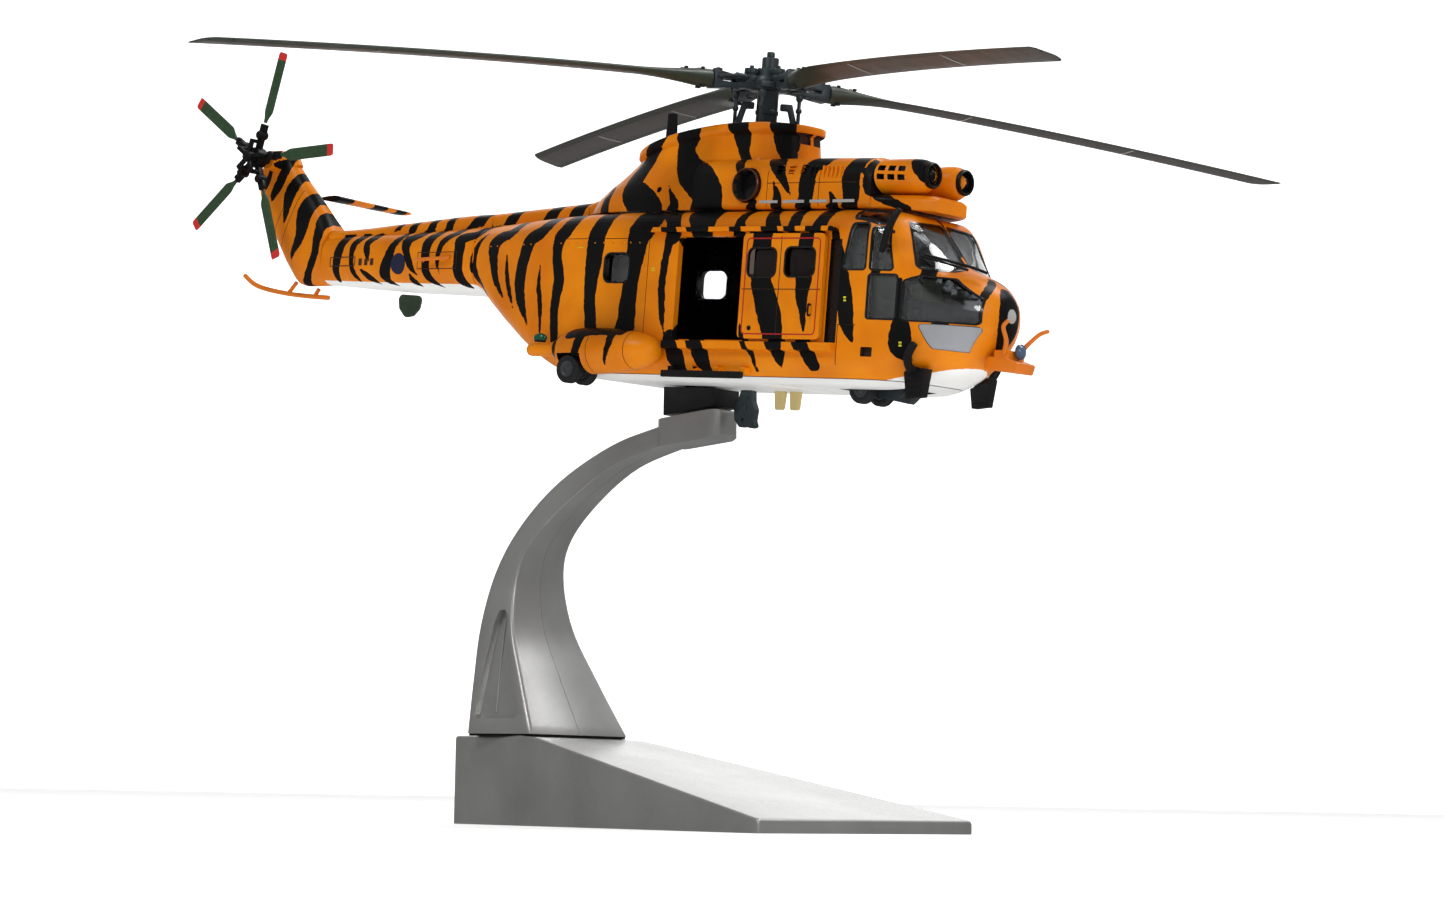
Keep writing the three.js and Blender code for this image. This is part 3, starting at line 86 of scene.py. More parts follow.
def place_camera():
    """The camera fitted to the photograph, placed in metres from the hub and turned in degrees."""
    yaw, pitch, roll = (math.radians(a) for a in YAW_PITCH_ROLL)
    fwd = Vector((-math.sin(yaw) * math.cos(pitch), math.cos(yaw) * math.cos(pitch), math.sin(pitch)))
    right = Vector((math.cos(yaw), math.sin(yaw), 0))
    up = right.cross(fwd)
    r = right * math.cos(roll) + up * math.sin(roll)
    u = up * math.cos(roll) - right * math.sin(roll)
    data = bpy.data.cameras.new("camera")
    cam = bpy.data.objects.new("camera", data)
    scene.collection.objects.link(cam)
    to_right, to_up, back = RIGHT_UP_BACK
    m = Matrix((r, u, -fwd)).transposed().to_4x4()
    m.translation = Vector(HUB) + r * to_right + u * to_up - fwd * back
    cam.matrix_world = m
    data.sensor_width = SENSOR
    data.lens = LENS
    data.clip_start, data.clip_end = 0.02, 20
    scene.camera = cam


place_camera()

# ------------------------------------------------------------------ solids in mesh code


def shape(verts, faces, mat=None):
    """A working object from points and faces, with its faces looking out."""
    mesh = bpy.data.meshes.new("work")
    mesh.from_pydata([tuple(map(float, v)) for v in verts], [], [tuple(map(int, f)) for f in faces])
    bm = bmesh.new()
    bm.from_mesh(mesh)
    bmesh.ops.remove_doubles(bm, verts=bm.verts, dist=1e-4)
    bmesh.ops.dissolve_degenerate(bm, edges=bm.edges, dist=1e-4)
    bmesh.ops.recalc_face_normals(bm, faces=bm.faces)
    if bm.calc_volume(signed=True) < 0:
        bmesh.ops.reverse_faces(bm, faces=bm.faces)
    bm.to_mesh(mesh)
    bm.free()
    if mat:
        mesh.materials.append(mat)
    o = bpy.data.objects.new("work", mesh)
    scene.collection.objects.link(o)
    return o


def drop(o):
    """Removes a working shape."""
    mesh = o.data
    bpy.data.objects.remove(o)
    bpy.data.meshes.remove(mesh)


def boolean(a, b, op):
    """Changes a by b, which is used up. A result equal to a means that the solver gave up."""
    bpy.context.view_layer.update()
    for solver in ("MANIFOLD", "EXACT"):
        m = a.modifiers.new("b", "BOOLEAN")
        m.operation, m.solver, m.object = op, solver, b
        if hasattr(m, "material_mode"):
            m.material_mode = "TRANSFER"
        mesh = bpy.data.meshes.new_from_object(a.evaluated_get(bpy.context.evaluated_depsgraph_get()))
        a.modifiers.clear()
        same = len(mesh.vertices) == len(a.data.vertices) and len(mesh.polygons) == len(a.data.polygons)
        if len(mesh.polygons) and not same:
            old, a.data = a.data, mesh
            bpy.data.meshes.remove(old)
            break
        bpy.data.meshes.remove(mesh)
    drop(b)
    return a


def cut(a, *tools):
    for t in tools:
        boolean(a, t, "DIFFERENCE")
    return a


def fuse(a, *more):
    for m in more:
        boolean(a, m, "UNION")
    return a


def clip(a, b):
    return boolean(a, b, "INTERSECT")


def join(*shapes):
    """One object holding several closed bodies."""
    verts, faces, mats, index = [], [], [], []
    for o in shapes:
        base = len(verts)
        verts += [tuple(v.co) for v in o.data.vertices]
        for m in o.data.materials:
            if m not in mats:
                mats.append(m)
        for p in o.data.polygons:
            faces.append([base + i for i in p.vertices])
            used = o.data.materials[p.material_index] if len(o.data.materials) else None
            index.append(mats.index(used) if used else 0)
    mesh = bpy.data.meshes.new("work")
    mesh.from_pydata(verts, [], faces)
    for m in mats:
        mesh.materials.append(m)
    mesh.polygons.foreach_set("material_index", index)
    made = bpy.data.objects.new("work", mesh)
    scene.collection.objects.link(made)
    for o in shapes:
        drop(o)
    return made


def copy(o, matrix=None):
    """A second working shape, moved by a matrix."""
    c = o.copy()
    c.data = o.data.copy()
    scene.collection.objects.link(c)
    if matrix is not None:
        c.data.transform(matrix)
        if matrix.determinant() < 0:
            c.data.flip_normals()
    return c


def mirror(o):
    return copy(o, Matrix.Scale(-1, 4, PORT))


def on_side(o, sign):
    """The shape as drawn for the port side, or its mirror image for starboard."""
    if sign > 0:
        return o
    m = mirror(o)
    drop(o)
    return m


def loft(rings, mat=None):
    """A closed body through rings of equal numbers of points."""
    n = len(rings[0])
    verts = np.concatenate([np.asarray(r, float) for r in rings])
    faces = []
    count = len(rings)
    for r in range(count - 1):
        a0, b0 = r * n, (r + 1) * n
        for i in range(n):
            j = (i + 1) % n
            faces.append((a0 + i, a0 + j, b0 + j, b0 + i))
    faces.append(tuple(range(n - 1, -1, -1)))
    faces.append(tuple(range((count - 1) * n, count * n)))
    return shape(verts, faces, mat)


def box(x0, x1, y0, y1, z0, z1, mat=None):
    lo = [(x0, y0, z0), (x1, y0, z0), (x1, y1, z0), (x0, y1, z0)]
    return loft([lo, [(x, y, z1) for x, y, _ in lo]], mat)


def fillet(points, r, n=5):
    """A polygon's outline with its corners rounded to radius r."""
    out = []
    count = len(points)
    for i, p in enumerate(points):
        p, a, b = Vector(p), Vector(points[i - 1]), Vector(points[(i + 1) % count])
        u, v = (a - p).normalized(), (b - p).normalized()
        angle = u.angle(v)
        if angle > 3.1:
            out.append(tuple(p))
            continue
        reach = min(r / math.tan(angle / 2), 0.45 * (a - p).length, 0.45 * (b - p).length)
        radius = reach * math.tan(angle / 2)
        centre = p + (u + v).normalized() * (radius / math.sin(angle / 2))
        s, e = p + u * reach - centre, p + v * reach - centre
        turn = s.angle_signed(e) if s.length > 1e-9 else 0
        for k in range(n + 1):
            t = -turn * k / n
            c, q = math.cos(t), math.sin(t)
            out.append((centre.x + s.x * c - s.y * q, centre.y + s.x * q + s.y * c))
    return out


def rect(u0, v0, u1, v1, r=0.0, n=5):
    """A rectangle's outline, with rounded corners when r is given."""
    points = [(u0, v0), (u1, v0), (u1, v1), (u0, v1)]
    return fillet(points, r, n) if r else points


def prism(outline, axis, lo, hi, mat=None):
    """A flat outline extruded along an axis: (x, z) along y, (y, z) along x, (x, y) along z."""
    at = {
        "y": lambda u, v, w: (u, w, v),
        "x": lambda u, v, w: (w, u, v),
        "z": lambda u, v, w: (u, v, w),
    }[axis]
    return loft([[at(u, v, w) for u, v in outline] for w in (lo, hi)], mat)


def frame_at(direction):
    """The turn that brings the Z axis to a direction."""
    d = Vector(direction).normalized()
    if d.z > -0.999999:
        return Vector(UP).rotation_difference(d).to_matrix()
    return Matrix.Rotation(math.pi, 4, "X").to_quaternion().to_matrix()


def around(n):
    """The angles of n points evenly spaced on a circle."""
    return np.arange(n) * 2 * math.pi / n


def pin(radius, height):
    """The lathe profile of a plain round pin."""
    return [(0, 0), (radius, 0), (radius, height), (0, height)]


def turned(profile, at, direction, sides=32, mat=None):
    """A lathe body: (radius, height) pairs about an axis that starts at a point."""
    m = frame_at(direction)
    at = Vector(at)
    verts, rings = [], []
    for r, h in profile:
        if r < 1e-6:
            rings.append([len(verts)])
            verts.append(at + m @ Vector((0, 0, h)))
            continue
        rings.append(list(range(len(verts), len(verts) + sides)))
        for i in range(sides):
            a = 2 * math.pi * i / sides
            verts.append(at + m @ Vector((r * math.cos(a), r * math.sin(a), h)))
    faces = []
    loop = list(zip(rings, rings[1:]))
    if len(rings[0]) > 1 and len(rings[-1]) > 1:
        loop.append((rings[-1], rings[0]))
    for a, b in loop:
        for i in range(sides):
            j = (i + 1) % sides
            if len(a) == 1 and len(b) == 1:
                continue
            if len(a) == 1:
                faces.append((a[0], b[j], b[i]))
            elif len(b) == 1:
                faces.append((a[i], a[j], b[0]))
            else:
                faces.append((a[i], a[j], b[j], b[i]))
    return shape(verts, faces, mat)


def bar(a, b, radius, sides=24, mat=None):
    """A round bar from a to b."""
    axis = Vector(b) - Vector(a)
    return turned(pin(radius, axis.length), a, axis, sides, mat)


def hexnut(at, across, height):
    """A six-sided nut standing on a point, with its upper edges chamfered."""
    m = frame_at(UP)
    rings = []
    for h, s in ((0, 1), (height * 0.8, 1), (height, 0.86)):
        r = s * across / 2
        corners = [Vector((r * math.cos(a), r * math.sin(a), h)) for a in np.arange(6) * math.pi / 3]
        rings.append([Vector(at) + m @ corner for corner in corners])
    return loft(rings)


def smooth_line(points, steps):
    """Catmull-Rom curve through points of any dimension."""
    p = np.asarray(points, float)
    p = np.vstack([2 * p[0] - p[1], p, 2 * p[-1] - p[-2]])
    out = []
    for i in range(1, len(p) - 2):
        for t in np.arange(steps) / steps:
            a, b, c, d = p[i - 1 : i + 3]
            bend, twist = 2 * a - 5 * b + 4 * c - d, 3 * b - a - 3 * c + d
            out.append(0.5 * (2 * b + (c - a) * t + bend * t * t + twist * t**3))
    out.append(p[-2])
    return np.array(out)


def tube(points, radius, sides=14, steps=8):
    """A bent round rod with rounded ends. radius may be one number or one for each point."""
    radii = np.broadcast_to(np.asarray(radius, float), (len(points),))
    line = smooth_line(np.column_stack([np.asarray(points, float), radii]), steps)
    path, radii = line[:, :3], np.abs(line[:, 3])
    tangent = np.gradient(path, axis=0)
    tangent /= np.linalg.norm(tangent, axis=1)[:, None]
    side = np.cross(tangent[0], UP if abs(tangent[0][2]) < 0.9 else (0, 1, 0))
    a = around(sides)
    rings = []
    for k, (p, t, r) in enumerate(zip(path, tangent, radii)):
        side = side - t * (side @ t)
        side /= np.linalg.norm(side)
        up = np.cross(t, side)
        ring = np.outer(np.cos(a), side) + np.outer(np.sin(a), up)
        steps_at = [(1, 0)]
        if k == 0:
            steps_at = [(0.35, -0.8), (0.75, -0.5), (1, 0)]
        if k == len(path) - 1:
            steps_at += [(0.75, 0.5), (0.35, 0.8)]
        for size, ahead in steps_at:
            rings.append(p + t * ahead * r * 0.5 + ring * r * size)
    return loft(rings)


def ball(c, rx, ry, rz, n=20):
    """An ellipsoid about a centre."""
    profile = [(math.sin(a), -math.cos(a)) for a in np.linspace(0, math.pi, n // 2 + 1)]
    profile[0], profile[-1] = (0, -1), (0, 1)
    o = turned(profile, (0, 0, 0), UP, n)
    o.data.transform(Matrix.Translation(c) @ Matrix.Diagonal((rx, ry, rz, 1)))
    return o


def superellipse(cx, a, b, z, n=72, power=2.6):
    """A squarish ring about (cx, 0) at a height, which may depend on x."""
    t = around(n)
    x = cx + a * np.sign(np.cos(t)) * np.abs(np.cos(t)) ** (2 / power)
    y = b * np.sign(np.sin(t)) * np.abs(np.sin(t)) ** (2 / power)
    zz = z(x) if callable(z) else np.full(n, float(z))
    return np.column_stack([x, y, zz])


def upright_ring(x, y, z, ry, rz, n):
    """An elliptic ring across the X axis."""
    a = around(n)
    return np.column_stack([np.full(n, x), y + ry * np.cos(a), z + rz * np.sin(a)])


# ------------------------------------------------------------------ sections, the same as in the CAD source


def station(rows, x):
    """Smooth values between listed stations."""
    i = 0
    while i < len(rows) - 2 and x > rows[i + 1][0]:
        i += 1
    a, b = rows[i], rows[i + 1]
    before, after = rows[max(i - 1, 0)], rows[min(i + 2, len(rows) - 1)]
    h = b[0] - a[0]
    t = (x - a[0]) / h

    def slope(p, q, k):
        return 0.0 if q[0] == p[0] else (q[k] - p[k]) / (q[0] - p[0])

    out = [x]
    for k in range(1, len(a)):
        s = slope(a, b, k)
        m0 = m1 = 0.0
        if slope(before, a, k) * s > 0:
            m0 = math.copysign(min(abs(slope(before, b, k)), 3 * abs(s)), s)
        if s * slope(b, after, k) > 0:
            m1 = math.copysign(min(abs(slope(a, after, k)), 3 * abs(s)), s)
        t2, t3 = t * t, t**3
        ends = (2 * t3 - 3 * t2 + 1) * a[k] + (3 * t2 - 2 * t3) * b[k]
        out.append(ends + (t3 - 2 * t2 + t) * h * m0 + (t3 - t2) * h * m1)
    return out


def section(row, inset=0.0, corner=9):
    """Cross-section with flat sides and quarter-ellipse corners."""
    x, half, top, bottom, tw, th, bw, bh = row
    h, t, b = half - inset, top - inset, bottom + inset
    mid = (t + b) / 2
    ring = []
    upper, lower = (min(tw, h), min(th, t - mid)), (min(bw, h), min(bh, mid - b))
    quarters = ((*upper, 1, 1), (*upper, -1, 1), (*lower, -1, -1), (*lower, 1, -1))
    for c, (w, hh, sy, sz) in enumerate(quarters):
        for i in range(corner):
            a = math.pi / 2 * (c + i / (corner - 1))
            ring.append(
                (x, sy * (h - w) + w * math.cos(a), (t - hh if sz > 0 else b + hh) + hh * math.sin(a))
            )
    return ring


def lofted(rows, xs, inset=0.0, corner=9, mat=None):
    """A body through the sections at the given places, between listed stations."""
    return loft([section(station(rows, x), inset, corner) for x in xs], mat)


# Stations are x, half width, top, bottom, then width and height of the upper and the lower corners.
BODY = [
    (-60.3, 8.4, -24.9, -37.4, 5.5, 4.5, 5.5, 4.5),
    (-56, 9.4, -24.8, -40.3, 5.5, 4.6, 5.5, 4.8),
    (-50, 10.8, -24.6, -44.3, 5.2, 4.7, 5.5, 5),
    (-43, 12.4, -24.3, -48.4, 5, 4.7, 5.3, 5),
    (-36, 13.5, -24, -51.5, 4.8, 4.6, 5, 4.8),
    (-28, 14, -23.7, -53, 4.6, 4.5, 4.6, 4.6),
    (-18, 14, -23.5, -53.4, 4.5, 4.5, 4.5, 4.5),
    (30, 14, -23.5, -53.4, 4.5, 4.5, 4.5, 4.5),
    (36, 13.6, -23.6, -53.3, 5, 5, 5, 5),
    (39.5, 13, -24.3, -52.9, 6.5, 6, 6, 5.2),
    (43, 12.1, -28.3, -52.1, 10, 8, 7, 5.8),
    (46.5, 10.8, -32.2, -51, 10.8, 7.4, 8, 6.4),
    (49.5, 9.2, -33.4, -49.6, 9.2, 6.6, 8, 6.6),
    (52, 7.4, -34.4, -48, 7.4, 6, 7, 6.4),
    (54, 5.3, -35.8, -46.1, 5.3, 5, 5.3, 5),
    (55.3, 3.2, -37.4, -43.9, 3.2, 3, 3.2, 3),
    (55.9, 1.3, -39.3, -41.5, 1.3, 1, 1.3, 1),
]
BOOM = [
    (-104.4, 4.5, -26.2, -35.6, 3.4, 3.2, 3.6, 3.4),
    (-96, 5.5, -26, -36.1, 3.8, 3.6, 4, 3.8),
    (-84, 6.6, -25.8, -36.7, 4.4, 4, 4.6, 4.2),
    (-72, 7.5, -25.4, -37.1, 5, 4.3, 5, 4.4),
    (-60.7, 8.4, -24.95, -37.4, 5.5, 4.5, 5.5, 4.5),
]
BOOM_END, BOOM_TIP = -60.7, -104.4
SKIN = 1.2
PAN_TOP = -52.2
BODY_X = [*np.arange(-60.3, -18, 1.55), -18, 6, 30, *np.arange(31, 55.3, 0.75), 55.3, 55.5, 55.7, 55.9]
INNER_X = [-60.3, -56, -50, -46, -43, -39, -36, -32, -28, -18, 30, *np.arange(33, 54, 1.5), 54]


def body_row(x):
    """The fuselage's or the boom's section at x."""
    return station(BOOM if x < -60.5 else BODY, x)


TABLE_X = np.arange(BOOM_TIP, 55.95, 0.5)
TABLE = np.array([body_row(x)[1:4] for x in TABLE_X])


def unrolled(p):
    """(x, height along the skin) of points on fuselage or boom, so that marks wrap round corners."""
    half, top, bottom = (np.interp(p[:, 0], TABLE_X, TABLE[:, k]) for k in range(3))
    inboard = np.maximum(half - np.abs(p[:, 1]), 0)
    v = np.where(p[:, 2] > (top + bottom) / 2, p[:, 2] + inboard, p[:, 2] - inboard)
    return np.column_stack([p[:, 0], v])


# ------------------------------------------------------------------ paint marks, in millimetres
# A stripe is a line of (x, height, width) points. Both sides of the model carry the same stripes.
BODY_STRIPES = [
    [
        (-97.4, -20, 3), (-97.9, -23.7, 3), (-98.7, -27.7, 2.7), (-99.7, -31.6, 2.4), (-99.8, -35.8, 1.4),
        (-99.6, -37, 0.2),
    ],
    [
        (-93, -20, 2.4), (-93.3, -24.9, 2.4), (-94.7, -27.8, 1.9), (-95.1, -31.6, 1.3), (-93.8, -35.1, 1.3),
        (-92.7, -37, 0),
    ],
    [(-89.3, -20, 2.7), (-89.7, -24.8, 2.7), (-90.9, -27.5, 1.9), (-90.6, -29.8, 1.6), (-89.8, -31.6, 0)],
    [(-92.3, -33, 0.4), (-89.9, -35.3, 1.9), (-87, -37.8, 0)],
    [
        (-81.3, -19, 1.8), (-81.6, -24.6, 1.8), (-82.5, -26.5, 1.8), (-83.8, -29.9, 2.4),
        (-85.1, -33.6, 3.2), (-84.8, -36.1, 2.1), (-82.3, -38.4, 0),
    ],
    [
        (-76.5, -19, 3.5), (-77.1, -24.3, 3.4), (-79.4, -26.7, 3.1), (-79.3, -29.5, 2.1),
        (-77.9, -32.4, 1.6), (-75.6, -35, 0),
    ],
    [(-78.2, -34, 0.3), (-77.4, -36.5, 1.8), (-75.4, -38.6, 0)],
    [
        (-71.7, -19, 2.3), (-72.1, -24, 2.3), (-73.2, -26.2, 2.9), (-73.7, -29, 2.6), (-73.6, -32.4, 2.1),
        (-72.7, -35.6, 2.1), (-69.6, -38.9, 0),
    ],
    [
        (-65.8, -18, 2.8), (-66.3, -23.7, 2.6), (-68.7, -26.7, 2.1), (-69.8, -29.1, 1.5), (-70.3, -31.9, 1),
        (-69.4, -35.1, 0),
    ],
    [
        (-58.5, -18, 3.2), (-60.6, -25.2, 3), (-64, -26.8, 3.3), (-64.2, -29.2, 2.8), (-64.4, -32.9, 2.6),
        (-63.7, -36.6, 2.6), (-61.4, -39.6, 0),
    ],
    [
        (-56.6, -25, 0.3), (-59.4, -29.1, 1.3), (-60.3, -32, 1.8), (-59.3, -34.8, 1.8), (-57.4, -37.3, 1.5),
        (-55.4, -39.9, 0),
    ],
    [
        (-46.6, -16, 3), (-48.8, -25.4, 3), (-52.3, -27.3, 3.5), (-53.9, -29.4, 3.3), (-53.6, -32.2, 2.5),
        (-52.5, -35.5, 1.7), (-49.8, -39, 0.3),
    ],
    [(-49.5, -31, 0.4), (-49.2, -34.2, 1.2), (-48.1, -37.5, 1.2), (-46.2, -41.2, 0.2)],
    [
        (-36.6, -14, 3.8), (-39.1, -25.4, 3.7), (-42.2, -28, 3.4), (-43.9, -31.2, 3.2), (-44.9, -35.7, 3.2),
        (-44.1, -39.4, 2.5), (-41.6, -44, 0.2),
    ],
    [(-39.1, -32.4, 0), (-39.2, -36.7, 1.2), (-38.4, -40.4, 1.2), (-37.9, -45.4, 0.5)],
    [
        (-31.6, -14, 3.9), (-32.5, -25, 3.8), (-34.2, -28.2, 3.1), (-34.8, -31.4, 2.4), (-33.8, -35.9, 2.7),
        (-34.4, -40.4, 2.2), (-34, -46.1, 1.9), (-33.6, -51, 0),
    ],
    [
        (-24, -14, 4), (-24.4, -24.7, 4), (-25.2, -28.3, 4), (-25.5, -32.7, 3.8), (-25.9, -38.1, 2.8),
        (-25.4, -42.2, 2.8), (-24.9, -46.2, 2.8),
    ],
    [
        (-13.4, -14, 6.8), (-13.9, -24.6, 6.5), (-15.2, -27.4, 5.1), (-15.8, -31.5, 4.2), (-16, -34.1, 3.3),
        (-16.7, -38.5, 3.7), (-16.9, -43.3, 4.2), (-17.6, -46.6, 4.9),
    ],
    [(-8, -28.2, 2.1), (-8.8, -32.4, 1.6), (-9.2, -36.9, 1.6), (-8.8, -41.5, 1.4), (-8, -45.4, 0)],
    [(-6.6, -46, 3), (-6, -46.7, 3.2), (-4.8, -49.5, 3.7), (-3.8, -52.6, 2.3)],
    [(-0.6, -46, 3), (-0.3, -46.5, 3.2), (0.8, -49, 3.6), (2, -52.2, 2.3)],
    [(10.3, -45.5, 1.1), (11.3, -47.5, 1.1), (12.6, -49.2, 0.9), (13.1, -52.2, 0.7)],
    [(17.5, -46.2, 3.9), (18.3, -49, 2.2), (18.7, -51.4, 0)],
    [(23, -46.2, 3), (24.5, -48.3, 2.8), (25.7, -50.6, 2.6)],
    [(8, -18, 2), (7.3, -23, 2), (7.1, -25.1, 2.2), (7.6, -27.9, 2.7)],
    [(12.6, -18, 2.6), (13.3, -22.1, 2.6), (14.2, -25.2, 3.1), (15.3, -27.9, 3.5)],
    [(18.6, -18, 2.6), (19, -23.3, 2.6), (19.2, -25.6, 2.6), (19.5, -27.9, 2.6)],
    [(25.6, -18, 3), (25.2, -22.4, 3), (24.9, -25.3, 3), (24.5, -27.9, 3.4)],
    [(-2.4, -18, 7.4), (-1.9, -21.7, 7.3), (-1.3, -25, 5.9), (-0.7, -27.9, 4.5)],
    [(-9.6, -18, 3), (-9.1, -22, 3), (-8, -25.2, 3.2), (-7.3, -27.9, 3.4)],
    [
        (28.4, -27.5, 1.5), (28.8, -29, 1.7), (30, -32.8, 2.3), (31.4, -38.7, 3.2), (32, -42.5, 3),
        (32.8, -44.7, 1.7), (33.9, -46.7, 0),
    ],
    [
        (41.7, -35.5, 0.7), (41.7, -41.5, 1.1), (42.2, -43.4, 3.3), (42.4, -46.4, 3.9), (43.1, -48.7, 2.1),
        (44.1, -50.7, 0),
    ],
    [(37.2, -33.7, 1.7), (37, -35.1, 1.7)],
    [(48.3, -42, 2.5), (48.7, -43.4, 2.5)],
]
# On the nose a stripe's points are (x, distance from the middle, height, width).
NOSE_STRIPES = [
    [(52, 0.9, -34.4, 1.5), (52.9, 2.1, -35.4, 1.6), (53.4, 4.7, -37.5, 1.4), (53, 6, -39, 0.9)],
    [(43.4, 6.7, -32.3, 2.6), (45.1, 9, -33.7, 2.7), (45.4, 10.1, -34.9, 2.6)],
    [(38.9, 0, -24.2, 1.2), (41.5, 0, -27, 1.1), (44.5, 0.2, -30.2, 1)],
    [
        (54.6, 0.2, -37, 3), (55.4, 0.2, -39, 5), (55.5, 0.2, -41, 5.4), (55, 0.2, -43.4, 4.4),
        (54.2, 0.2, -45, 3),
    ],
]
SPINE_STRIPES = [
    [(-86, -27, 1.4), (-84.6, -24, 1.4)],
    [(-82, -27, 1.8), (-80.4, -23.4, 1.8)],
    [(-76.9, -27, 1.9), (-75.4, -23, 1.9)],
    [(-71.8, -26, 1.9), (-71, -22.4, 1.9)],
    [(-65.6, -26, 3.1), (-62.4, -21.8, 3.1)],
    [(-56.9, -25.6, 2.5), (-54, -21.2, 2.5)],
    [(-47.2, -25, 2.6), (-44, -20.4, 2.6)],
    [(-41, -25, 2.9), (-38.2, -20, 2.9)],
]
COWL_STRIPES = [
    [(-28.2, -19, 1.5), (-29, -21.7, 2.4), (-28.6, -23.6, 2.6)],
    [
        (-16.2, -8.6, 2.8), (-19.3, -11.9, 3.2), (-21.7, -16.4, 4.3), (-22, -19.3, 5), (-18.9, -21.8, 6.4),
        (-16.9, -23.6, 7),
    ],
    [
        (-10, -8.4, 5), (-11.1, -12.2, 4.2), (-9.2, -15.9, 5.3), (-5, -18.4, 6.8), (-3, -20.7, 7.4),
        (-3.2, -23.6, 7.6),
    ],
    [(-13, -18.8, 0.2), (-10.9, -21.9, 1.8), (-11.1, -23.6, 2.8)],
    [(0.5, -7.6, 4.3), (1.4, -10.9, 3), (2.2, -13.6, 1.8), (4, -16.2, 1.6)],
    [(8, -22, 1.1), (6.6, -23.6, 1.9)],
    [
        (8.4, -6.5, 4.2), (8.9, -10.8, 3.6), (10, -13.6, 2.6), (12.2, -15.6, 2.7), (14.7, -19.2, 1.3),
        (16, -21.3, 0),
    ],
    [(11.8, -18.3, 0), (13, -21.2, 1.8), (12.6, -23.6, 2.6)],
    [
        (22.4, -3, 5), (21.4, -13.4, 4.6), (19.7, -16.6, 3.5), (19.3, -19.3, 3.5), (19.1, -21.8, 3),
        (18, -23.6, 2.8),
    ],
    [(29.8, -3, 3.4), (29.4, -13.4, 3.4), (28.6, -18.2, 3.8), (28.9, -21.4, 3.4), (28, -23.6, 2.6)],
    [(23.9, -19.8, 0), (25.3, -22.4, 1.7), (24.4, -23.6, 2.2)],
    [(32.6, -15, 1.6), (32, -17.3, 1.7), (32.4, -20.1, 1.7), (35.3, -21.8, 1.7), (38.4, -23, 1)],
]
NACELLE_STRIPES = [[(38.4, -14.2, 1), (39.9, -15.3, 2.8), (40.9, -17.2, 2.4), (41.2, -18.8, 0.4)]]
PYLON_STRIPES = [
    [(-117.9, -9.6, 2), (-118.6, -11.6, 2), (-119.8, -15.3, 2.4), (-121.4, -17.8, 1.8), (-122, -19.4, 0.2)],
    [(-113.6, -13, 2.2), (-115.3, -14.8, 2.2), (-116.8, -18.1, 3), (-117.5, -22.6, 1), (-117.6, -24, 0)],
    [
        (-109, -17.2, 3.2), (-110.7, -18.9, 3.2), (-111.9, -21.5, 4.2), (-112.2, -26, 3.1),
        (-114.5, -29.9, 1.1), (-115.2, -31.5, 0),
    ],
    [
        (-105.6, -20.4, 2.8), (-106.9, -22.8, 2.8), (-106.9, -24.7, 2.5), (-106.8, -29.5, 2.2),
        (-108.6, -33, 1.9), (-110.7, -35.6, 1.8),
    ],
    [(-122.5, -12.2, 0.8), (-123.4, -15, 1.5), (-124, -17, 0.3)],
]
SPONSON_STRIPES = [
    [(-29.8, -45.8, 1.8), (-30, -49.2, 1.4), (-30.2, -51.4, 0.4)],
    [(-22.5, -44.8, 2.4), (-22.8, -48, 2.1), (-24.4, -52, 1.4)],
    [(-15.7, -45, 1.9), (-15.4, -47.9, 1.4), (-16.8, -51.6, 0.2)],
    [(-26, -46, 1.8), (-24.4, -45.6, 2.4), (-18.8, -45, 2.4), (-14, -45.2, 1.9)],
]
DOOR_STRIPES = [
    [
        (13.9, -27, 4.4), (13.7, -30.7, 4), (14, -35.8, 4.4), (15.2, -39.2, 4.8), (16.6, -42.7, 5),
        (17.6, -46.6, 3.9),
    ],
    [
        (23.6, -27, 3), (23.2, -30.7, 3.2), (23.3, -35.8, 3.5), (23.1, -38.5, 2.6), (23.6, -41.2, 1.7),
        (24.2, -45.8, 0),
    ],
    [(9.7, -42, 0), (10.2, -44.6, 0.8), (10.7, -46.2, 1.1)],
]


FAR_OUTSIDE = -5.0
NOSE_FROM, SPINE_UNTIL = 37, -36
# Lower edge of the orange along the body: x, height.
WHITE_EDGE = [
    (-104, -36.3), (-61, -37.5), (-46, -48), (-36, -54), (36, -56), (38, -52.4), (46, -50.4), (52, -48.7),
    (56, -47)
]
# Black bands across the tailplane: distance from the middle.
TAILPLANE_BANDS = [(2, 7.2), (13, 16.9), (19.4, 22.4)]


def painted(points, stripes):
    """How far inside the nearest stripe each point lies, in millimetres; negative outside."""
    best = np.full(len(points), FAR_OUTSIDE)
    d = points.shape[1]
    for stripe in stripes:
        line = smooth_line(stripe, 5)
        for a, b in zip(line, line[1:]):
            reach = max(a[d], b[d]) / 2 + 1.5
            lo, hi = np.minimum(a[:d], b[:d]) - reach, np.maximum(a[:d], b[:d]) + reach
            near = np.flatnonzero(np.all((points > lo) & (points < hi), axis=1))
            if not len(near):
                continue
            q, ab = points[near] - a[:d], b[:d] - a[:d]
            t = np.clip(q @ ab / max(ab @ ab, 1e-9), 0, 1)
            dist = np.linalg.norm(q - t[:, None] * ab, axis=1)
            best[near] = np.maximum(best[near], (a[d] + t * (b[d] - a[d])) / 2 - dist)
    return best


def no_white(p, tiger):
    return {"tiger": tiger, "white": np.full(len(p), FAR_OUTSIDE)}


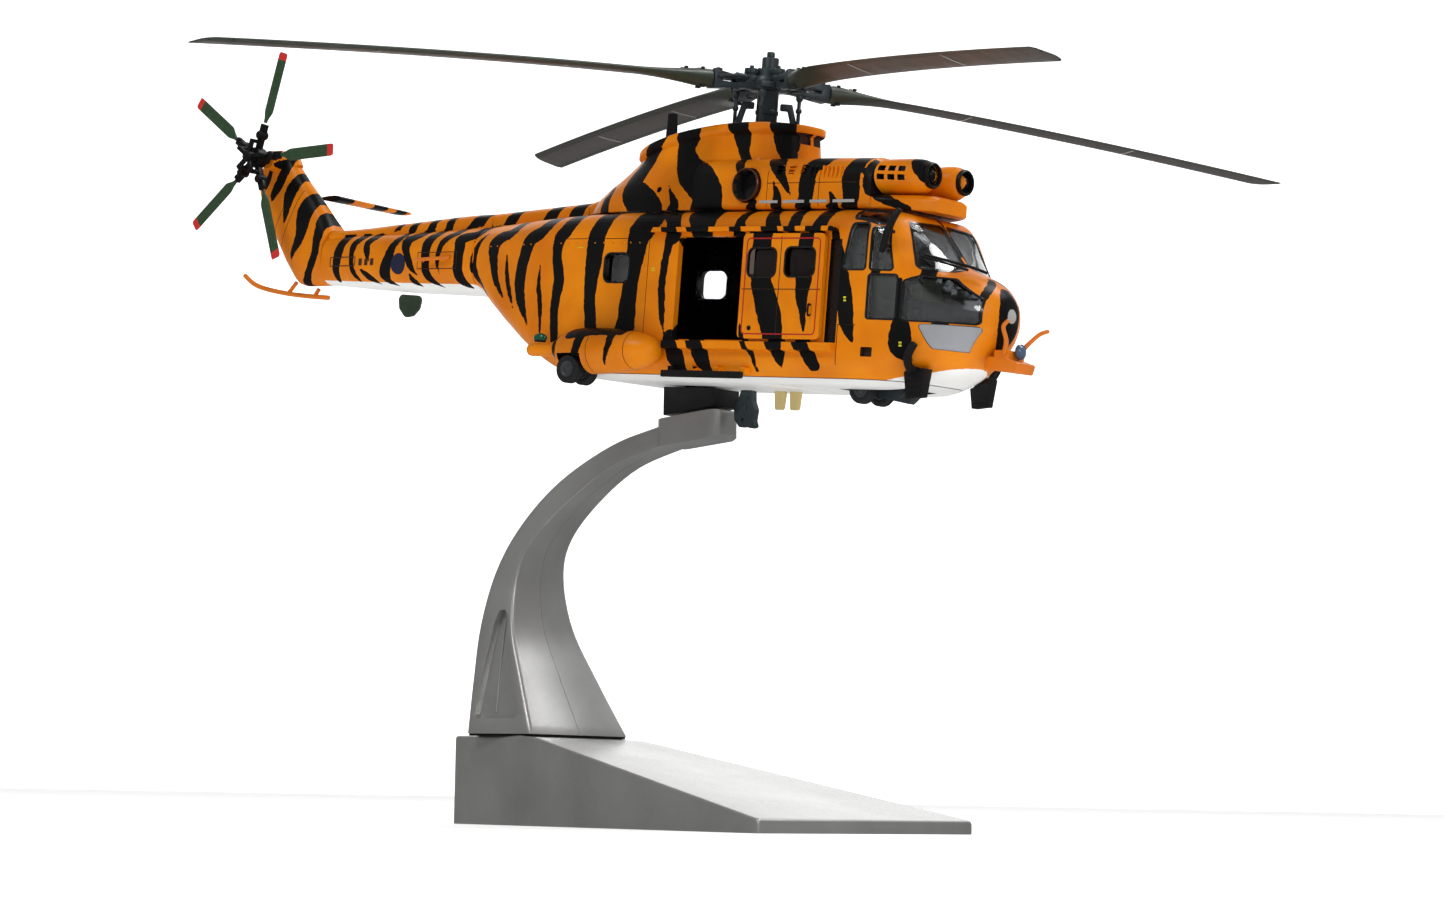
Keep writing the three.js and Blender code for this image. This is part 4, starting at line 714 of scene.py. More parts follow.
def paint_body(p):
    top = np.interp(p[:, 0], TABLE_X, TABLE[:, 1])
    uv = unrolled(p)
    tiger = painted(uv, BODY_STRIPES)
    folded = np.column_stack([p[:, 0], np.abs(p[:, 1]), p[:, 2]])
    nose = p[:, 0] > NOSE_FROM
    tiger[nose] = np.maximum(tiger[nose], painted(folded[nose], NOSE_STRIPES))
    spine = (np.abs(p[:, 1]) < 3.9) & (p[:, 2] > top + 0.02) & (p[:, 0] < SPINE_UNTIL)
    tiger[spine] = painted(p[spine][:, [0, 2]], SPINE_STRIPES)
    edge = np.interp(p[:, 0], *zip(*WHITE_EDGE))
    white = np.where(p[:, 0] < 36, edge - uv[:, 1], edge - p[:, 2])
    return {"tiger": tiger, "white": white}


def paint_plain(stripes):
    return lambda p: no_white(p, painted(p[:, (0, 2)], stripes))


def paint_cowl(p):
    deck = (p[:, 0] > 11.8) & (p[:, 2] > -18)
    uv = p[:, [0, 2]].copy()
    uv[deck, 1] += np.maximum(11.3 - np.abs(p[deck, 1]) - 2.5, 0)
    tiger = painted(uv, COWL_STRIPES)
    tiger[(p[:, 0] > 10.4) & (p[:, 2] > -13.95)] = FAR_OUTSIDE
    return no_white(p, tiger)


def paint_nacelle(p):
    tiger = painted(p[:, [0, 2]], NACELLE_STRIPES)
    return no_white(p, np.where(np.abs(p[:, 1]) > 4.2, tiger, FAR_OUTSIDE))


def paint_stabilizer(p):
    y = np.abs(p[:, 1]) + 0.12 * (p[:, 0] + 111)
    return no_white(p, np.max([np.minimum(y - a, b - y) for a, b in TAILPLANE_BANDS], axis=0))


# ------------------------------------------------------------------ finished pieces


def densify(bm, length, rounds=12, wanted=lambda e: True):
    """Splits long edges until painted marks can follow the surface."""
    bmesh.ops.triangulate(bm, faces=bm.faces)
    for _ in range(rounds):
        long = [e for e in bm.edges if e.calc_length() > length and wanted(e)]
        if not long:
            break
        bmesh.ops.subdivide_edges(bm, edges=long, cuts=1)
        bmesh.ops.triangulate(bm, faces=[f for f in bm.faces if len(f.verts) > 3])


def piece(
    name, o, mats, body="airframe", replaces=(), slot="orange_paint", bevel=0.0, segments=2, dense=0.0,
    paint=None, sharp=33.0, to=TO_ROW, attributes=None,
):
    """Turns a working shape into a named, finished piece of the object that rides on a body."""
    mats = mats if isinstance(mats, (list, tuple)) else [mats]
    if not len(o.data.materials):
        for m in mats:
            o.data.materials.append(m)
    elif o.data.materials[0] is None:
        o.data.materials[0] = mats[0]
    if bevel:
        m = o.modifiers.new("bevel", "BEVEL")
        m.width, m.segments = bevel, segments
        m.limit_method, m.angle_limit = "ANGLE", math.radians(40)
        m.use_clamp_overlap = True
        bpy.context.view_layer.update()
        mesh = bpy.data.meshes.new_from_object(o.evaluated_get(bpy.context.evaluated_depsgraph_get()))
        o.modifiers.clear()
        old, o.data = o.data, mesh
        bpy.data.meshes.remove(old)
    mesh = o.data
    bm = bmesh.new()
    bm.from_mesh(mesh)
    bmesh.ops.remove_doubles(bm, verts=bm.verts, dist=2e-4)
    if dense:
        densify(bm, dense)
    for f in bm.faces:
        f.smooth = True
    limit = math.radians(sharp)
    for e in bm.edges:
        e.smooth = len(e.link_faces) == 2 and e.calc_face_angle(0) < limit
    bm.to_mesh(mesh)
    bm.free()
    p = np.zeros(len(mesh.vertices) * 3, np.float32)
    mesh.vertices.foreach_get("co", p)
    p = p.reshape(-1, 3).astype(float)
    values = dict(paint(p) if paint else {}, **(attributes(p) if attributes else {}))
    for key, v in values.items():
        a = mesh.attributes.new(key, "FLOAT", "POINT")
        a.data.foreach_set("value", np.asarray(v, np.float32))
    mesh.transform(to)
    mesh.name = name
    o.name = name
    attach(o, body)
    for n in replaces:
        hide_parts(n)


def side_piece(name, side, o, mats, node=None, **more):
    """A piece that is drawn for the port side and finished for either side."""
    replaces = [f"{node}_{side}"] if node else []
    piece(f"{name}_{side}", on_side(o, dict(SIDES)[side]), mats, replaces=replaces, **more)


# ------------------------------------------------------------------ materials


class Paint:
    """A Principled material and short calls for its nodes."""

    def __init__(self, name, color, rough=0.45, metal=0.0, **sockets):
        self.mat = bpy.data.materials.new(name)
        self.mat.use_nodes = True
        self.tree = self.mat.node_tree
        self.bsdf = self.tree.nodes["Principled BSDF"]
        self.bsdf.inputs["Base Color"].default_value = (*color, 1)
        self.bsdf.inputs["Roughness"].default_value = rough
        self.bsdf.inputs["Metallic"].default_value = metal
        for key, v in sockets.items():
            self.bsdf.inputs[key.replace("_", " ")].default_value = v
        coords = self.tree.nodes.new("ShaderNodeTexCoord")
        scaled = self.tree.nodes.new("ShaderNodeMapping")
        scaled.inputs["Scale"].default_value = (1000, 1000, 1000)
        self.tree.links.new(coords.outputs["Object"], scaled.inputs["Vector"])
        self.mm = scaled.outputs["Vector"]

    def put(self, value, socket):
        if isinstance(value, bpy.types.NodeSocket):
            self.tree.links.new(value, socket)
        else:
            socket.default_value = value

    def set(self, name, value):
        self.put(value, self.bsdf.inputs[name])
        return self

    def math(self, op, a, b=0.0):
        n = self.tree.nodes.new("ShaderNodeMath")
        n.operation = op
        for s, v in zip(n.inputs, (a, b)):
            self.put(v, s)
        return n.outputs[0]

    def times(self, a, b):
        return self.math("MULTIPLY", a, b)

    def above(self, a, b):
        return self.math("GREATER_THAN", a, b)

    def near(self, value, middle, reach):
        """One within reach of the middle, otherwise zero."""
        return self.math("LESS_THAN", self.math("ABSOLUTE", self.math("SUBTRACT", value, middle)), reach)

    def grey(self, value, a, b, low=0.3, high=0.7):
        """Maps a noise value to a number between a and b."""
        n = self.tree.nodes.new("ShaderNodeMapRange")
        for key, v in zip(("Value", "From Min", "From Max", "To Min", "To Max"), (value, low, high, a, b)):
            self.put(v, n.inputs[key])
        return n.outputs["Result"]

    def mix(self, fac, a, b):
        n = self.tree.nodes.new("ShaderNodeMix")
        n.data_type = "RGBA"
        self.put(fac, n.inputs[0])
        for s, v in ((n.inputs[6], a), (n.inputs[7], b)):
            self.put((*v, 1) if isinstance(v, tuple) and len(v) == 3 else v, s)
        return n.outputs[2]

    def noise(self, scale, detail=3.0, rough=0.5, stretch=None):
        vector = self.mm
        if stretch:
            m = self.tree.nodes.new("ShaderNodeMapping")
            m.inputs["Scale"].default_value = stretch
            self.tree.links.new(vector, m.inputs["Vector"])
            vector = m.outputs["Vector"]
        n = self.tree.nodes.new("ShaderNodeTexNoise")
        n.inputs["Scale"].default_value = scale
        n.inputs["Detail"].default_value = detail
        n.inputs["Roughness"].default_value = rough
        self.tree.links.new(vector, n.inputs["Vector"])
        return n.outputs["Fac"]

    def voronoi(self, scale):
        n = self.tree.nodes.new("ShaderNodeTexVoronoi")
        n.inputs["Scale"].default_value = scale
        self.tree.links.new(self.mm, n.inputs["Vector"])
        return n.outputs["Distance"]

    def attribute(self, name):
        n = self.tree.nodes.new("ShaderNodeAttribute")
        n.attribute_name = name
        return n.outputs["Fac"]

    def bump(self, height, strength=0.3, distance=0.00005):
        n = self.tree.nodes.new("ShaderNodeBump")
        n.inputs["Strength"].default_value = strength
        n.inputs["Distance"].default_value = distance
        self.put(height, n.inputs["Height"])
        self.tree.links.new(n.outputs["Normal"], self.bsdf.inputs["Normal"])
        return self

    def skin(self, base, vary=0.12, rough=(0.38, 0.5), grain=5.0, strength=0.25):
        """Moulded, spray-painted surface: slight colour drift, uneven gloss and fine grain."""
        drift = self.noise(0.12, 4)
        low = tuple(c * (1 - vary) for c in base)
        self.set("Base Color", self.mix(self.grey(drift, 0, 1), low, base))
        self.set("Roughness", self.grey(self.noise(0.5, 5), *rough))
        self.bump(self.noise(grain, 3, 0.6), strength)
        return self


def tiger_paint():
    m = Paint("tiger_livery", (0.9, 0.3, 0.012), 0.4)
    ragged = m.times(m.math("SUBTRACT", m.noise(0.9, 3), 0.5), 0.55)
    black = m.above(m.math("ADD", m.attribute("tiger"), ragged), 0.0)
    white = m.above(m.math("ADD", m.attribute("white"), m.times(ragged, 0.3)), 0.0)
    drift = m.grey(m.noise(0.1, 4), 0, 1)
    orange = m.mix(drift, (0.68, 0.17, 0.001), (0.85, 0.255, 0.002))
    ink = m.mix(drift, (0.004, 0.004, 0.004), (0.008, 0.0075, 0.0075))
    cream = m.mix(drift, (0.84, 0.84, 0.81), (0.92, 0.92, 0.90))
    # White first, so that stripe ends still run out over it.
    color = m.mix(black, m.mix(white, orange, cream), ink)
    speck = m.above(m.noise(2.6, 2, 0.7), 0.76)
    m.set("Base Color", m.mix(m.times(speck, 0.35), color, (0.12, 0.07, 0.04)))
    m.set("Roughness", m.math("ADD", m.grey(m.noise(0.45, 5), 0.30, 0.42), m.times(black, 0.02)))
    m.set("Specular IOR Level", m.grey(black, 0.2, 0.12, 0.0, 1.0))
    m.bump(m.noise(4.5, 3, 0.6), 0.22)
    return m.mat


def silver_paint():
    m = Paint("stand_silver", (0.4, 0.4, 0.39), 0.38, 0.72, Coat_Weight=0.7, Coat_Roughness=0.22)
    flake = m.voronoi(5.5)
    drift = m.noise(0.06, 4)
    base = m.mix(m.grey(drift, 0, 1), (0.34, 0.34, 0.33), (0.46, 0.46, 0.45))
    m.set("Base Color", m.mix(m.grey(flake, 0.5, 0, 0.02, 0.3), base, (0.62, 0.62, 0.61)))
    m.set("Roughness", m.grey(m.noise(1.6, 6, 0.7), 0.3, 0.5))
    m.bump(m.math("ADD", m.noise(3.2, 4, 0.7), m.times(flake, 0.4)), 0.35)
    return m.mat


MARK_ROUGH, SATIN_ROUGH, LENS_ROUGH = (0.4, 0.5), (0.38, 0.5), (0.08, 0.16)
DULL = {"Specular_IOR_Level": 0.25}


def simple(name, base, rough=SATIN_ROUGH, vary=0.14, grain=5.0, strength=0.25, metal=0.0, **sockets):
    return Paint(name, base, rough[0], metal, **sockets).skin(base, vary, rough, grain, strength).mat


def glass(name, tint, rough=0.03):
    m = Paint(name, tint, rough, 0.0, Transmission_Weight=1.0, IOR=1.46)
    m.set("Roughness", m.grey(m.noise(0.4, 4), rough, rough + 0.05))
    m.bump(m.noise(0.3, 2), 0.04)
    return m.mat


def blade_paint():
    """Dark green above, grey-brown below with a dark outline, from blade radius and chord."""
    m = Paint("rotor_blade", (0.05, 0.07, 0.04), 0.5)
    low = m.above(m.attribute("under"), 0.5)
    chord, radius = m.attribute("chord"), m.attribute("radius")
    streak = m.noise(0.9, 6, 0.7, stretch=(0.25, 0.25, 1))
    green = m.mix(m.grey(streak, 0, 1), (0.022, 0.034, 0.022), (0.040, 0.056, 0.036))
    grey = m.mix(m.grey(streak, 0, 1), (0.048, 0.043, 0.038), (0.088, 0.080, 0.072))
    outboard = m.above(radius, 24.0)
    front_edge, rear_edge, tip_edge = 1.75, -3.6, 98.5
    rims = m.math("MAXIMUM", m.near(chord, front_edge, 0.14), m.near(chord, rear_edge, 0.14))
    rims = m.math("MAXIMUM", rims, m.near(radius, tip_edge, 0.16))
    lines = m.times(m.times(rims, outboard), low)
    seam = m.near(m.math("MODULO", radius, 19.0), 9.0, 0.09)
    in_span = m.times(m.above(chord, rear_edge), m.math("LESS_THAN", chord, front_edge))
    lines = m.math("MAXIMUM", lines, m.times(m.times(seam, outboard), in_span))
    root = m.math("LESS_THAN", radius, 26.5)
    inner = m.times(low, m.math("SUBTRACT", 1.0, m.times(root, 0.8)))
    inner = m.times(inner, m.math("ADD", m.times(in_span, 0.6), 0.4))
    base = m.mix(inner, green, grey)
    m.set("Base Color", m.mix(m.times(lines, 0.8), base, (0.012, 0.014, 0.012)))
    m.set("Roughness", m.grey(streak, 0.34, 0.52))
    m.bump(m.math("SUBTRACT", m.times(m.noise(4, 3), 0.5), lines), 0.35)
    return m.mat


def tail_blade_paint():
    m = Paint("tail_blade", (0.02, 0.06, 0.02), 0.45)
    radius = m.attribute("radius")
    streak = m.noise(1.4, 5, 0.6)
    green = m.mix(m.grey(streak, 0, 1), (0.020, 0.052, 0.020), (0.034, 0.080, 0.032))
    tip = m.above(m.math("ADD", radius, m.times(m.noise(1.5, 2), 0.25)), 19.75)
    m.set("Base Color", m.mix(tip, green, (0.62, 0.022, 0.018)))
    m.set("Roughness", m.grey(streak, 0.36, 0.5))
    m.bump(m.noise(5, 3), 0.2)
    return m.mat


TIGER = tiger_paint()
SILVER = silver_paint()
ORANGE = simple("orange_paint", (0.78, 0.19, 0.002), (0.30, 0.42), 0.12)
WHITE = simple("belly_white", (0.86, 0.86, 0.84), (0.3, 0.45), 0.06)
BLACK = simple("black_paint", (0.006, 0.006, 0.007), (0.36, 0.5), 0.3, **DULL)
SATIN = simple("black_plastic", (0.010, 0.010, 0.011), (0.4, 0.55), 0.25, 7.0, 0.4, **DULL)
CABIN = simple("cabin_black", (0.006, 0.005, 0.005), (0.22, 0.4), 0.3, 3.0, 0.3)
RUBBER = simple("tyre_rubber", (0.022, 0.023, 0.025), (0.6, 0.78), 0.25, 6.0, 0.5, **DULL)
WHEEL = simple("wheel_grey", (0.055, 0.063, 0.068), (0.35, 0.5), 0.2)
HEAD = simple("rotor_head_grey", (0.036, 0.050, 0.056), (0.34, 0.5), 0.3, 4.0, 0.35, 0.25)
HEAD_DARK = simple("rotor_head_dark", (0.020, 0.026, 0.026), (0.35, 0.5), 0.3, 4.0, 0.35, 0.2)
GREEN = simple("aerial_green", (0.030, 0.052, 0.026), (0.38, 0.55), 0.2)
CREAM = simple("cream_plastic", (0.62, 0.49, 0.20), (0.4, 0.55), 0.12)
OLIVE = simple("crew_olive", (0.26, 0.38, 0.11), (0.6, 0.8), 0.35, 2.5, 0.6)
VISOR = simple("visor_black", (0.02, 0.02, 0.02), (0.12, 0.2), 0.1)
SKIN_TONE = simple("face_plain", (0.45, 0.28, 0.19), (0.5, 0.6), 0.1)
SEAM = simple("seam_shadow", (0.045, 0.016, 0.004), (0.6, 0.7), 0.2)
VENT = simple("vent_shadow", (0.055, 0.020, 0.006), (0.55, 0.7), 0.3)
RED = simple("red_line", (0.45, 0.010, 0.008), MARK_ROUGH, 0.1)
YELLOW = simple("yellow_mark", (0.72, 0.66, 0.02), MARK_ROUGH, 0.1)
PALE = simple("pale_mark", (0.42, 0.42, 0.41), MARK_ROUGH, 0.08)
INK = simple("dark_mark", (0.05, 0.02, 0.01), (0.45, 0.55), 0.15)
NAVY = simple("navy_mark", (0.012, 0.014, 0.055), MARK_ROUGH, 0.15)
BRONZE = simple("exhaust_bronze", (0.20, 0.085, 0.045), (0.28, 0.42), 0.4, 4.0, 0.3, 0.75)
# Near-black for the sooty inside of the exhausts, and painted shade inside the intakes, the nacelle vents and
# the tailpipe sockets.
SOOT_AND_HOLE_SHADE = simple("soot_and_hole_shade", (0.006, 0.006, 0.006), (0.6, 0.75), 0.3)
CHROME = simple("window_trim", (0.012, 0.012, 0.013), (0.10, 0.2), 0.2, 4.0, 0.15)
GLASS = glass("smoked_glass", (0.55, 0.56, 0.57))
CLEAR = glass("clear_glass", (0.82, 0.84, 0.86))
DOOR_GLASS = glass("door_glass", (0.075, 0.060, 0.050))
# The chin pane is a pale, nearly opaque grey: painted light for the brightness seen through the clear pane.
CHIN = simple("chin_glass_painted_light", (0.42, 0.43, 0.46), (0.12, 0.22), 0.2, 0.6, 0.04, Transmission_Weight=0.1)
EYEBROW = glass("roof_glass", (0.36, 0.15, 0.09), 0.06)
NAV_GREEN = simple("nav_green", (0.008, 0.085, 0.045), LENS_ROUGH, 0.2, 3.0, 0.1)
NAV_RED = simple("nav_red", (0.30, 0.010, 0.008), LENS_ROUGH, 0.2, 3.0, 0.1)
LAMP = simple("lamp_blue", (0.085, 0.135, 0.225), (0.16, 0.26), 0.3, 3.0, 0.2)
BLADE = blade_paint()
TAIL_BLADE = tail_blade_paint()

# ------------------------------------------------------------------ fuselage
SPAN = 20
AFT_WINDOW = rect(-22.8, -36.2, -17.2, -31.3, 1.2)
SIDE_WINDOWS = [
    fillet([(30.6, -33.9), (32.1, -26.3), (35.1, -26.2), (35, -33.9)], 0.5),
    fillet([(36.1, -33.9), (36.1, -26.9), (38.9, -26.9), (40.2, -33.9)], 0.4),
    fillet([(36, -42.1), (36, -34.9), (41.1, -34.9), (41.1, -42.1)], 0.4),
]
NOSE_LOWER = fillet(
    [(42.3, -42.2), (42.3, -35.9), (44.5, -34.9), (48.6, -34.9), (53.6, -38.2), (53.6, -42.2)], 0.6,
)
CHIN_WINDOW = fillet([(44.9, -42.75), (54.3, -42.6), (51.5, -47), (47.2, -46.8)], 0.5)
WINDSCREEN = fillet([(-10.6, -33.4), (-9, -25.7), (-0.7, -25.3), (-0.7, -32.2), (-5, -33.2)], 0.5)
EYEBROWS = fillet([(31.8, 10.2), (37.6, 9.8), (37.6, 12.6), (31.8, 12.9)], 0.3)


# Seams on the flank: x from, x to, z from, z to.
BODY_SEAMS = (
    (-33, -12.6, -28.62, -28.5), (30.3, 36, -43.4, -43.26), (30.3, 30.44, -51.9, -43.3),
    (-12.8, -12.68, -47.5, -28.6), (-12.8, -7.4, -47.5, -47.38),
)
MAIN_WELL = (-29, -21.6, 12.6, SPAN, -60, -48.2)
AFT_PANE = rect(-23.6, -37, -16.4, -30.5, 1.2)
SASH_X, CHIN_TOP, ROOF_FROM = 39.3, -42.75, -26.3


def grow(outline, d):
    """An outline moved outwards by d."""
    p = np.asarray(outline, float)
    a, b = np.roll(p, 1, axis=0), np.roll(p, -1, axis=0)
    u, v = p - a, b - p
    u /= np.linalg.norm(u, axis=1)[:, None] + 1e-12
    v /= np.linalg.norm(v, axis=1)[:, None] + 1e-12
    n = np.column_stack([(u + v)[:, 1], -(u + v)[:, 0]])
    n /= np.linalg.norm(n, axis=1)[:, None] + 1e-12
    area = np.sum(p[:, 0] * b[:, 1] - b[:, 0] * p[:, 1])
    return [tuple(q) for q in p + n * (d if area > 0 else -d)]


def body_outer(inset=0.0, corner=9, mat=None):
    return lofted(BODY, BODY_X, inset, corner, mat)


def body_inner(inset, corner=7, mat=None):
    return lofted(BODY, INNER_X, inset, corner, mat)


def window_tools(d=0.0, mat=None, chin=True):
    """Bodies that reach through every cockpit window, grown outwards by d."""
    tools = [prism(grow(o, d), "y", -SPAN, SPAN, mat) for o in SIDE_WINDOWS + [AFT_WINDOW]]
    for _, s in SIDES:
        tools.append(on_side(prism(grow(NOSE_LOWER, d), "y", 3.6 - d, SPAN, mat), s))
        if chin:
            tools.append(on_side(prism(grow(CHIN_WINDOW, d), "y", 2.4 - d, SPAN, mat), s))
        tools.append(on_side(prism(grow(WINDSCREEN, d), "x", 38.4, 60, mat), -s))
        tools.append(on_side(prism(grow(EYEBROWS, d), "z", -26.4, -20, mat), s))
    return tools


def fuselage():
    """The hollow tiger-striped body with its openings, the belly plate and all the window panes."""
    shell = cut(
        body_outer(mat=TIGER),
        body_inner(SKIN, mat=CABIN),
        box(-46, 50, -SPAN, SPAN, -60, PAN_TOP),
        prism(rect(-5.98, -46.2, 11.5, -28.3, 0.8), "y", -SPAN, SPAN),
        *window_tools(mat=CABIN),
    )
    spine = lofted(
        [(-60.3, 3.8, -22.2, -26.2, 2.6, 1.6, 0.5, 0.5), (-36.8, 3.8, -20.4, -26.2, 2.6, 1.6, 0.5, 0.5)],
        [-60.3, -36.8], 0, 9, TIGER,
    )
    fuse(shell, cut(spine, body_inner(0.6)))
    for _, s in SIDES:
        rail = box(-12.4, 29, 13.6, 15.3, -27.6, -26.8, TIGER)
        ledge = prism([(13.4, -48.2), (15.2, -47.8), (15.2, -46.5), (13.4, -46.5)], "x", -7.4, 30, TIGER)
        fuse(shell, on_side(rail, s), on_side(ledge, s))
        for x in (-5.2, -0.6, 5, 10.9):
            fuse(shell, on_side(box(x - 0.6, x + 0.6, 13.2, 14.7, -52, -50.9, TIGER), s))
        # The slot just ahead of the door's front edge is lined in cabin black: painted shade for its depth.
        cut(
            shell, on_side(box(27.7, 30.1, 13.45, SPAN, -46.4, -28.9, CABIN), s),
            on_side(box(*MAIN_WELL, CABIN), s),
        )
        # Panel seams, the cockpit door's outline and the step socket.
        for x0, x1, z0, z1 in BODY_SEAMS:
            cut(shell, on_side(box(x0, x1, 13.8, SPAN, z0, z1, SEAM), s))
        cut(shell, on_side(prism(rect(35.3, -48.6, 37.5, -47, 0.2, 3), "y", 12.8, SPAN, VENT), s))
    cut(shell, box(24, 38.2, -4.6, 4.6, -60, -50.6, CABIN))
    piece(
        "fuselage_skin", shell, TIGER, replaces=["fuselage_shell"], bevel=0.07, dense=0.85,
        paint=paint_body,
    )

    pan = clip(body_outer(mat=WHITE), box(-45.8, 49.8, -SPAN, SPAN, -60, PAN_TOP - 0.12, WHITE))
    for _, s in SIDES:
        cut(pan, on_side(box(*MAIN_WELL, CABIN), s))
    peg = box(2.5, 8.1, -2.1, 2.1, 60, 90, CABIN)
    peg.data.transform(ROW_TO_H)
    cut(pan, peg, box(24, 38.2, -4.6, 4.6, -60, -50, CABIN))
    for x in (-34, -14, 16, 40):
        cut(pan, box(x, x + 0.14, -11, 11, -54, -53.32, SEAM))
    piece("belly_plate", pan, WHITE, replaces=["belly_pan"], slot="white_paint", bevel=0.07, segments=2)

    # Thin glossy frames round the windows.
    frames = cut(body_outer(-0.07, mat=CHROME), body_inner(0.5, mat=CHROME))
    grown = window_tools(0.3, CHROME, chin=False)
    clip(frames, fuse(*grown))
    cut(frames, *window_tools(0.0, CHROME, chin=False))
    piece("window_frames", frames, CHROME, slot="black_plastic", bevel=0.03, segments=1)

    glazing = cut(body_inner(SKIN + 0.25, 9), body_inner(SKIN + 0.95, 9))
    clip(glazing, box(30.3, 60, -SPAN, SPAN, -47.6, -20))
    cut(glazing, box(20, 44.4, -SPAN, SPAN, -52, -42.7), box(30, 31.2, -9.6, 9.6, -60, -20))
    flush = fuse(*window_tools(-0.05))
    raised = clip(cut(body_outer(0.12), body_outer(0.5)), flush)
    cut(raised, box(-30, 30, -SPAN, SPAN, -60, -20))
    glazing = join(glazing, raised)
    glazing.data.materials.clear()
    for m in (GLASS, CHIN, EYEBROW):
        glazing.data.materials.append(m)
    # The moulding is parted where its look changes: tinted roof panes, and a chin part whose pale grey is
    # painted light seen through the clear pane.
    bm = bmesh.new()
    bm.from_mesh(glazing.data)
    for at, across in (((SASH_X, 0, 0), FORWARD), ((0, 0, ROOF_FROM), UP), ((0, 0, CHIN_TOP), UP)):
        everything = bm.verts[:] + bm.edges[:] + bm.faces[:]
        bmesh.ops.bisect_plane(bm, geom=everything, plane_co=at, plane_no=across)
    for f in bm.faces:
        c = f.calc_center_median()
        roof = c.z > ROOF_FROM and c.x < SASH_X
        f.material_index = 1 if c.z < CHIN_TOP else 2 if roof else 0
    bm.to_mesh(glazing.data)
    bm.free()
    piece("glazing", glazing, GLASS, replaces=["cockpit_glazing"], slot="clear_pane", sharp=45)
    for side, _ in SIDES:
        pane = prism(AFT_PANE, "y", 12.05, 12.55)
        side_piece("aft_pane", side, pane, CLEAR, node="aft_window", slot="clear_pane", bevel=0.08)


def interior():
    """What shows of the cabin through the doorways and windows."""
    tub = frame["nodes"]["cabin_tub"]
    tub.data.materials.clear()
    tub.data.materials.append(CABIN)
    # Cabin furniture: folded canvas seats on the rear wall and floor ribs.
    ribs = join(*[box(x, x + 0.7, -11.5, 11.5, -50.2, -49.9) for x in np.arange(-30, 27, 3.2)])
    piece("floor_ribs", ribs, CABIN, slot="black_plastic")
    frames = []
    for y in (-9, -3.2, 3.2, 9):
        frames.append(box(-31.9, -31.2, y - 2.3, y + 2.3, -46, -33))
        frames.append(box(-31.9, -28.4, y - 2.3, y + 2.3, -46.6, -45.7))
    piece("rear_seats", join(*frames), CABIN, slot="black_plastic", bevel=0.2)
    dial = [(0, 0), (0.55, 0), (0.55, 0.2), (0.4, 0.12), (0, 0.12)]
    dials = [turned(dial, (39.62, y, -40.2), (-1, 0, 0), 16) for y in (-5.8, -4.2, -2.6, 2.6, 4.2, 5.8)]
    panel = join(box(39.6, 40.5, -7.6, 7.6, -42.4, -38.8), *dials)
    piece("instruments", panel, CABIN, slot="black_plastic", bevel=0.05, segments=1)


SEAT_Y = 6.5
# The torso's rings from hip to neck: half depth, half width, height.
TORSO = [
    (1.9, 2.2, -42.2), (2.2, 2.7, -40), (2.2, 3.0, -37), (1.9, 3.1, -35.3), (1.3, 2.2, -34.2),
    (0.75, 0.8, -33.7), (0.7, 0.7, -31.6),
]


def crew():
    """Two generic seated figures with helmets, and their seats."""
    for side, _ in SIDES:
        parts = [
            box(30.4, 31.6, 3.6, 9.4, -49.95, -31.5),
            box(30.8, 36.4, 3.6, 9.4, -44, -42.4),
            box(31.5, 35, 5, 8, -49.95, -43),
        ]
        side_piece("seat", side, join(*parts), CABIN, node="crew", slot="crew_olive", bevel=0.3)
        body = loft([superellipse(33.6, a, b, z, 28, 2.3) for a, b, z in TORSO])
        body.data.transform(Matrix.Translation((0, SEAT_Y, 0)))
        limbs = []
        for y in (3.6, 9.4):
            elbow_to_hand = [(37, 0.8 * y + 1.3, -39.6), (39.2, 0.6 * y + 2.6, -38.9)]
            limbs.append(tube([(33.4, y, -35), (34.4, y, -38.2), *elbow_to_hand], [1.0, 0.9, 0.75, 0.6]))
        for y in (5, 8):
            limbs.append(
                tube(
                    [(33.4, y, -41.3), (36, y, -40.9), (38.6, y, -41.6), (39.2, y, -44), (39, y, -47.6)],
                    [1.2, 1.15, 1.1, 0.95, 0.7],
                )
            )
            limbs.append(box(38.2, 40.4, y - 0.75, y + 0.75, -48.6, -47.4))
        side_piece("suit", side, join(body, *limbs), OLIVE, slot="crew_olive", bevel=0.12)
        head = ball((34.3, SEAT_Y, -30.4), 1.5, 1.35, 1.75, 24)
        side_piece("face", side, head, SKIN_TONE, slot="crew_olive")
        helmet = cut(
            ball((34.05, SEAT_Y, -29.6), 2.0, 1.85, 1.95, 28), box(34.9, 37, 4, 9, -32, -30.4),
            box(31, 37, 4, 9, -33, -31),
        )
        ears = [ball((34.1, SEAT_Y + d * 1.75, -30.3), 0.8, 0.4, 0.9, 16) for d in (-1, 1)]
        side_piece("helmet", side, join(helmet, *ears), OLIVE, slot="crew_olive", bevel=0.08)
        visor = clip(
            cut(
                ball((34.2, SEAT_Y, -29.8), 2.02, 1.8, 1.7, 24),
                ball((34.1, SEAT_Y, -29.8), 1.85, 1.65, 1.6, 24),
            ),
            box(34.7, 37, 4, 9, -30.4, -28.9),
        )
        side_piece("visor", side, visor, VISOR, slot="crew_olive")


DOOR_Y, DOOR_THICK = 14.28, 0.9
DOOR_PANEL = rect(9.54, -46, 27.31, -28, 0.9)
DOOR_WINDOWS = [rect(10.95, -35.4, 16.95, -30.6, 1.1), rect(19.05, -35.3, 25.35, -30.5, 1.1)]
DOOR_GLAZING = rect(10.5, -35.8, 25.8, -30.1, 1.1)
DOOR_GROOVES = ((17.9, 18.02, -45.4, -28.5), (9.9, 27, -37.6, -37.48))
DOOR_LINE = rect(10.35, -45.3, 26.5, -28.75, 0.8)


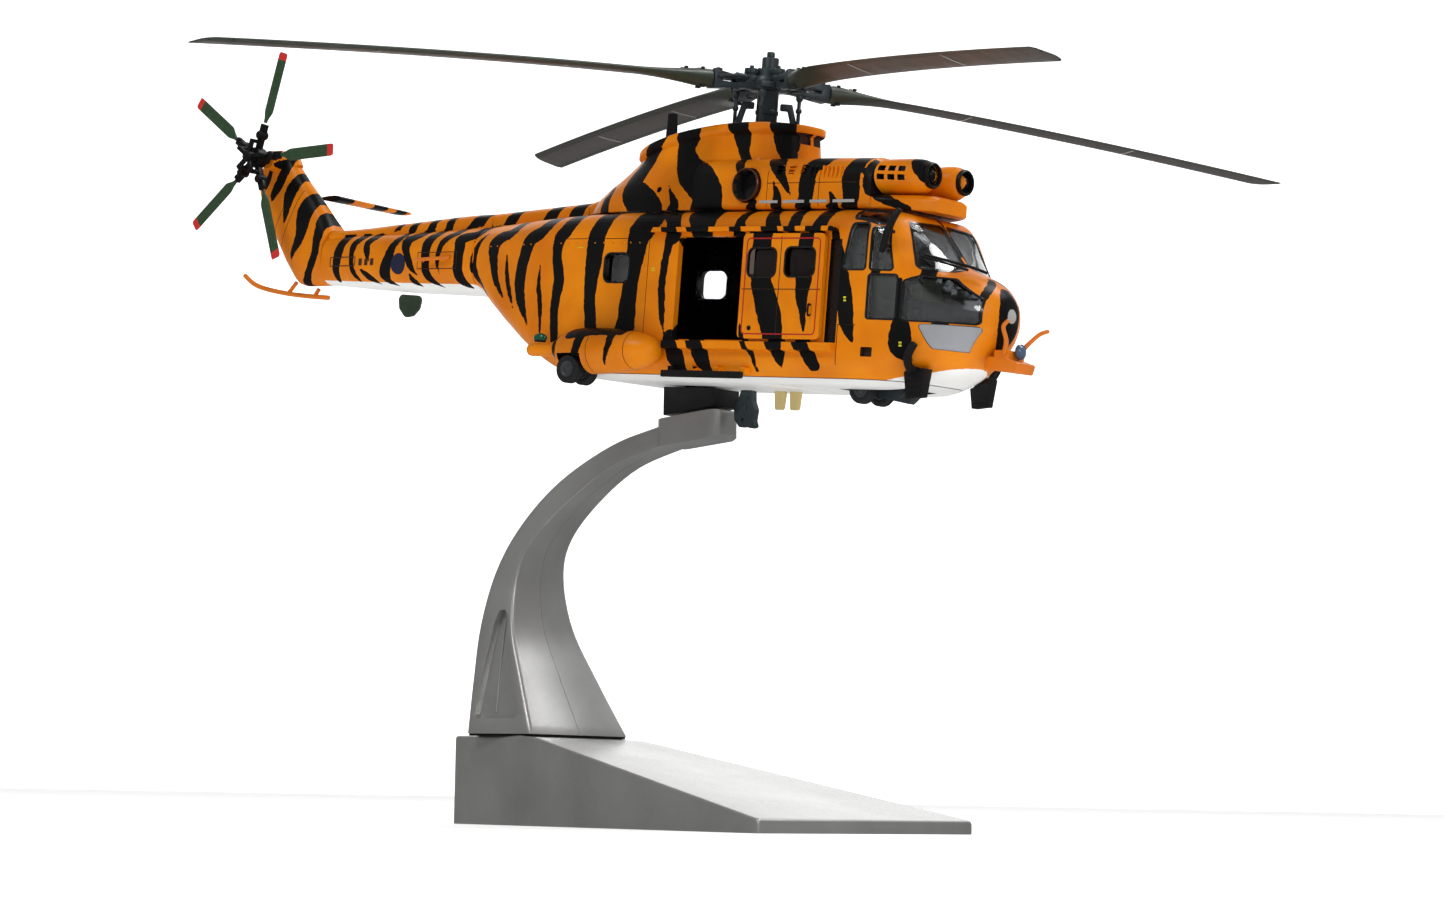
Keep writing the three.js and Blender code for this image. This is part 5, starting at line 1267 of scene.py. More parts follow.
def doors():
    """The sliding cabin doors, drawn fully forward."""
    y = DOOR_Y
    for side, _ in SIDES:
        door_slide = side + "_door"
        door = prism(DOOR_PANEL, "y", y, y + DOOR_THICK, TIGER)
        cut(door, *[prism(w, "y", 10, SPAN, CABIN) for w in DOOR_WINDOWS])
        cut(door, prism(rect(10.2, -36.1, 26.1, -29.8, 1.2), "y", 10, y + 0.45, CABIN))
        fuse(door, box(12, 14, y + 0.2, y + 0.62, -28.4, -27.75, TIGER))
        # Pressed grooves below and between the windows.
        for x0, x1, z0, z1 in DOOR_GROOVES:
            cut(door, box(x0, x1, y + 0.8, SPAN, z0, z1, SEAM))
        side_piece(
            "door_skin", side, door, TIGER, body=door_slide, node="door", slot="orange_plastic", bevel=0.1,
            segments=3, dense=0.7, paint=paint_plain(DOOR_STRIPES),
        )
        pane = prism(DOOR_GLAZING, "y", y + 0.02, y + 0.3)
        side_piece(
            "door_glass", side, pane, DOOR_GLASS, body=door_slide, node="door_panes", slot="clear_pane",
            bevel=0.05,
        )
        trims = []
        for w in DOOR_WINDOWS:
            trim = prism(grow(w, 0.28), "y", y + 0.85, y + 0.98)
            trims.append(cut(trim, prism(grow(w, -0.02), "y", y + 0.6, y + 1.2)))
        side_piece("door_trim", side, join(*trims), CHROME, body=door_slide, slot="black_plastic", bevel=0.03)
        line = prism(DOOR_LINE, "y", y + 0.85, y + 0.93)
        cut(line, prism(grow(DOOR_LINE, -0.22), "y", y + 0.6, y + 1.2))
        side_piece("door_line", side, line, RED, body=door_slide, slot="orange_plastic")
        grip = [(25.2, y + out, z) for out, z in ((0.9, -40.2), (1.5, -40.2), (1.5, -41.9), (0.9, -41.9))]
        lock = [(0, 0), (0.42, 0), (0.42, 0.1), (0.25, 0.2), (0, 0.22)]
        handle = join(tube(grip, 0.17, 10, 5), turned(lock, (12.1, y + 0.88, -44.2), PORT, 18))
        side_piece("door_handle", side, handle, BLACK, body=door_slide, slot="orange_plastic")
        runners = join(*[box(x, x + 1.1, y + 0.1, y + 0.72, -27.95, -27.65) for x in (10.6, 24.2)])
        side_piece("door_runners", side, runners, SATIN, body=door_slide, slot="black_plastic", bevel=0.06)


# The tail pylon's rings from root to tip: leading edge x and z, trailing edge x and z, half thickness.
PYLON = [
    (-104.8, -24.9, -104.8, -35.5, 4.3), (-107.6, -21.7, -112, -35.7, 3.6), (-111, -18.2, -116.6, -32.4, 2.9),
    (-114.4, -15, -120.4, -27.6, 2.5), (-117.3, -12, -124.2, -22.4, 2.3), (-119.6, -9.7, -126.8, -17.8, 2.1),
    (-122.4, -8.9, -127.2, -13.8, 1.5),
]
TAIL_SHAFT_X, TAIL_SHAFT_Z = -121.5, -11.4


def boom_hollow():
    """The boom's inside, drawn out straight a little past its front end."""
    rings = [section(station(BOOM, x), 1.1, 7) for x in (-96, -84, -72, BOOM_END)]
    rings.append([(-60, y, z) for _, y, z in rings[-1]])
    return loft(rings, CABIN)


def pylon_ring(lx, lz, tx, tz, half):
    """A squarish ring between the leading and the trailing edge."""
    a = around(40)
    u = np.sign(np.cos(a)) * np.abs(np.cos(a)) ** 0.8
    v = np.sign(np.sin(a)) * np.abs(np.sin(a)) ** 0.8
    return np.column_stack([(lx + tx + u * (lx - tx)) / 2, half * v, (lz + tz + u * (lz - tz)) / 2])


def pylon_core():
    """The pylon drawn 0.12 mm inside its skin, which limits how deep its seams are."""
    return loft([pylon_ring(*row[:4], row[4] - 0.12) for row in PYLON])


def foil(le, te, thick, n):
    """Chordwise places and heights of a blade section, blunt in front and thin behind."""
    a = around(n)
    return (le + te + np.cos(a) * (le - te)) / 2, thick / 2 * np.sin(a) * (0.7 + 0.3 * np.cos(a))


def tail():
    """Tail boom, pylon, tailplane, skid and the boom's aerials."""
    boom = cut(lofted(BOOM, np.linspace(BOOM_TIP, BOOM_END, 30), 0, 9, TIGER), boom_hollow())
    spine = lofted(
        [
            (-104, 3.3, -25.1, -28, 2.2, 1.4, 0.5, 0.5), (-84, 3.6, -23.8, -28, 2.4, 1.5, 0.5, 0.5),
            (-60.7, 3.8, -22.25, -28, 2.6, 1.6, 0.5, 0.5),
        ],
        np.linspace(-104, BOOM_END, 9), 0, 9, TIGER,
    )
    fuse(boom, cut(spine, boom_hollow()))
    # Spigots that close the thin gaps between boom, fuselage, pylon and cowling.
    rear = section(station(BOOM, -104.2), 0.3, 9)
    spigots = join(
        loft([section(station(BOOM, -61.4), 0.12, 9), section(station(BODY, -59.8), 0.12, 9)], TIGER),
        loft([rear, [(x - 1, y, z) for x, y, z in rear]], TIGER),
        *[
            loft([section((x, 3.7, top, -26, 2.5, 1.5, 0.5, 0.5), 0, 9) for x in (x0, x0 + 1.6)], TIGER)
            for x0, top in ((-61.4, -22.35), (-37.4, -20.55))
        ],
    )
    piece("boom_spigots", spigots, TIGER, paint=paint_body)
    # Cover joints along the spine.
    for x in (-98, -90, -80, -70):
        cut(boom, box(x, x + 0.12, -3.9, 3.9, -25.3 + 0.055 * (x + 98) + 0.3, -20, SEAM))
    piece("boom_skin", boom, TIGER, replaces=["tail_boom"], bevel=0.06, dense=0.8, paint=paint_body)
    rail = tube([(-75.2, -8.7, -31.6), (-70.7, -8.72, -31.4), (-66.2, -8.7, -31.2)], 0.34, 12)
    post = [(0, -0.2), (0.55, 0), (0.36, 0.25), (0.3, 2.5), (0, 2.5)]
    posts = [turned(post, (x, -6.3, z), (0, -1, 0), 14) for x, z in ((-74.2, -31.6), (-67.2, -31.25))]
    aerial = join(rail, *posts)
    piece("rail_aerial", aerial, ORANGE)

    keyed = [(i, *row) for i, row in enumerate(PYLON)]
    rings = [pylon_ring(*station(keyed, t)[1:]) for t in np.linspace(0, 6, 25)]
    pylon = loft(rings, TIGER)
    x, z = TAIL_SHAFT_X, TAIL_SHAFT_Z
    fuse(
        pylon,
        turned(
            [(0, 0), (2.1, 0), (2.05, 1.6), (1.85, 3), (1.7, 3.6), (0, 3.6)], (x, -1, z), (0, -1, 0), 32,
            TIGER,
        ),
    )
    fuse(pylon, turned([(0, 0), (1.9, 0), (1.7, 2.4), (1.3, 3.1), (0, 3.2)], (x, -1, z), PORT, 32, TIGER))
    fuse(
        pylon,
        turned(
            [(0, 0), (1.1, 0), (1.05, 1.2), (0.8, 2), (0.35, 2.4), (0, 2.45)], (-117.6, 0, -12.4),
            (-0.48, 0, 0.88), 24, TIGER,
        ),
    )
    cut(pylon, bar((x, -3.2, z), (x, -6, z), 0.9, mat=CABIN))
    # Intermediate gearbox cover seams across the pylon.
    for f in (0.32, 0.62):
        lx, lz, tx, tz = (PYLON[2][i] * (1 - f) + PYLON[4][i] * f for i in range(4))
        d = Vector((tx - lx, 0, tz - lz)).normalized()
        across = d.cross(Vector(PORT))
        slab = box(-1, 20, 1.6, 6, -0.06, 0.06, SEAM)
        m = Matrix.Translation((lx, 0, lz)) @ Matrix((d, PORT, across)).transposed().to_4x4()
        for _, s in SIDES:
            t = copy(slab, Matrix.Scale(s, 4, PORT))
            t.data.transform(m)
            cut(pylon, cut(t, pylon_core()))
        drop(slab)
    piece(
        "pylon_skin", pylon, TIGER, replaces=["tail_pylon"], bevel=0.06, dense=0.75,
        paint=paint_plain(PYLON_STRIPES),
    )

    rows = [(3.1 + (23 - 3.1) * k, -108 - 0.7 * k, -114.4 + 0.4 * k, -18.1 - 0.4 * k, 1.5 - 0.4 * k)
            for k in np.linspace(0, 1, 12)]
    rows += [(23.5, -108.9, -113.9, -18.5, 0.95), (23.85, -109.2, -113.7, -18.5, 0.7)]
    rows += [(24, -109.6, -113.5, -18.5, 0.35)]
    rings = []
    for y, le, te, z, thick in rows:
        along, up = foil(le, te, thick, 36)
        rings.append(np.column_stack([along, np.full(36, y), z + up]))
    plane = loft(rings, TIGER)
    cut(plane, box(-112.6, -112.48, 3.4, 23, -18.2, -17, SEAM))
    piece("tailplane", plane, TIGER, replaces=["stabilizer"], dense=0.6, paint=paint_stabilizer)
    line = [
        (-106.2, 0, -37.9), (-112, 0, -37.6), (-118, 0, -37.1), (-124, 0, -36.2), (-127.5, 0, -35.2),
        (-130.2, 0, -33.6),
    ]
    skid = join(
        tube(line, 0.47, 14), bar((-117.5, 0, -37.1), (-115.35, 0, -34.95), 0.4),
        bar((-110.2, 0, -37.7), (-109, 0, -36.25), 0.4),
    )
    piece("skid", skid, ORANGE, replaces=["tail_skid"])
    fin = prism(
        fillet(
            [
                (-87.1, -37.1), (-80.9, -37.4), (-81.4, -39.9), (-82.9, -41.3), (-84.9, -41.6),
                (-86.6, -39.9),
            ],
            1.1, 6,
        ),
        "y", -0.35, 0.35,
    )
    piece(
        "underboom_aerial", fin, GREEN, replaces=["boom_aerial"], slot="blade_green", bevel=0.16,
        segments=3,
    )


TAILPIPE = (6.3, 8.95, -19.2)
INTAKE_Y, INTAKE_Z = 4.6, -17.1
# Nacelle rings from rear to front: x, y, z, half width, half height.
NACELLE = [
    (32.8, 5.6, -17.5, 4.6, 3.1), (35, 5.2, -17.4, 4.1, 3.1), (37.6, 4.85, -17.3, 3.6, 3.05),
    (38.7, 4.72, -17.25, 3.25, 2.95), (39.4, 4.65, -17.2, 2.9, 2.8), (40, 4.62, -17.15, 2.6, 2.55),
    (40.5, 4.6, -17.1, 2.2, 2.2),
]
VENT_X = (12.4, 15, 17.6)
COWL_SEAMS = ((21.9, 22.02, -23.1, -14), (10.6, 10.72, -23.1, -16.2), (10.6, 31.5, -18.9, -18.78))


def rim_top(x):
    """Height of the cowling's rim, which curves down towards its ends."""
    return -7.4 - 0.0047 * (x - 6) ** 2


def engines():
    """The cowling with its well and vents, the two nacelles and the exhausts."""
    foot = -23.2
    # Rings about (middle, 0): middle, half length, half width, height.
    crown = [
        (-9.6, 27, 10.6, foot), (-9.4, 26.3, 10.5, -21.8), (-9.2, 25.4, 10.3, -20.4),
        (-8.8, 23.6, 9.8, -18.6),
        (-8.4, 21.6, 9.2, -17), (-8, 20.1, 8.65, -15.5), (-7.7, 18.9, 8.2, -14.2),
        (-7.5, 18.1, 7.8, lambda x: rim_top(x) - 1.6),
    ]
    crown = loft([superellipse(*row) for row in crown], TIGER)

    def rim_body(rows, mat):
        """Rings that follow the rim: half length, half width, height above the rim's top."""
        return loft([superellipse(-7.5, a, b, lambda x, up=up: rim_top(x) + up) for a, b, up in rows], mat)

    lip = [(17.8, 7.6, -2.1), (18.7, 8.35, -1.55), (19, 8.6, -1.15), (19, 8.6, -0.3), (18.9, 8.5, -0.1)]
    rim = rim_body([*lip, (18.7, 8.3, 0)], TIGER)
    well = rim_body([(17.7, 7.3, -3), (17.9, 7.5, 3)], BLACK)
    deck = lofted(
        [
            (-6, 11.3, -14.1, foot, 4.2, 3.8, 1, 1), (10, 11.3, -14.1, foot, 4.2, 3.8, 1, 1),
            (31.8, 11, -14.2, foot, 4.6, 4, 1, 1), (32.4, 10.4, -14.8, foot, 4.6, 4, 1, 1),
        ],
        [-6, 2, 10, 21, 31.8, 32.1, 32.4], 0, 11, TIGER,
    )
    fairing = lofted(
        [
            (31, 10.4, -20.65, foot, 2, 1.2, 0.4, 0.4), (36, 9.2, -20.7, foot, 2, 1.2, 0.4, 0.4),
            (39.6, 6.9, -20.5, foot, 2, 1.2, 0.4, 0.4), (41.2, 5.2, -20.5, foot, 1.6, 1, 0.4, 0.4),
            (42, 4.2, -20.9, foot, 1.4, 0.4, 0.2, 0.1),
        ],
        [31, 34, 36, 38, 39.6, 40.5, 41.2, 41.6, 42], 0, 9, TIGER,
    )
    foot_tail = lofted(
        [(-36.4, 4, -20.3, foot, 2.6, 1.6, 0.3, 0.3), (-28, 5.4, -18.6, foot, 2.6, 1.6, 0.3, 0.3)],
        [-36.4, -32, -28], 0, 9, TIGER,
    )
    cowl = cut(fuse(crown, rim, foot_tail), well)
    fuse(cowl, cut(deck, bar((0, 0, -30), (0, 0, 0), 3, sides=40, mat=BLACK)), fairing)
    cut(cowl, bar((0, 0, -16.1), (0, 0, 0), 2.25, sides=40, mat=BLACK))
    for _, s in SIDES:
        louvres = [prism(rect(x, -17.3, x + 1.3, -15.7, 0.2, 3), "y", 10.3, 12, TIGER) for x in VENT_X]
        # The cowling's tailpipe sockets are lined near-black: soot and painted shade.
        cut(
            cowl,
            bar((6.3, s * 8.6, -19.2), (6.1, s * 16, -19), 3.1, sides=40, mat=SOOT_AND_HOLE_SHADE),
            on_side(box(10.2, 14, 0.4, 4, -10.8, -8.9, VENT), s),
            *[on_side(louvre, s) for louvre in louvres],
            on_side(turned(pin(0.55, 3), (-15, 9.2, -19.5), (0, 1, 0.1), 20, VENT), s),
        )
        # Cowling panel seams.
        for x0, x1, z0, z1 in COWL_SEAMS:
            cut(cowl, on_side(box(x0, x1, 11.05 if z1 < -16 else 10.9, SPAN, z0, z1, SEAM), s))
    for x in (11.5, 21.9):
        cut(cowl, box(x, x + 0.12, -7, 7, -14.35, -12, SEAM))
    cut(cowl, box(11.6, 31.6, -0.06, 0.06, -14.35, -12, SEAM))
    piece("cowling_skin", cowl, TIGER, replaces=["engine_cowling"], bevel=0.07, dense=0.75, paint=paint_cowl)

    # Slats standing in the side vents, and a row of eight upright slats further forward on each side.
    slats = []
    for _, s in SIDES:
        for x in VENT_X:
            for k in range(3):
                slat = box(x + 0.06, x + 1.44, 10.2, 11.15, -17.1 + 0.6 * k, -16.93 + 0.6 * k)
                slats.append(on_side(slat, s))
        for k in range(8):
            slats.append(on_side(box(19.9 + 0.9 * k, 20.25 + 0.9 * k, 10.7, 11.42, -18, -16), s))
    piece("cowl_slats", join(*slats), TIGER, bevel=0.05, segments=1, paint=paint_cowl)
    for side, s in SIDES:
        body = loft([upright_ring(*row, 48) for row in NACELLE], TIGER)
        cut(body, box(30, 45, -6, 0.95, -30, -10, TIGER))
        # The nacelle vents' walls are near-black: painted shade in the recesses.
        for x in (33.2, 34.9, 36.6):
            for z in (-18.3, -16.8):
                cut(body, prism(rect(x, z, x + 1.2, z + 0.95, 0.12, 3), "y", 8.05, 12, SOOT_AND_HOLE_SHADE))
        # Air inlet with a bullet in its middle; the inlet's walls are near-black, painted shade inside the
        # hole.
        cut(body, turned(pin(1.78, 3), (39.2, INTAKE_Y, INTAKE_Z), FORWARD, 40, SOOT_AND_HOLE_SHADE))
        fuse(
            body,
            turned(
                [
                    (0, -0.2), (1.36, -0.2), (1.36, 0.8), (1.25, 1.4), (0.95, 1.85), (0.5, 2.18),
                    (0.2, 2.28), (0, 2.3),
                ],
                (39.1, INTAKE_Y, INTAKE_Z), FORWARD, 32, TIGER,
            ),
        )
        side_piece(
            "nacelle_skin", side, body, TIGER, node="nacelle", bevel=0.05, dense=0.6, paint=paint_nacelle,
        )
        lip = turned(
            [(1.75, 0), (2.2, 0), (2.28, 0.3), (2.2, 0.62), (2.02, 0.8), (1.84, 0.72), (1.75, 0.4)],
            (40.6, INTAKE_Y, INTAKE_Z), FORWARD, 48,
        )
        side_piece("intake_lip", side, lip, BLACK, node="intake_ring", slot="black_plastic")
        at = Vector((TAILPIPE[0], s * TAILPIPE[1], TAILPIPE[2]))
        axis = Vector((-0.03, s, 0.03)).normalized()
        wall = [
            (0, 0), (2.7, 0), (2.72, 1.2), (2.82, 2.4), (2.96, 3.0), (2.86, 3.14), (2.68, 3.1), (2.5, 2.4),
        ]
        pipe = turned([*wall, (2.4, 0.7), (0, 0.5)], at, (-0.03, s, 0.03), 56)
        # The pipe's inside is near-black: soot and painted shade.
        for mat in (BRONZE, SOOT_AND_HOLE_SHADE):
            pipe.data.materials.append(mat)
        for f in pipe.data.polygons:
            c = Vector(f.center) - at
            along = c.dot(axis)
            if 0.2 < along < 2.75 and (c - axis * along).length < 2.62:
                f.material_index = 1
        piece("tailpipe_" + side, pipe, BRONZE, replaces=["exhaust_" + side], slot="bronze_paint")
        # Plain dashes where the lettering would be.
        bars = [
            box(x, x + w, 11.2, 11.34, -22.3, -21.8) for x, w in (
                (9.2, 4.0), (14.4, 4.6), (20.2, 3.8), (25.2, 4.6),
            )
        ]
        side_piece("cowl_marks", side, join(*bars), PALE, bevel=0.02, segments=1)
    rings = []
    for k in (0, 0.3, 0.6, 0.9, 0.97, 1):
        rings.append(superellipse(-21.6 - 0.2 * k, 1.6 - 0.5 * k, 0.55 - 0.2 * k, -13.45 + 9.25 * k, 28, 2.2))
    blade = loft(rings)
    piece("blade_aerial", blade, BLACK, replaces=["cowl_aerial"], slot="black_plastic", bevel=0.08)


MAIN_AXLE, NOSE_AXLE = (-25.3, -52.2), (28, -53.2)
# Sponson stations from rear to front: x, middle height, half width, half height.
SPONSON = [
    (-32.2, -48.4, 1.2, 1.1), (-29, -48.6, 2.6, 2.9), (-24, -48.7, 3.9, 4.1), (-17, -48.6, 4.2, 3.9),
    (-12, -48.5, 3.8, 3.3), (-9, -48.4, 2.8, 2.4), (-7.6, -48.35, 1.6, 1.4), (-7.2, -48.3, 0.7, 0.6),
]
SPONSON_X = [
    -32.2, -31.8, -31, -30, -29, -27.5, -26, -24, -22, -20, -18, -17, -15, -13.5, -12, -11, -10, -9.2, -8.6,
    -8, -7.6, -7.35, -7.2,
]


def rod(at, y0, y1, radius, **more):
    """A round bar along Y at (x, z)."""
    return bar((at[0], y0, at[1]), (at[0], y1, at[1]), radius, **more)


def wheel_parts(at, radius, y0, y1):
    """Tyre with rounded shoulders and tread grooves, and a dished hub with bolts, about a Y axis."""
    at_x, at_z = at
    w = y1 - y0
    tyre = turned([
        (radius * 0.56, 0.14), (radius * 0.66, 0.04), (radius * 0.82, 0.0), (radius * 0.94, 0.12),
        (radius, 0.38),
        (radius, w * 0.36), (radius - 0.09, w * 0.38), (radius - 0.09, w * 0.42), (radius, w * 0.44),
        (radius, w * 0.56), (radius - 0.09, w * 0.58), (radius - 0.09, w * 0.62), (radius, w * 0.64),
        (radius, w - 0.38), (radius * 0.94, w - 0.12), (radius * 0.82, w), (radius * 0.66, w - 0.04),
        (radius * 0.56, w - 0.14),
    ], (at_x, y0, at_z), PORT, 48)
    hub = turned([
        (0, 0.06), (radius * 0.16, 0.06), (radius * 0.18, 0.24), (radius * 0.4, 0.3), (radius * 0.48, 0.12),
        (radius * 0.57, 0.12),
        (radius * 0.57, w - 0.12), (radius * 0.48, w - 0.12), (radius * 0.4, w - 0.3),
        (radius * 0.18, w - 0.24), (radius * 0.16, w - 0.06), (0, w - 0.06),
    ], (at_x, y0, at_z), PORT, 40)
    bolts = []
    for i in range(6):
        a = i * math.pi / 3
        x, z = at_x + radius * 0.3 * math.cos(a), at_z + radius * 0.3 * math.sin(a)
        bolts.append(bar((x, y0 + 0.16, z), (x, y1 - 0.16, z), 0.13, sides=8))
    return tyre, join(hub, *bolts)


def gear():
    """Sponsons with their lights, the wheels and the nose leg."""
    for side, s in SIDES:
        rings = []
        for x in SPONSON_X:
            _, z, w, h = station(SPONSON, x)
            ring = upright_ring(x, 15.9, z, w, h, 36)
            ring[:, 1] = np.maximum(ring[:, 1], 14.3)
            rings.append(ring)
        body = loft(rings, TIGER)
        fuse(
            body,
            turned(
                [(0, 0), (0.8, 0), (1.05, 0.3), (1.15, 0.9), (1.15, 8.3), (0, 8.3)], (-37.3, 16.2, -48.7),
                FORWARD, 32, TIGER,
            ),
        )
        cut(body, box(-28.6, -22, 12.5, 21, -56, -49.4, CABIN))
        leg = fuse(box(-26.1, -24.5, 15.8, 17, -52.2, -49.2, HEAD), rod(MAIN_AXLE, 15.8, 17, 1.05, mat=HEAD))
        fuse(body, cut(leg, rod(MAIN_AXLE, 10, 20, 0.62, mat=HEAD)))
        for x in (-20.6, -12.2):
            cut(body, cut(box(x, x + 0.12, 15, 22, -55, -40, SEAM), loft([r - (0, 0.14, 0) for r in rings])))
        side_piece(
            "sponson_skin", side, body, TIGER, node="sponson", bevel=0.06, dense=0.6,
            paint=paint_plain(SPONSON_STRIPES),
        )
        mount = turned(pin(1.25, 0.35), (-34.9, 16.2, -47.3), UP, 28)
        seat = Vector((-34.9, 16.2, 0))
        squash = Matrix.Translation(seat) @ Matrix.Diagonal((1, 0.6, 1, 1)) @ Matrix.Translation(-seat)
        mount.data.transform(squash)
        lens = cut(ball((-34.9, 16.2, -46.55), 1.5, 0.8, 0.85, 28), box(-40, -30, 10, 20, -50, -47))
        side_piece(
            "nav_lens", side, lens, NAV_RED if s > 0 else NAV_GREEN, node="nav_light",
            slot="lens_red" if s > 0 else "lens_green",
        )
        side_piece("nav_seat", side, mount, BLACK, bevel=0.08)
        tyres, hubs = zip(*[wheel_parts(MAIN_AXLE, 2.5, y, y + 2) for y in (13.4, 17.4)])
        side_piece(
            "main_tyres", side, join(*tyres), RUBBER, body=side + "_wheel_pair", node="main_wheels",
            slot="tyre_black",
        )
        axle = rod(MAIN_AXLE, 14.4, 18.4, 0.55)
        side_piece(
            "main_hubs", side, join(axle, *hubs), WHEEL, body=side + "_wheel_pair", slot="rotor_grey",
            bevel=0.04, segments=1,
        )
    tyres, hubs = zip(*[wheel_parts(NOSE_AXLE, 2.54, *ys) for ys in ((-3.6, -1.7), (1.7, 3.6))])
    piece(
        "nose_tyres", join(*tyres), RUBBER, body="nose_wheel_pair", replaces=["nose_wheels"],
        slot="tyre_black",
    )
    piece(
        "nose_hubs", join(rod(NOSE_AXLE, -2, 2, 0.55), *hubs), WHEEL, body="nose_wheel_pair",
        slot="rotor_grey", bevel=0.04, segments=1,
    )
    fork = [
        (27.4, -54.2), (28.6, -54.2), (36.4, -55.4), (37.4, -54.6), (37.4, -51.6), (36, -51.3),
        (34.6, -52.9), (28.6, -52.2), (27.4, -52.2),
    ]
    strut = fuse(
        prism(fillet(fork, 0.3, 3), "y", -0.8, 0.8), rod(NOSE_AXLE, -0.8, 0.8, 1.15),
        rod((35.6, -53.6), -2.6, 2.6, 0.9),
    )
    cut(strut, rod(NOSE_AXLE, -3, 3, 0.62))
    piece("nose_leg", strut, HEAD, replaces=["nose_strut"], slot="rotor_grey", bevel=0.14)


BELLY_BLADES = (("rear", 7.9), ("front", 11.3))


def fittings():
    """Steps, duct, wiper, aerials, cargo hook, probes and lamp."""
    clear = body_outer(-0.1, 7)
    for side, _ in SIDES:
        plank = [box(-6.5, 11.5, 14.95, 15.75, -52.8, -51.8)]
        plank += [box(x, x + 0.22, 14.9, 15.8, -52.9, -51.7) for x in np.arange(-6.4, 11.4, 0.62)]
        side_piece(
            "step_plank", side, join(*plank), SATIN, node="step_bar", slot="black_plastic", bevel=0.05,
            segments=1,
        )
        # Boarding step: a box tread with pressed ribs on its outer face, hung from a curved tube.
        outer = [
            [(42.1, 8.2, -50.1), (46.5, 8.2, -50.1), (46.5, 10.4, -50.1), (42.1, 10.4, -50.1)],
            [(42.9, 8.4, -55.2), (46, 8.4, -54.8), (46, 10.2, -54.8), (42.9, 10.2, -55.2)],
        ]
        tread = cut(loft(outer), copy(clear))
        ribs = []
        for k in range(5):
            z = -50.9 - 0.95 * k
            inset = (z + 50.1) * -0.16
            ribs.append(box(42.5 + inset, 46.2 - inset * 0.6, 8.3, 10.55 - inset * 0.2, z - 0.16, z + 0.16))
        side_piece(
            "step_box", side, join(tread, *ribs), SATIN, node="boarding_step", slot="black_plastic",
            bevel=0.07,
        )
        arm = cut(
            tube(
                [(44.4, 9.4, -50.6), (44.2, 11.6, -50), (44.6, 12.7, -48.2), (45.4, 12.4, -46.2)], 0.72, 18,
            ),
            copy(clear),
        )
        side_piece("step_arm", side, arm, SATIN, slot="black_plastic")
    duct = tube(
        [(41.3, -13.6, -24), (40.6, -14.2, -25.6), (39.6, -14.4, -28.2), (38.8, -14.3, -31)],
        [0.5, 0.62, 0.62, 0.55], 20,
    )
    feet = [box(39.7, 40.3, -14.2, -13, -27.9, -27.4), box(38.9, 39.5, -14.2, -13.1, -30.2, -29.7)]
    piece("air_duct", join(duct, *feet), SATIN, replaces=["cockpit_duct"], slot="black_plastic")
    arm = cut(
        tube([(52.6, -3.2, -33.4), (50, -4.6, -32.5), (47.2, -6.6, -31.8), (43.9, -9.4, -31)], 0.26, 10),
        copy(clear),
    )
    blade = cut(tube([(50.4, -5.6, -33.2), (47, -7.6, -32.2), (43.6, -10.2, -31.3)], 0.2, 8), copy(clear))
    piece("wiper_arm", join(arm, blade), BLACK, replaces=["wiper"], slot="black_plastic")
    for name, x in BELLY_BLADES:
        rings = []
        for k in (0, 0.5, 0.9, 1):
            z = -53.72 - 3.28 * k
            e = 1 if k < 1 else 0.82
            rings.append(superellipse(x + 0.03 * k, (1.35 - 0.28 * k) * e, (0.4 - 0.1 * k) * e, z, 24, 3.2))
        piece(
            "blade_" + name, loft(rings), CREAM, replaces=["belly_aerial_" + name], slot="cream_plastic",
            bevel=0.05,
        )
    outline = [
        (-0.6, -53.72), (1.9, -53.72), (2.1, -55.6), (2.8, -57.1), (2.6, -59), (3.1, -60.2), (2, -60.4),
        (1.3, -60.1), (-0.4, -60.3), (-1.6, -59), (-1.9, -57.1), (-1, -55.4),
    ]
    cheek = cut(
        prism(fillet(outline, 0.35, 3), "y", -0.7, 0.7),
        prism(rect(-0.2, -59.4, 0.6, -58.6, 0.38), "y", -2, 2),
    )
    bolt = [(0, -0.95), (0.35, -0.95), (0.42, -0.85), (0.42, 0.85), (0.35, 0.95), (0, 0.95)]
    pins = [turned(bolt, (x, 0, z), PORT, 16) for x, z in ((0.5, -56.8), (0.9, -55))]
    piece("hook", join(cheek, *pins), HEAD, replaces=["cargo_hook"], slot="rotor_grey", bevel=0.12)
    plate = fuse(
        box(54.6, 57.4, -2.4, 2.4, -47.9, -46.1),
        prism(
            fillet([(52.6, -49.3), (59.2, -49.9), (59.7, -48.2), (57, -47.4), (53.4, -47.2)], 0.4, 4), "y",
            -2.6, 2.6,
        ),
    )
    plate = cut(plate, copy(clear))
    a = tube(
        [(56.6, -2.2, -46.6), (57.6, -3.4, -44.6), (57.2, -3.9, -42.4), (58, -3.8, -41.3)],
        [0.5, 0.38, 0.36, 0.34], 14,
    )
    b = tube(
        [(56.8, 1.4, -46.6), (58.4, 2, -44.6), (60, 2.6, -43), (61.6, 2.8, -42.4)], [0.5, 0.38, 0.36, 0.34],
        14,
    )
    probes = join(plate, cut(a, copy(clear)), cut(b, clear))
    piece("probes", probes, ORANGE, replaces=["nose_probes"], bevel=0.08)
    lamp = turned(
        [
            (0, 0), (1.1, 0), (1.24, 0.12), (1.28, 0.3), (1.28, 0.62), (1.18, 0.74), (1.04, 0.68),
            (0.9, 0.86), (0.5, 1.08), (0, 1.15),
        ],
        (57.72, 0.2, -46.2), (1, 0, 0.05), 40,
    )
    piece("lamp", lamp, LAMP, replaces=["nose_lamp"], slot="lamp_blue")


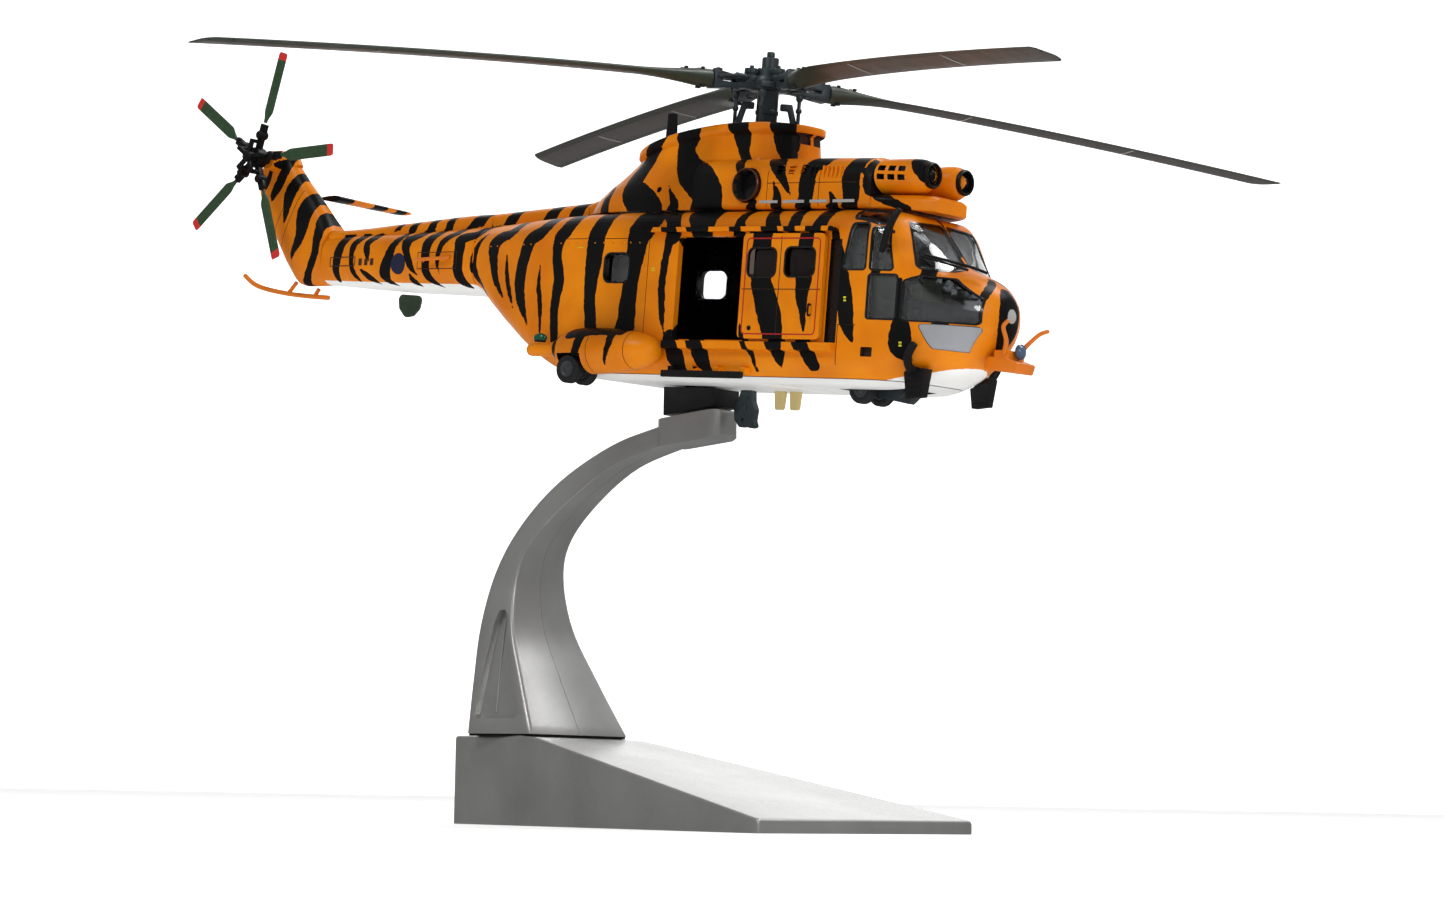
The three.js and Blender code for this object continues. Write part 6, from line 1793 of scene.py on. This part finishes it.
# ------------------------------------------------------------------ rotors
BLADE_ROOT, BLADE_SPAN, DROOP = 11.5, 92.7, 5.35
BLADE_NUTS = ((13.2, 0.8, 1.35), (13.2, -0.9, 1.35), (16.2, 0.4, 1.15), (16.2, -1.3, 1.1))
TAIL_SPOKE = 72
AZIMUTHS = [64.3 + 90 * i for i in range(4)]


def spun(o, degrees, place=Matrix.Identity(4)):
    """A copy turned about the Z axis, then brought to its place."""
    return copy(o, place @ Matrix.Rotation(math.radians(degrees), 4, "Z"))


def main_rotor():
    """The mast and head, the four blades and the swashplate with its links."""
    mast = [
        (0, -15.6), (1.75, -15.6), (1.9, -15.4), (1.9, -5.2), (2.05, -5), (2.05, -4.5), (1.9, -4.3),
        (1.9, -1), (3.3, -1), (3.42, -0.85), (3.42, 0.6), (3.1, 1.5), (2.5, 1.5), (2.5, 2.7), (2.2, 2.9),
        (1.5, 2.9), (1.5, 4.8), (1.4, 5.0), (0, 5.0),
    ]
    parts = [turned(mast, (0, 0, 0), UP, 48), hexnut((0, 0, 4.95), 1.55, 1.1)]
    for a in around(8) + 0.2:
        parts.append(hexnut((1.95 * math.cos(a), 1.95 * math.sin(a), 1.45), 0.55, 1.65))
    arm = []
    # The yoke from the hub outwards: distance, half width, bottom, top.
    rows = ((1.5, 1.2, -0.9, 1.1), (5, 1.15, -0.95, 1), (8, 1.5, -1.3, 1.2), (11.2, 1.75, -1.65, 1.6))
    yoke = loft([[(x, w, lo), (x, -w, lo), (x, -w, hi), (x, w, hi)] for x, w, lo, hi in rows])
    # Slot and lightening hole that part the yoke into two lugs.
    yoke = cut(yoke, box(6.4, 9.6, -3, 3, -0.28, 0.22), bar((8, 0, -3), (8, 0, 3), 0.45))
    arm.append(yoke)
    arm.append(
        turned(
            [
                (0, 0.5), (1.35, 0.5), (1.35, 1.2), (1.16, 1.3), (1.16, 1.7), (1.3, 1.8), (1.25, 2.7),
                (0, 2.7),
            ],
            (3.5, 0, 0), UP, 28,
        )
    )
    arm.append(hexnut((3.5, 0, 2.65), 0.85, 0.62))
    arm.append(box(10, 10.5, -1.1, 1.1, 1.2, 2))
    arm.append(box(3.9, 5.6, -3.95, -0.9, -0.9, 0.1))
    for y in (-1.15, 1.15):
        arm.append(hexnut((9.9, y, 1.45), 0.6, 0.45))
        arm.append(bar((6.6, y * 0.9, -1.5), (6.6, y * 0.9, 1.45), 0.26, sides=14))
    arm.append(tube([(4.6, 1.1, 0.9), (6.2, 2.3, 0.9), (8.2, 2.6, 0.7), (10.6, 1.9, 0.4)], 0.3, 12))
    arm.append(
        turned(
            [(0, 0), (0.55, 0), (0.62, 0.3), (0.62, 2.4), (0.45, 2.6), (0, 2.6)], (5.2, 1.6, 0.75),
            (0.9, 0.35, 0), 16,
        )
    )
    arm = join(*arm)
    hubs = [spun(arm, a) for a in AZIMUTHS]
    drop(arm)
    piece(
        "rotor_head", join(*parts, *hubs), HEAD, body="main_rotor", replaces=["rotor_hub"],
        slot="rotor_grey", bevel=0.1, segments=2,
    )

    rows = [
        (11.5, 1.9, -1.9, 3.2), (14, 2.1, -2.4, 3.1), (18, 2.4, -3.4, 2.5), (22, 2.6, -4.3, 1.9),
        (26.5, 2.7, -4.7, 1.5), (50, 2.7, -4.7, 1.35), (78, 2.7, -4.7, 1.25), (101, 2.7, -4.7, 1.15),
        (102.4, 2, -4.7, 1), (103.5, 0.2, -4.7, 0.8), (104.2, -2.8, -4.7, 0.6),
    ]
    def blade_ring(r, a, proud=0.0):
        """Points of the blade's outline at radius r, at the angles a around it."""
        _, le, te, t = station(rows, r)
        if r > 103:
            t *= 1 - 0.35 * (r - 103) / 1.2
        droop = -DROOP * ((r - BLADE_ROOT) / BLADE_SPAN) ** 1.5
        rnd = min(max((r - 14) / 10, 0), 1)
        taper = np.maximum(1 - rnd * 0.42 * (1 - np.cos(a)), 0.12)
        y = (le + te + np.cos(a) * (le - te)) / 2
        return np.column_stack([np.full(len(a), r), y, droop + (t / 2 * taper + proud) * np.sin(a)])

    radii = [
        *np.linspace(11.5, 28, 22), *np.linspace(30, 100, 36), 101, 101.5, 102, 102.4, 102.8, 103.2, 103.5,
        103.75, 104, 104.2,
    ]
    blade = loft([blade_ring(r, around(40)) for r in radii])

    def blade_values(p):
        mid = -DROOP * np.clip((p[:, 0] - BLADE_ROOT) / BLADE_SPAN, 0, 1) ** 1.5
        return {"radius": p[:, 0], "chord": p[:, 1], "under": (p[:, 2] < mid - 0.004).astype(float)}

    for i, az in enumerate(AZIMUTHS):
        pitch = 1 + 10 * math.cos(math.radians(az - 154.3))
        turn = Matrix.Rotation(math.radians(az), 4, "Z") @ Matrix.Rotation(math.radians(pitch), 4, "X")
        piece(
            f"main_blade_{i + 1}", copy(blade), BLADE, body="main_rotor", replaces=[f"rotor_blade_{i + 1}"],
            slot="blade_green", attributes=blade_values, to=TO_ROW @ turn,
        )
        fitting = [hexnut(at, 0.8, 0.4) for at in BLADE_NUTS]
        fitting += [turned(pin(0.5, 0.35), (13.2, y, -1.5), (0, 0, -1), 16) for y in (0.8, -0.9)]
        piece(
            f"blade_bolts_{i + 1}", join(*fitting), HEAD_DARK, body="main_rotor", slot="blade_green",
            to=TO_ROW @ turn, bevel=0.03, segments=1,
        )
        marks = []
        for r in (38.6, 72.4):
            marks.append(loft([blade_ring(k, np.linspace(-2.4, -0.9, 14), 0.05) for k in (r, r + 0.28)]))
        piece(
            f"blade_marks_{i + 1}", join(*marks), PALE, body="main_rotor", slot="blade_green",
            to=TO_ROW @ turn,
        )
    drop(blade)

    plate = turned(
        [
            (2.2, -9.8), (6.1, -9.8), (6.4, -9.6), (6.4, -9.0), (6.1, -8.8), (4.6, -8.8), (4.4, -8.6),
            (2.6, -8.6), (2.2, -8.8),
        ],
        (0, 0, 0), UP, 56,
    )
    links = []
    for az in AZIMUTHS:
        t = math.radians(az - 34.8)
        x, y = 5.65 * math.cos(t), 5.65 * math.sin(t)
        link = [
            (0, -9.6), (0.62, -9.6), (0.72, -9.2), (0.72, -8.1), (0.4, -7.7), (0.34, -7.4), (0.34, -4.6),
            (0.55, -4.4), (0.55, -3.9), (0.34, -3.7), (0.34, -2.6), (0.62, -2.2), (0.66, -1.7), (0.5, -1.3),
            (0, -1.3),
        ]
        links.append(turned(link, (x, y, 0), UP, 24))
    scissors = []
    link = prism(
        fillet([(2.25, -4.2), (2.25, -3), (4.4, -3), (6.1, -9), (4.9, -9), (3.6, -4.2)], 0.3, 3), "y",
        -0.55, 0.55,
    )
    for d in (39.7, 219.7):
        scissors.append(spun(link, d))
    drop(link)
    piece(
        "swash", join(plate, *links, *scissors), HEAD, body="main_rotor", replaces=["swashplate"],
        slot="rotor_grey", bevel=0.1,
    )


def tail_rotor():
    """The five-blade tail rotor, drawn about its own shaft and then brought to its place."""
    place = Matrix.Translation((TAIL_SHAFT_X, -7.5, TAIL_SHAFT_Z)) @ Matrix.Rotation(math.pi / 2, 4, "X")
    first = 90 - 14.1
    shaft = [
        (0, -4.2), (0.84, -4.2), (0.84, -1.2), (2, -1.2), (2.05, -0.9), (1.95, 0.9), (1.8, 1.1), (1.1, 1.1),
        (1.1, 2.7), (0.9, 3), (0, 3),
    ]
    shaft = turned(shaft, (0, 0, 0), UP, 36)
    spoke = [
        box(1, 5.4, -0.5, 0.5, -0.6, 0.6),
        turned([(0, -1), (0.75, -1), (0.85, -0.85), (0.85, 0.9), (0.7, 1.1), (0, 1.1)], (4.5, 0, 0), UP, 20),
        box(5, 6.7, -0.75, 0.75, -0.45, 0.45),
        box(0.6, 3.5, -0.4, 0.4, 1.9, 2.6),
        box(2.8, 3.5, -0.4, 0.4, 0.3, 2.4),
        bar((6.1, 0, -0.62), (6.1, 0, 0.62), 0.3, sides=12),
    ]
    spoke = join(*spoke)
    hub = [spun(shaft, 0, place)] + [spun(spoke, first + TAIL_SPOKE * i, place) for i in range(5)]
    for o in (shaft, spoke):
        drop(o)
    piece(
        "tail_rotor_head", join(*hub), BLACK, body="tail_rotor", replaces=["tail_hub"],
        slot="black_plastic", bevel=0.1,
    )
    rings = []
    rows = [
        (7, 0.4, -0.4, 0.8), (7.8, 0.5, -0.6, 0.75), (9.6, 1, -1.4, 0.6), (20.6, 1, -1.4, 0.45),
        (21.1, 0.8, -1.2, 0.3),
    ]
    for r in [
        7, 7.2, 7.5, 7.8, 8.2, 8.7, 9.2, 9.6, 10.2, *np.linspace(11, 20, 9), 20.3, 20.6, 20.85, 21, 21.1,
    ]:
        _, le, te, t = station(rows, r)
        chordwise, up = foil(le, te, t, 32)
        rings.append(np.column_stack([np.full(32, r), chordwise, up * (1 if r < 21 else 0.6)]))
    blade = loft(rings)
    for i in range(5):
        turn = place @ Matrix.Rotation(math.radians(first + TAIL_SPOKE * i), 4, "Z")
        piece(
            f"tail_rotor_blade_{i + 1}", copy(blade), TAIL_BLADE, body="tail_rotor",
            replaces=[f"tail_blade_{i + 1}"], slot="blade_green", attributes=lambda p: {"radius": p[:, 0]},
            to=TO_ROW @ turn,
        )
    drop(blade)


# ------------------------------------------------------------------ stand, in the row frame
ARM_FOOT_Z, ARM_HEIGHT = 16.3, 52
# Across the arm from rear to front: share of the way, how far the rounded edge falls back.
ARM_EDGES = (
    (0, 0.6), (0.012, 0.28), (0.035, 0.08), (0.07, 0), (0.3, 0), (0.5, 0), (0.7, 0), (0.93, 0), (0.965, 0.08),
    (0.988, 0.28), (1, 0.6),
)
# The arm's rear and front edge from foot to cup: x, z.
ARM_REAR = [
    (-37.4, 16.3), (-38.5, 25.2), (-39.2, 36), (-37.4, 46.2), (-32.6, 54.6), (-24.4, 62.2), (-12.6, 68.2),
    (-0.7, 71.3),
]
ARM_FRONT = [
    (-21.4, 16.3), (-26.6, 26.4), (-31, 35.9), (-31.9, 45.2), (-29.2, 51.9), (-21.6, 58.6), (-11.7, 64.4),
    (0.5, 67.9),
]


def stand():
    """The wedge-shaped base, the curved arm with its recesses and the pad with its peg."""
    lo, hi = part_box("stand_base")
    lo, hi = lo * 1000, hi * 1000
    length, front = hi.x - lo.x, hi.y
    rear_half, flat, lip = STAND["rearHalf"], STAND["flat"], STAND["lip"]
    slope_start = lo.x + flat

    def height(x):
        return hi.z if x <= slope_start else hi.z - (hi.z - lip) * (x - slope_start) / (length - flat)

    rings = []
    xs = [
        lo.x, lo.x + 0.12, lo.x + 0.35, lo.x + 0.6, lo.x + 1.5, *np.linspace(lo.x + 4, hi.x - 3, 16),
        hi.x - 1.2, hi.x - 0.6, hi.x - 0.3, hi.x - 0.1, hi.x,
    ]
    for x in xs:
        d = min(x - lo.x, hi.x - x)
        inset = 0.45 * (1 - math.sqrt(max(0, 1 - (1 - min(d, 0.6) / 0.6) ** 2)))
        w = rear_half + (front - rear_half) * (x - lo.x) / length - inset
        blend = sum(
            height(x + k) for k in (-1, -0.5, 0, 0.5, 1)
        ) / 5 if abs(x - slope_start) < 2 else height(x)
        h = blend - inset
        ring = [(x, w, 0)]
        for k in range(5):
            t = k / 4 * math.pi / 2
            ring.append((x, w - 0.6 + 0.6 * math.cos(t), h - 0.6 + 0.6 * math.sin(t)))
        ring += [(x, -y, z) for x, y, z in reversed(ring)]
        rings.append(ring)
    base = loft(rings)
    piece("base", base, SILVER, body="stand", replaces=["stand_base"], slot="silver_paint", to=MM, sharp=50)

    rear, front_line = smooth_line(ARM_REAR, 12), smooth_line(ARM_FRONT, 12)

    def half(z):
        t = min(max((z - ARM_FOOT_Z) / ARM_HEIGHT, 0), 1)
        return STAND["topHalf"] + (STAND["bottomHalf"] - STAND["topHalf"]) * (1 - t) ** 1.42

    def arm_rings(shrink=0.0):
        out = []
        for r, f in zip(rear[::2], front_line[::2]):
            hr, hf = half(r[1]) - shrink, half(f[1]) - shrink
            ring = []
            for t, drop_in in ARM_EDGES:
                ring.append(
                    (r[0] + (f[0] - r[0]) * t, hr + (hf - hr) * t - drop_in, r[1] + (f[1] - r[1]) * t)
                )
            ring += [(x, -y, z) for x, y, z in reversed(ring)]
            out.append(ring)
        return out

    arm = loft(arm_rings())
    cup = prism(
        fillet([(-2.6, 68.4), (-2.6, 72.2), (11.9, 73.6), (11.9, 69.2), (9.5, 68.4), (-1.4, 67.4)], 0.5, 4),
        "y", -3.9, 3.9,
    )
    plan = fillet([(-2.6, -3.9), (11.9, -3.9), (11.9, 3.9), (-2.6, 3.9)], 2.6, 8)
    cup = clip(cup, prism(plan, "z", 60, 80))
    fuse(arm, cup)
    outline = fillet(
        [
            (-36.2, 19), (-25.6, 19), (-29.6, 28), (-32.2, 36.8), (-33.4, 38.9), (-34.9, 38.7),
            (-35.6, 36.4), (-36.1, 28),
        ],
        0.9, 5,
    )
    for _, s in SIDES:
        pocket = cut(prism(outline, "y", 0, 20), loft(arm_rings(1.5)))
        cut(arm, on_side(pocket, s))
    # Mould line down the middle of the arm's front edge, and the fine ribs in each recess.
    seam = []
    for k, (x, z) in enumerate(front_line[:-8:2]):
        seam.append(
            [
                (x - 0.3, -0.16, z), (x + 0.07, -0.07, z - 0.02), (x + 0.07, 0.07, z - 0.02),
                (x - 0.3, 0.16, z),
            ]
        )
    ridge = loft(seam)
    piece(
        "arm", arm, SILVER, body="stand", replaces=["stand_arm"], slot="silver_paint", bevel=0.28,
        segments=3, to=MM, sharp=40,
    )
    foot = loft(
        [
            [
                (x, y, z) for x, y in (
                    (-37, -half(ARM_FOOT_Z) + 0.4), (-21.8, -half(ARM_FOOT_Z) + 0.4),
                    (-21.8, half(ARM_FOOT_Z) - 0.4), (-37, half(ARM_FOOT_Z) - 0.4),
                )
            ] for z in (hi.z - 0.1, 16.5)
        ]
    )
    piece("arm_foot", foot, BLACK, body="stand", slot="silver_paint", to=MM)
    piece("arm_ridge", ridge, SILVER, body="stand", slot="silver_paint", to=MM)
    bars = []
    for _, s in SIDES:
        points = []
        for z in np.linspace(20.2, 37, 12):
            x = np.interp(z, [19, 28, 36.8, 38], [-32.2, -33.5, -34.2, -34.2])
            points.append((x, s * (half(z) - 1.45), z))
        bars.append(tube(points, 0.22, 10, 3))
    piece("recess_ribs", join(*bars), SILVER, body="stand", slot="silver_paint", to=MM)

    lo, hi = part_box("stand_pad")
    lo, hi = lo * 1000, hi * 1000
    rear_x, front_x = lo.x, hi.x

    def belly(x):
        """Height of the belly above the stand's ground."""
        return 130.43 - (x - 19.58) * math.tan(NOSE_DOWN) - 53.4 / math.cos(NOSE_DOWN)

    y = hi.y
    block = prism(
        fillet(
            [
                (rear_x, 72.9), (3.2, 73.3), (7.4, 73.7), (front_x, 74.1),
                (front_x, belly(front_x) - STAND["gap"]), (rear_x, belly(rear_x) - STAND["gap"]),
            ],
            0.12, 2,
        ),
        "y", -y, y,
    )
    fuse(block, box(3, 7.6, -1.6, 1.6, 76, belly(5) + 1.8))
    piece("pad", block, SATIN, body="stand", replaces=["stand_pad"], slot="black_plastic", bevel=0.18, to=MM)


# ------------------------------------------------------------------ small marks


def on_flank(x, z):
    """Distance from the middle to the port side of the fuselage or boom at a height."""
    ring = np.array(section(body_row(x), 0, 25))
    port = ring[ring[:, 1] > 0]
    order = np.argsort(port[:, 2])
    return float(np.interp(z, port[order, 2], port[order, 1]))


def mark(outline, thick=0.06):
    """A printed mark: a thin plate that follows the flank under a flat outline."""
    o = prism(outline, "y", 0, 1)
    bm = bmesh.new()
    bm.from_mesh(o.data)
    densify(bm, 0.9, 6, lambda e: abs(e.verts[0].co.y - e.verts[1].co.y) < 0.5)
    for v in bm.verts:
        v.co.y = on_flank(v.co.x, v.co.z) + (thick if v.co.y > 0.5 else -0.25)
    bm.to_mesh(o.data)
    bm.free()
    return o


def disc(x, z, r, n=32):
    return [(x + r * math.cos(a), z + r * math.sin(a)) for a in around(n)]


RIVET_STEP = 2.1
# The four lines of a box near the boom's end and of the panel in front of it: x from, z from, x to, z to.
BOX_MARK = (
    (-101.7, -32.4, -93.9, -32.25), (-101.7, -30.75, -93.9, -30.6), (-101.7, -32.3, -101.55, -30.7),
    (-94.05, -32.3, -93.9, -30.7),
)
BOOM_PANEL = (
    (-75.9, -33.2, -64.8, -33.07), (-75.9, -30.13, -64.8, -30), (-75.9, -33.1, -75.77, -30.1),
    (-64.93, -33.1, -64.8, -30.1),
)


def marks():
    """Generic marks in place of lettering and badges, and the rivet lines."""
    for side, _ in SIDES:
        roundel = mark(disc(-81.3, -32.1, 2.0))
        side_piece("disc_mark", side, roundel, NAVY, sharp=50)
        bars = [mark(rect(-92.8 + 1.7 * k, -32.3, -91.9 + 1.7 * k, -31.0)) for k in range(3)]
        bars += [mark(rect(*corners)) for corners in BOX_MARK]
        side_piece("boom_marks", side, join(*bars), INK, sharp=50)
        spots = [
            mark(rect(x, z, x + 0.5, z + 0.3)) for x, z in (
                (31.2, -38.9), (31.25, -39.4), (42.2, -46.2), (42.25, -46.7),
            )
        ]
        spots += [
            mark(rect(x, z, x + w, z + 0.16)) for x, z, w in (
                (-29.5, -30.2, 1.2), (-11.9, -33.9, 0.8), (-11.9, -34.3, 0.8),
            )
        ]
        side_piece("service_marks", side, join(*spots), YELLOW, sharp=50)
        panel = [rect(*corners) for corners in BOOM_PANEL]
        side_piece("boom_panel", side, join(*[mark(e, 0.03) for e in panel]), SEAM, sharp=50)
        rivets = [(x, -29.3) for x in np.arange(-57, -14, RIVET_STEP)]
        rivets += [(-13.3, z) for z in np.arange(-46, -30, RIVET_STEP)]
        dome = [(0, 0), (0.16, 0), (0.13, 0.06), (0, 0.09)]
        dots = [turned(dome, (x, on_flank(x, z), z), PORT, 8) for x, z in rivets]
        side_piece("rivets", side, join(*dots), ORANGE)
    badge = turned(
        [(0, 0), (1.2, 0), (1.2, 0.12), (1.0, 0.2), (0, 0.2)], (55.8, 0.1, -40.3), (1, 0, 0.02), 36,
    )
    piece("nose_badge", badge, PALE)


# ------------------------------------------------------------------ build everything
fuselage()
interior()
crew()
doors()
tail()
engines()
gear()
fittings()
main_rotor()
tail_rotor()
stand()
marks()
for left_over in [o for o in bpy.data.objects if o.name.startswith("work")]:
    drop(left_over)

# ------------------------------------------------------------------ floor and light


def lamp(name, where, target, size, power):
    """A round lamp that points at the target."""
    data = bpy.data.lights.new(name, "AREA")
    data.shape, data.size, data.energy = "DISK", size, power
    o = bpy.data.objects.new(name, data)
    scene.collection.objects.link(o)
    o.location = where
    o.rotation_euler = (Vector(target) - Vector(where)).to_track_quat("-Z", "Y").to_euler()


WALL_RADIUS, WALL_TOP, WALL_STEP = 2.2, 2.2, 9
FLOOR_GLOW, WALL_GLOW, ROOM_GLOW = 0.45, 1.0, 0.2


def glowing_white(name, mesh, rough, glow):
    """White paint with a light of its own."""
    paint = Paint(name, (0.9, 0.9, 0.9), rough[0])
    paint.bsdf.inputs["Emission Color"].default_value = (1, 1, 1, 1)
    paint.bsdf.inputs["Emission Strength"].default_value = glow
    paint.set("Roughness", paint.grey(paint.noise(0.01, 3), *rough))
    mesh.materials.append(paint.mat)


def backdrop(name, first, steps, glossy):
    """White wall along part of a ring round the object: first angle, number of nine-degree steps."""
    verts, faces = [], []
    for k in range(steps + 1):
        a = math.radians(first + WALL_STEP * k)
        for z in (-0.05, WALL_TOP):
            verts.append((WALL_RADIUS * math.cos(a), WALL_RADIUS * math.sin(a), z))
    for k in range(steps):
        faces.append((2 * k, 2 * k + 2, 2 * k + 3, 2 * k + 1))
    mesh = bpy.data.meshes.new(name)
    mesh.from_pydata(verts, [], faces)
    wall = bpy.data.objects.new(name, mesh)
    scene.collection.objects.link(wall)
    glowing_white(name + "_white", mesh, (0.75, 0.85), WALL_GLOW)
    wall.visible_diffuse = False
    wall.visible_glossy = glossy


def studio():
    """White floor and backdrop with a dim room in front of them, so that dark paint stays dark."""
    bm = bmesh.new()
    bmesh.ops.create_grid(bm, x_segments=8, y_segments=8, size=4)
    mesh = bpy.data.meshes.new("floor")
    bm.to_mesh(mesh)
    bm.free()
    floor = bpy.data.objects.new("floor", mesh)
    scene.collection.objects.link(floor)
    glowing_white("floor_white", mesh, (0.55, 0.65), FLOOR_GLOW)
    floor.visible_glossy = False
    # The stretch behind the object also shows in its gloss. The rest of the ring is only a white background.
    backdrop("backdrop", 93.66, 8, True)
    backdrop("surround", 165.66, 32, False)
    world = bpy.data.worlds.new("studio")
    world.use_nodes = True
    background = world.node_tree.nodes["Background"]
    background.inputs["Color"].default_value = (1, 1, 1, 1)
    background.inputs["Strength"].default_value = ROOM_GLOW
    scene.world = world
    target = (0.01, 0, 0.09)
    lamp("key", (-0.1, -0.8, 0.95), target, 0.25, 3.6)
    lamp("front", (0.95, -0.4, 0.45), target, 0.25, 2.2)
    lamp("top", (0.4, 0.55, 1.1), target, 0.5, 8)
    view = scene.view_settings
    view.view_transform = "Standard"
    view.look = "None"
    view.exposure = 0.0


studio()
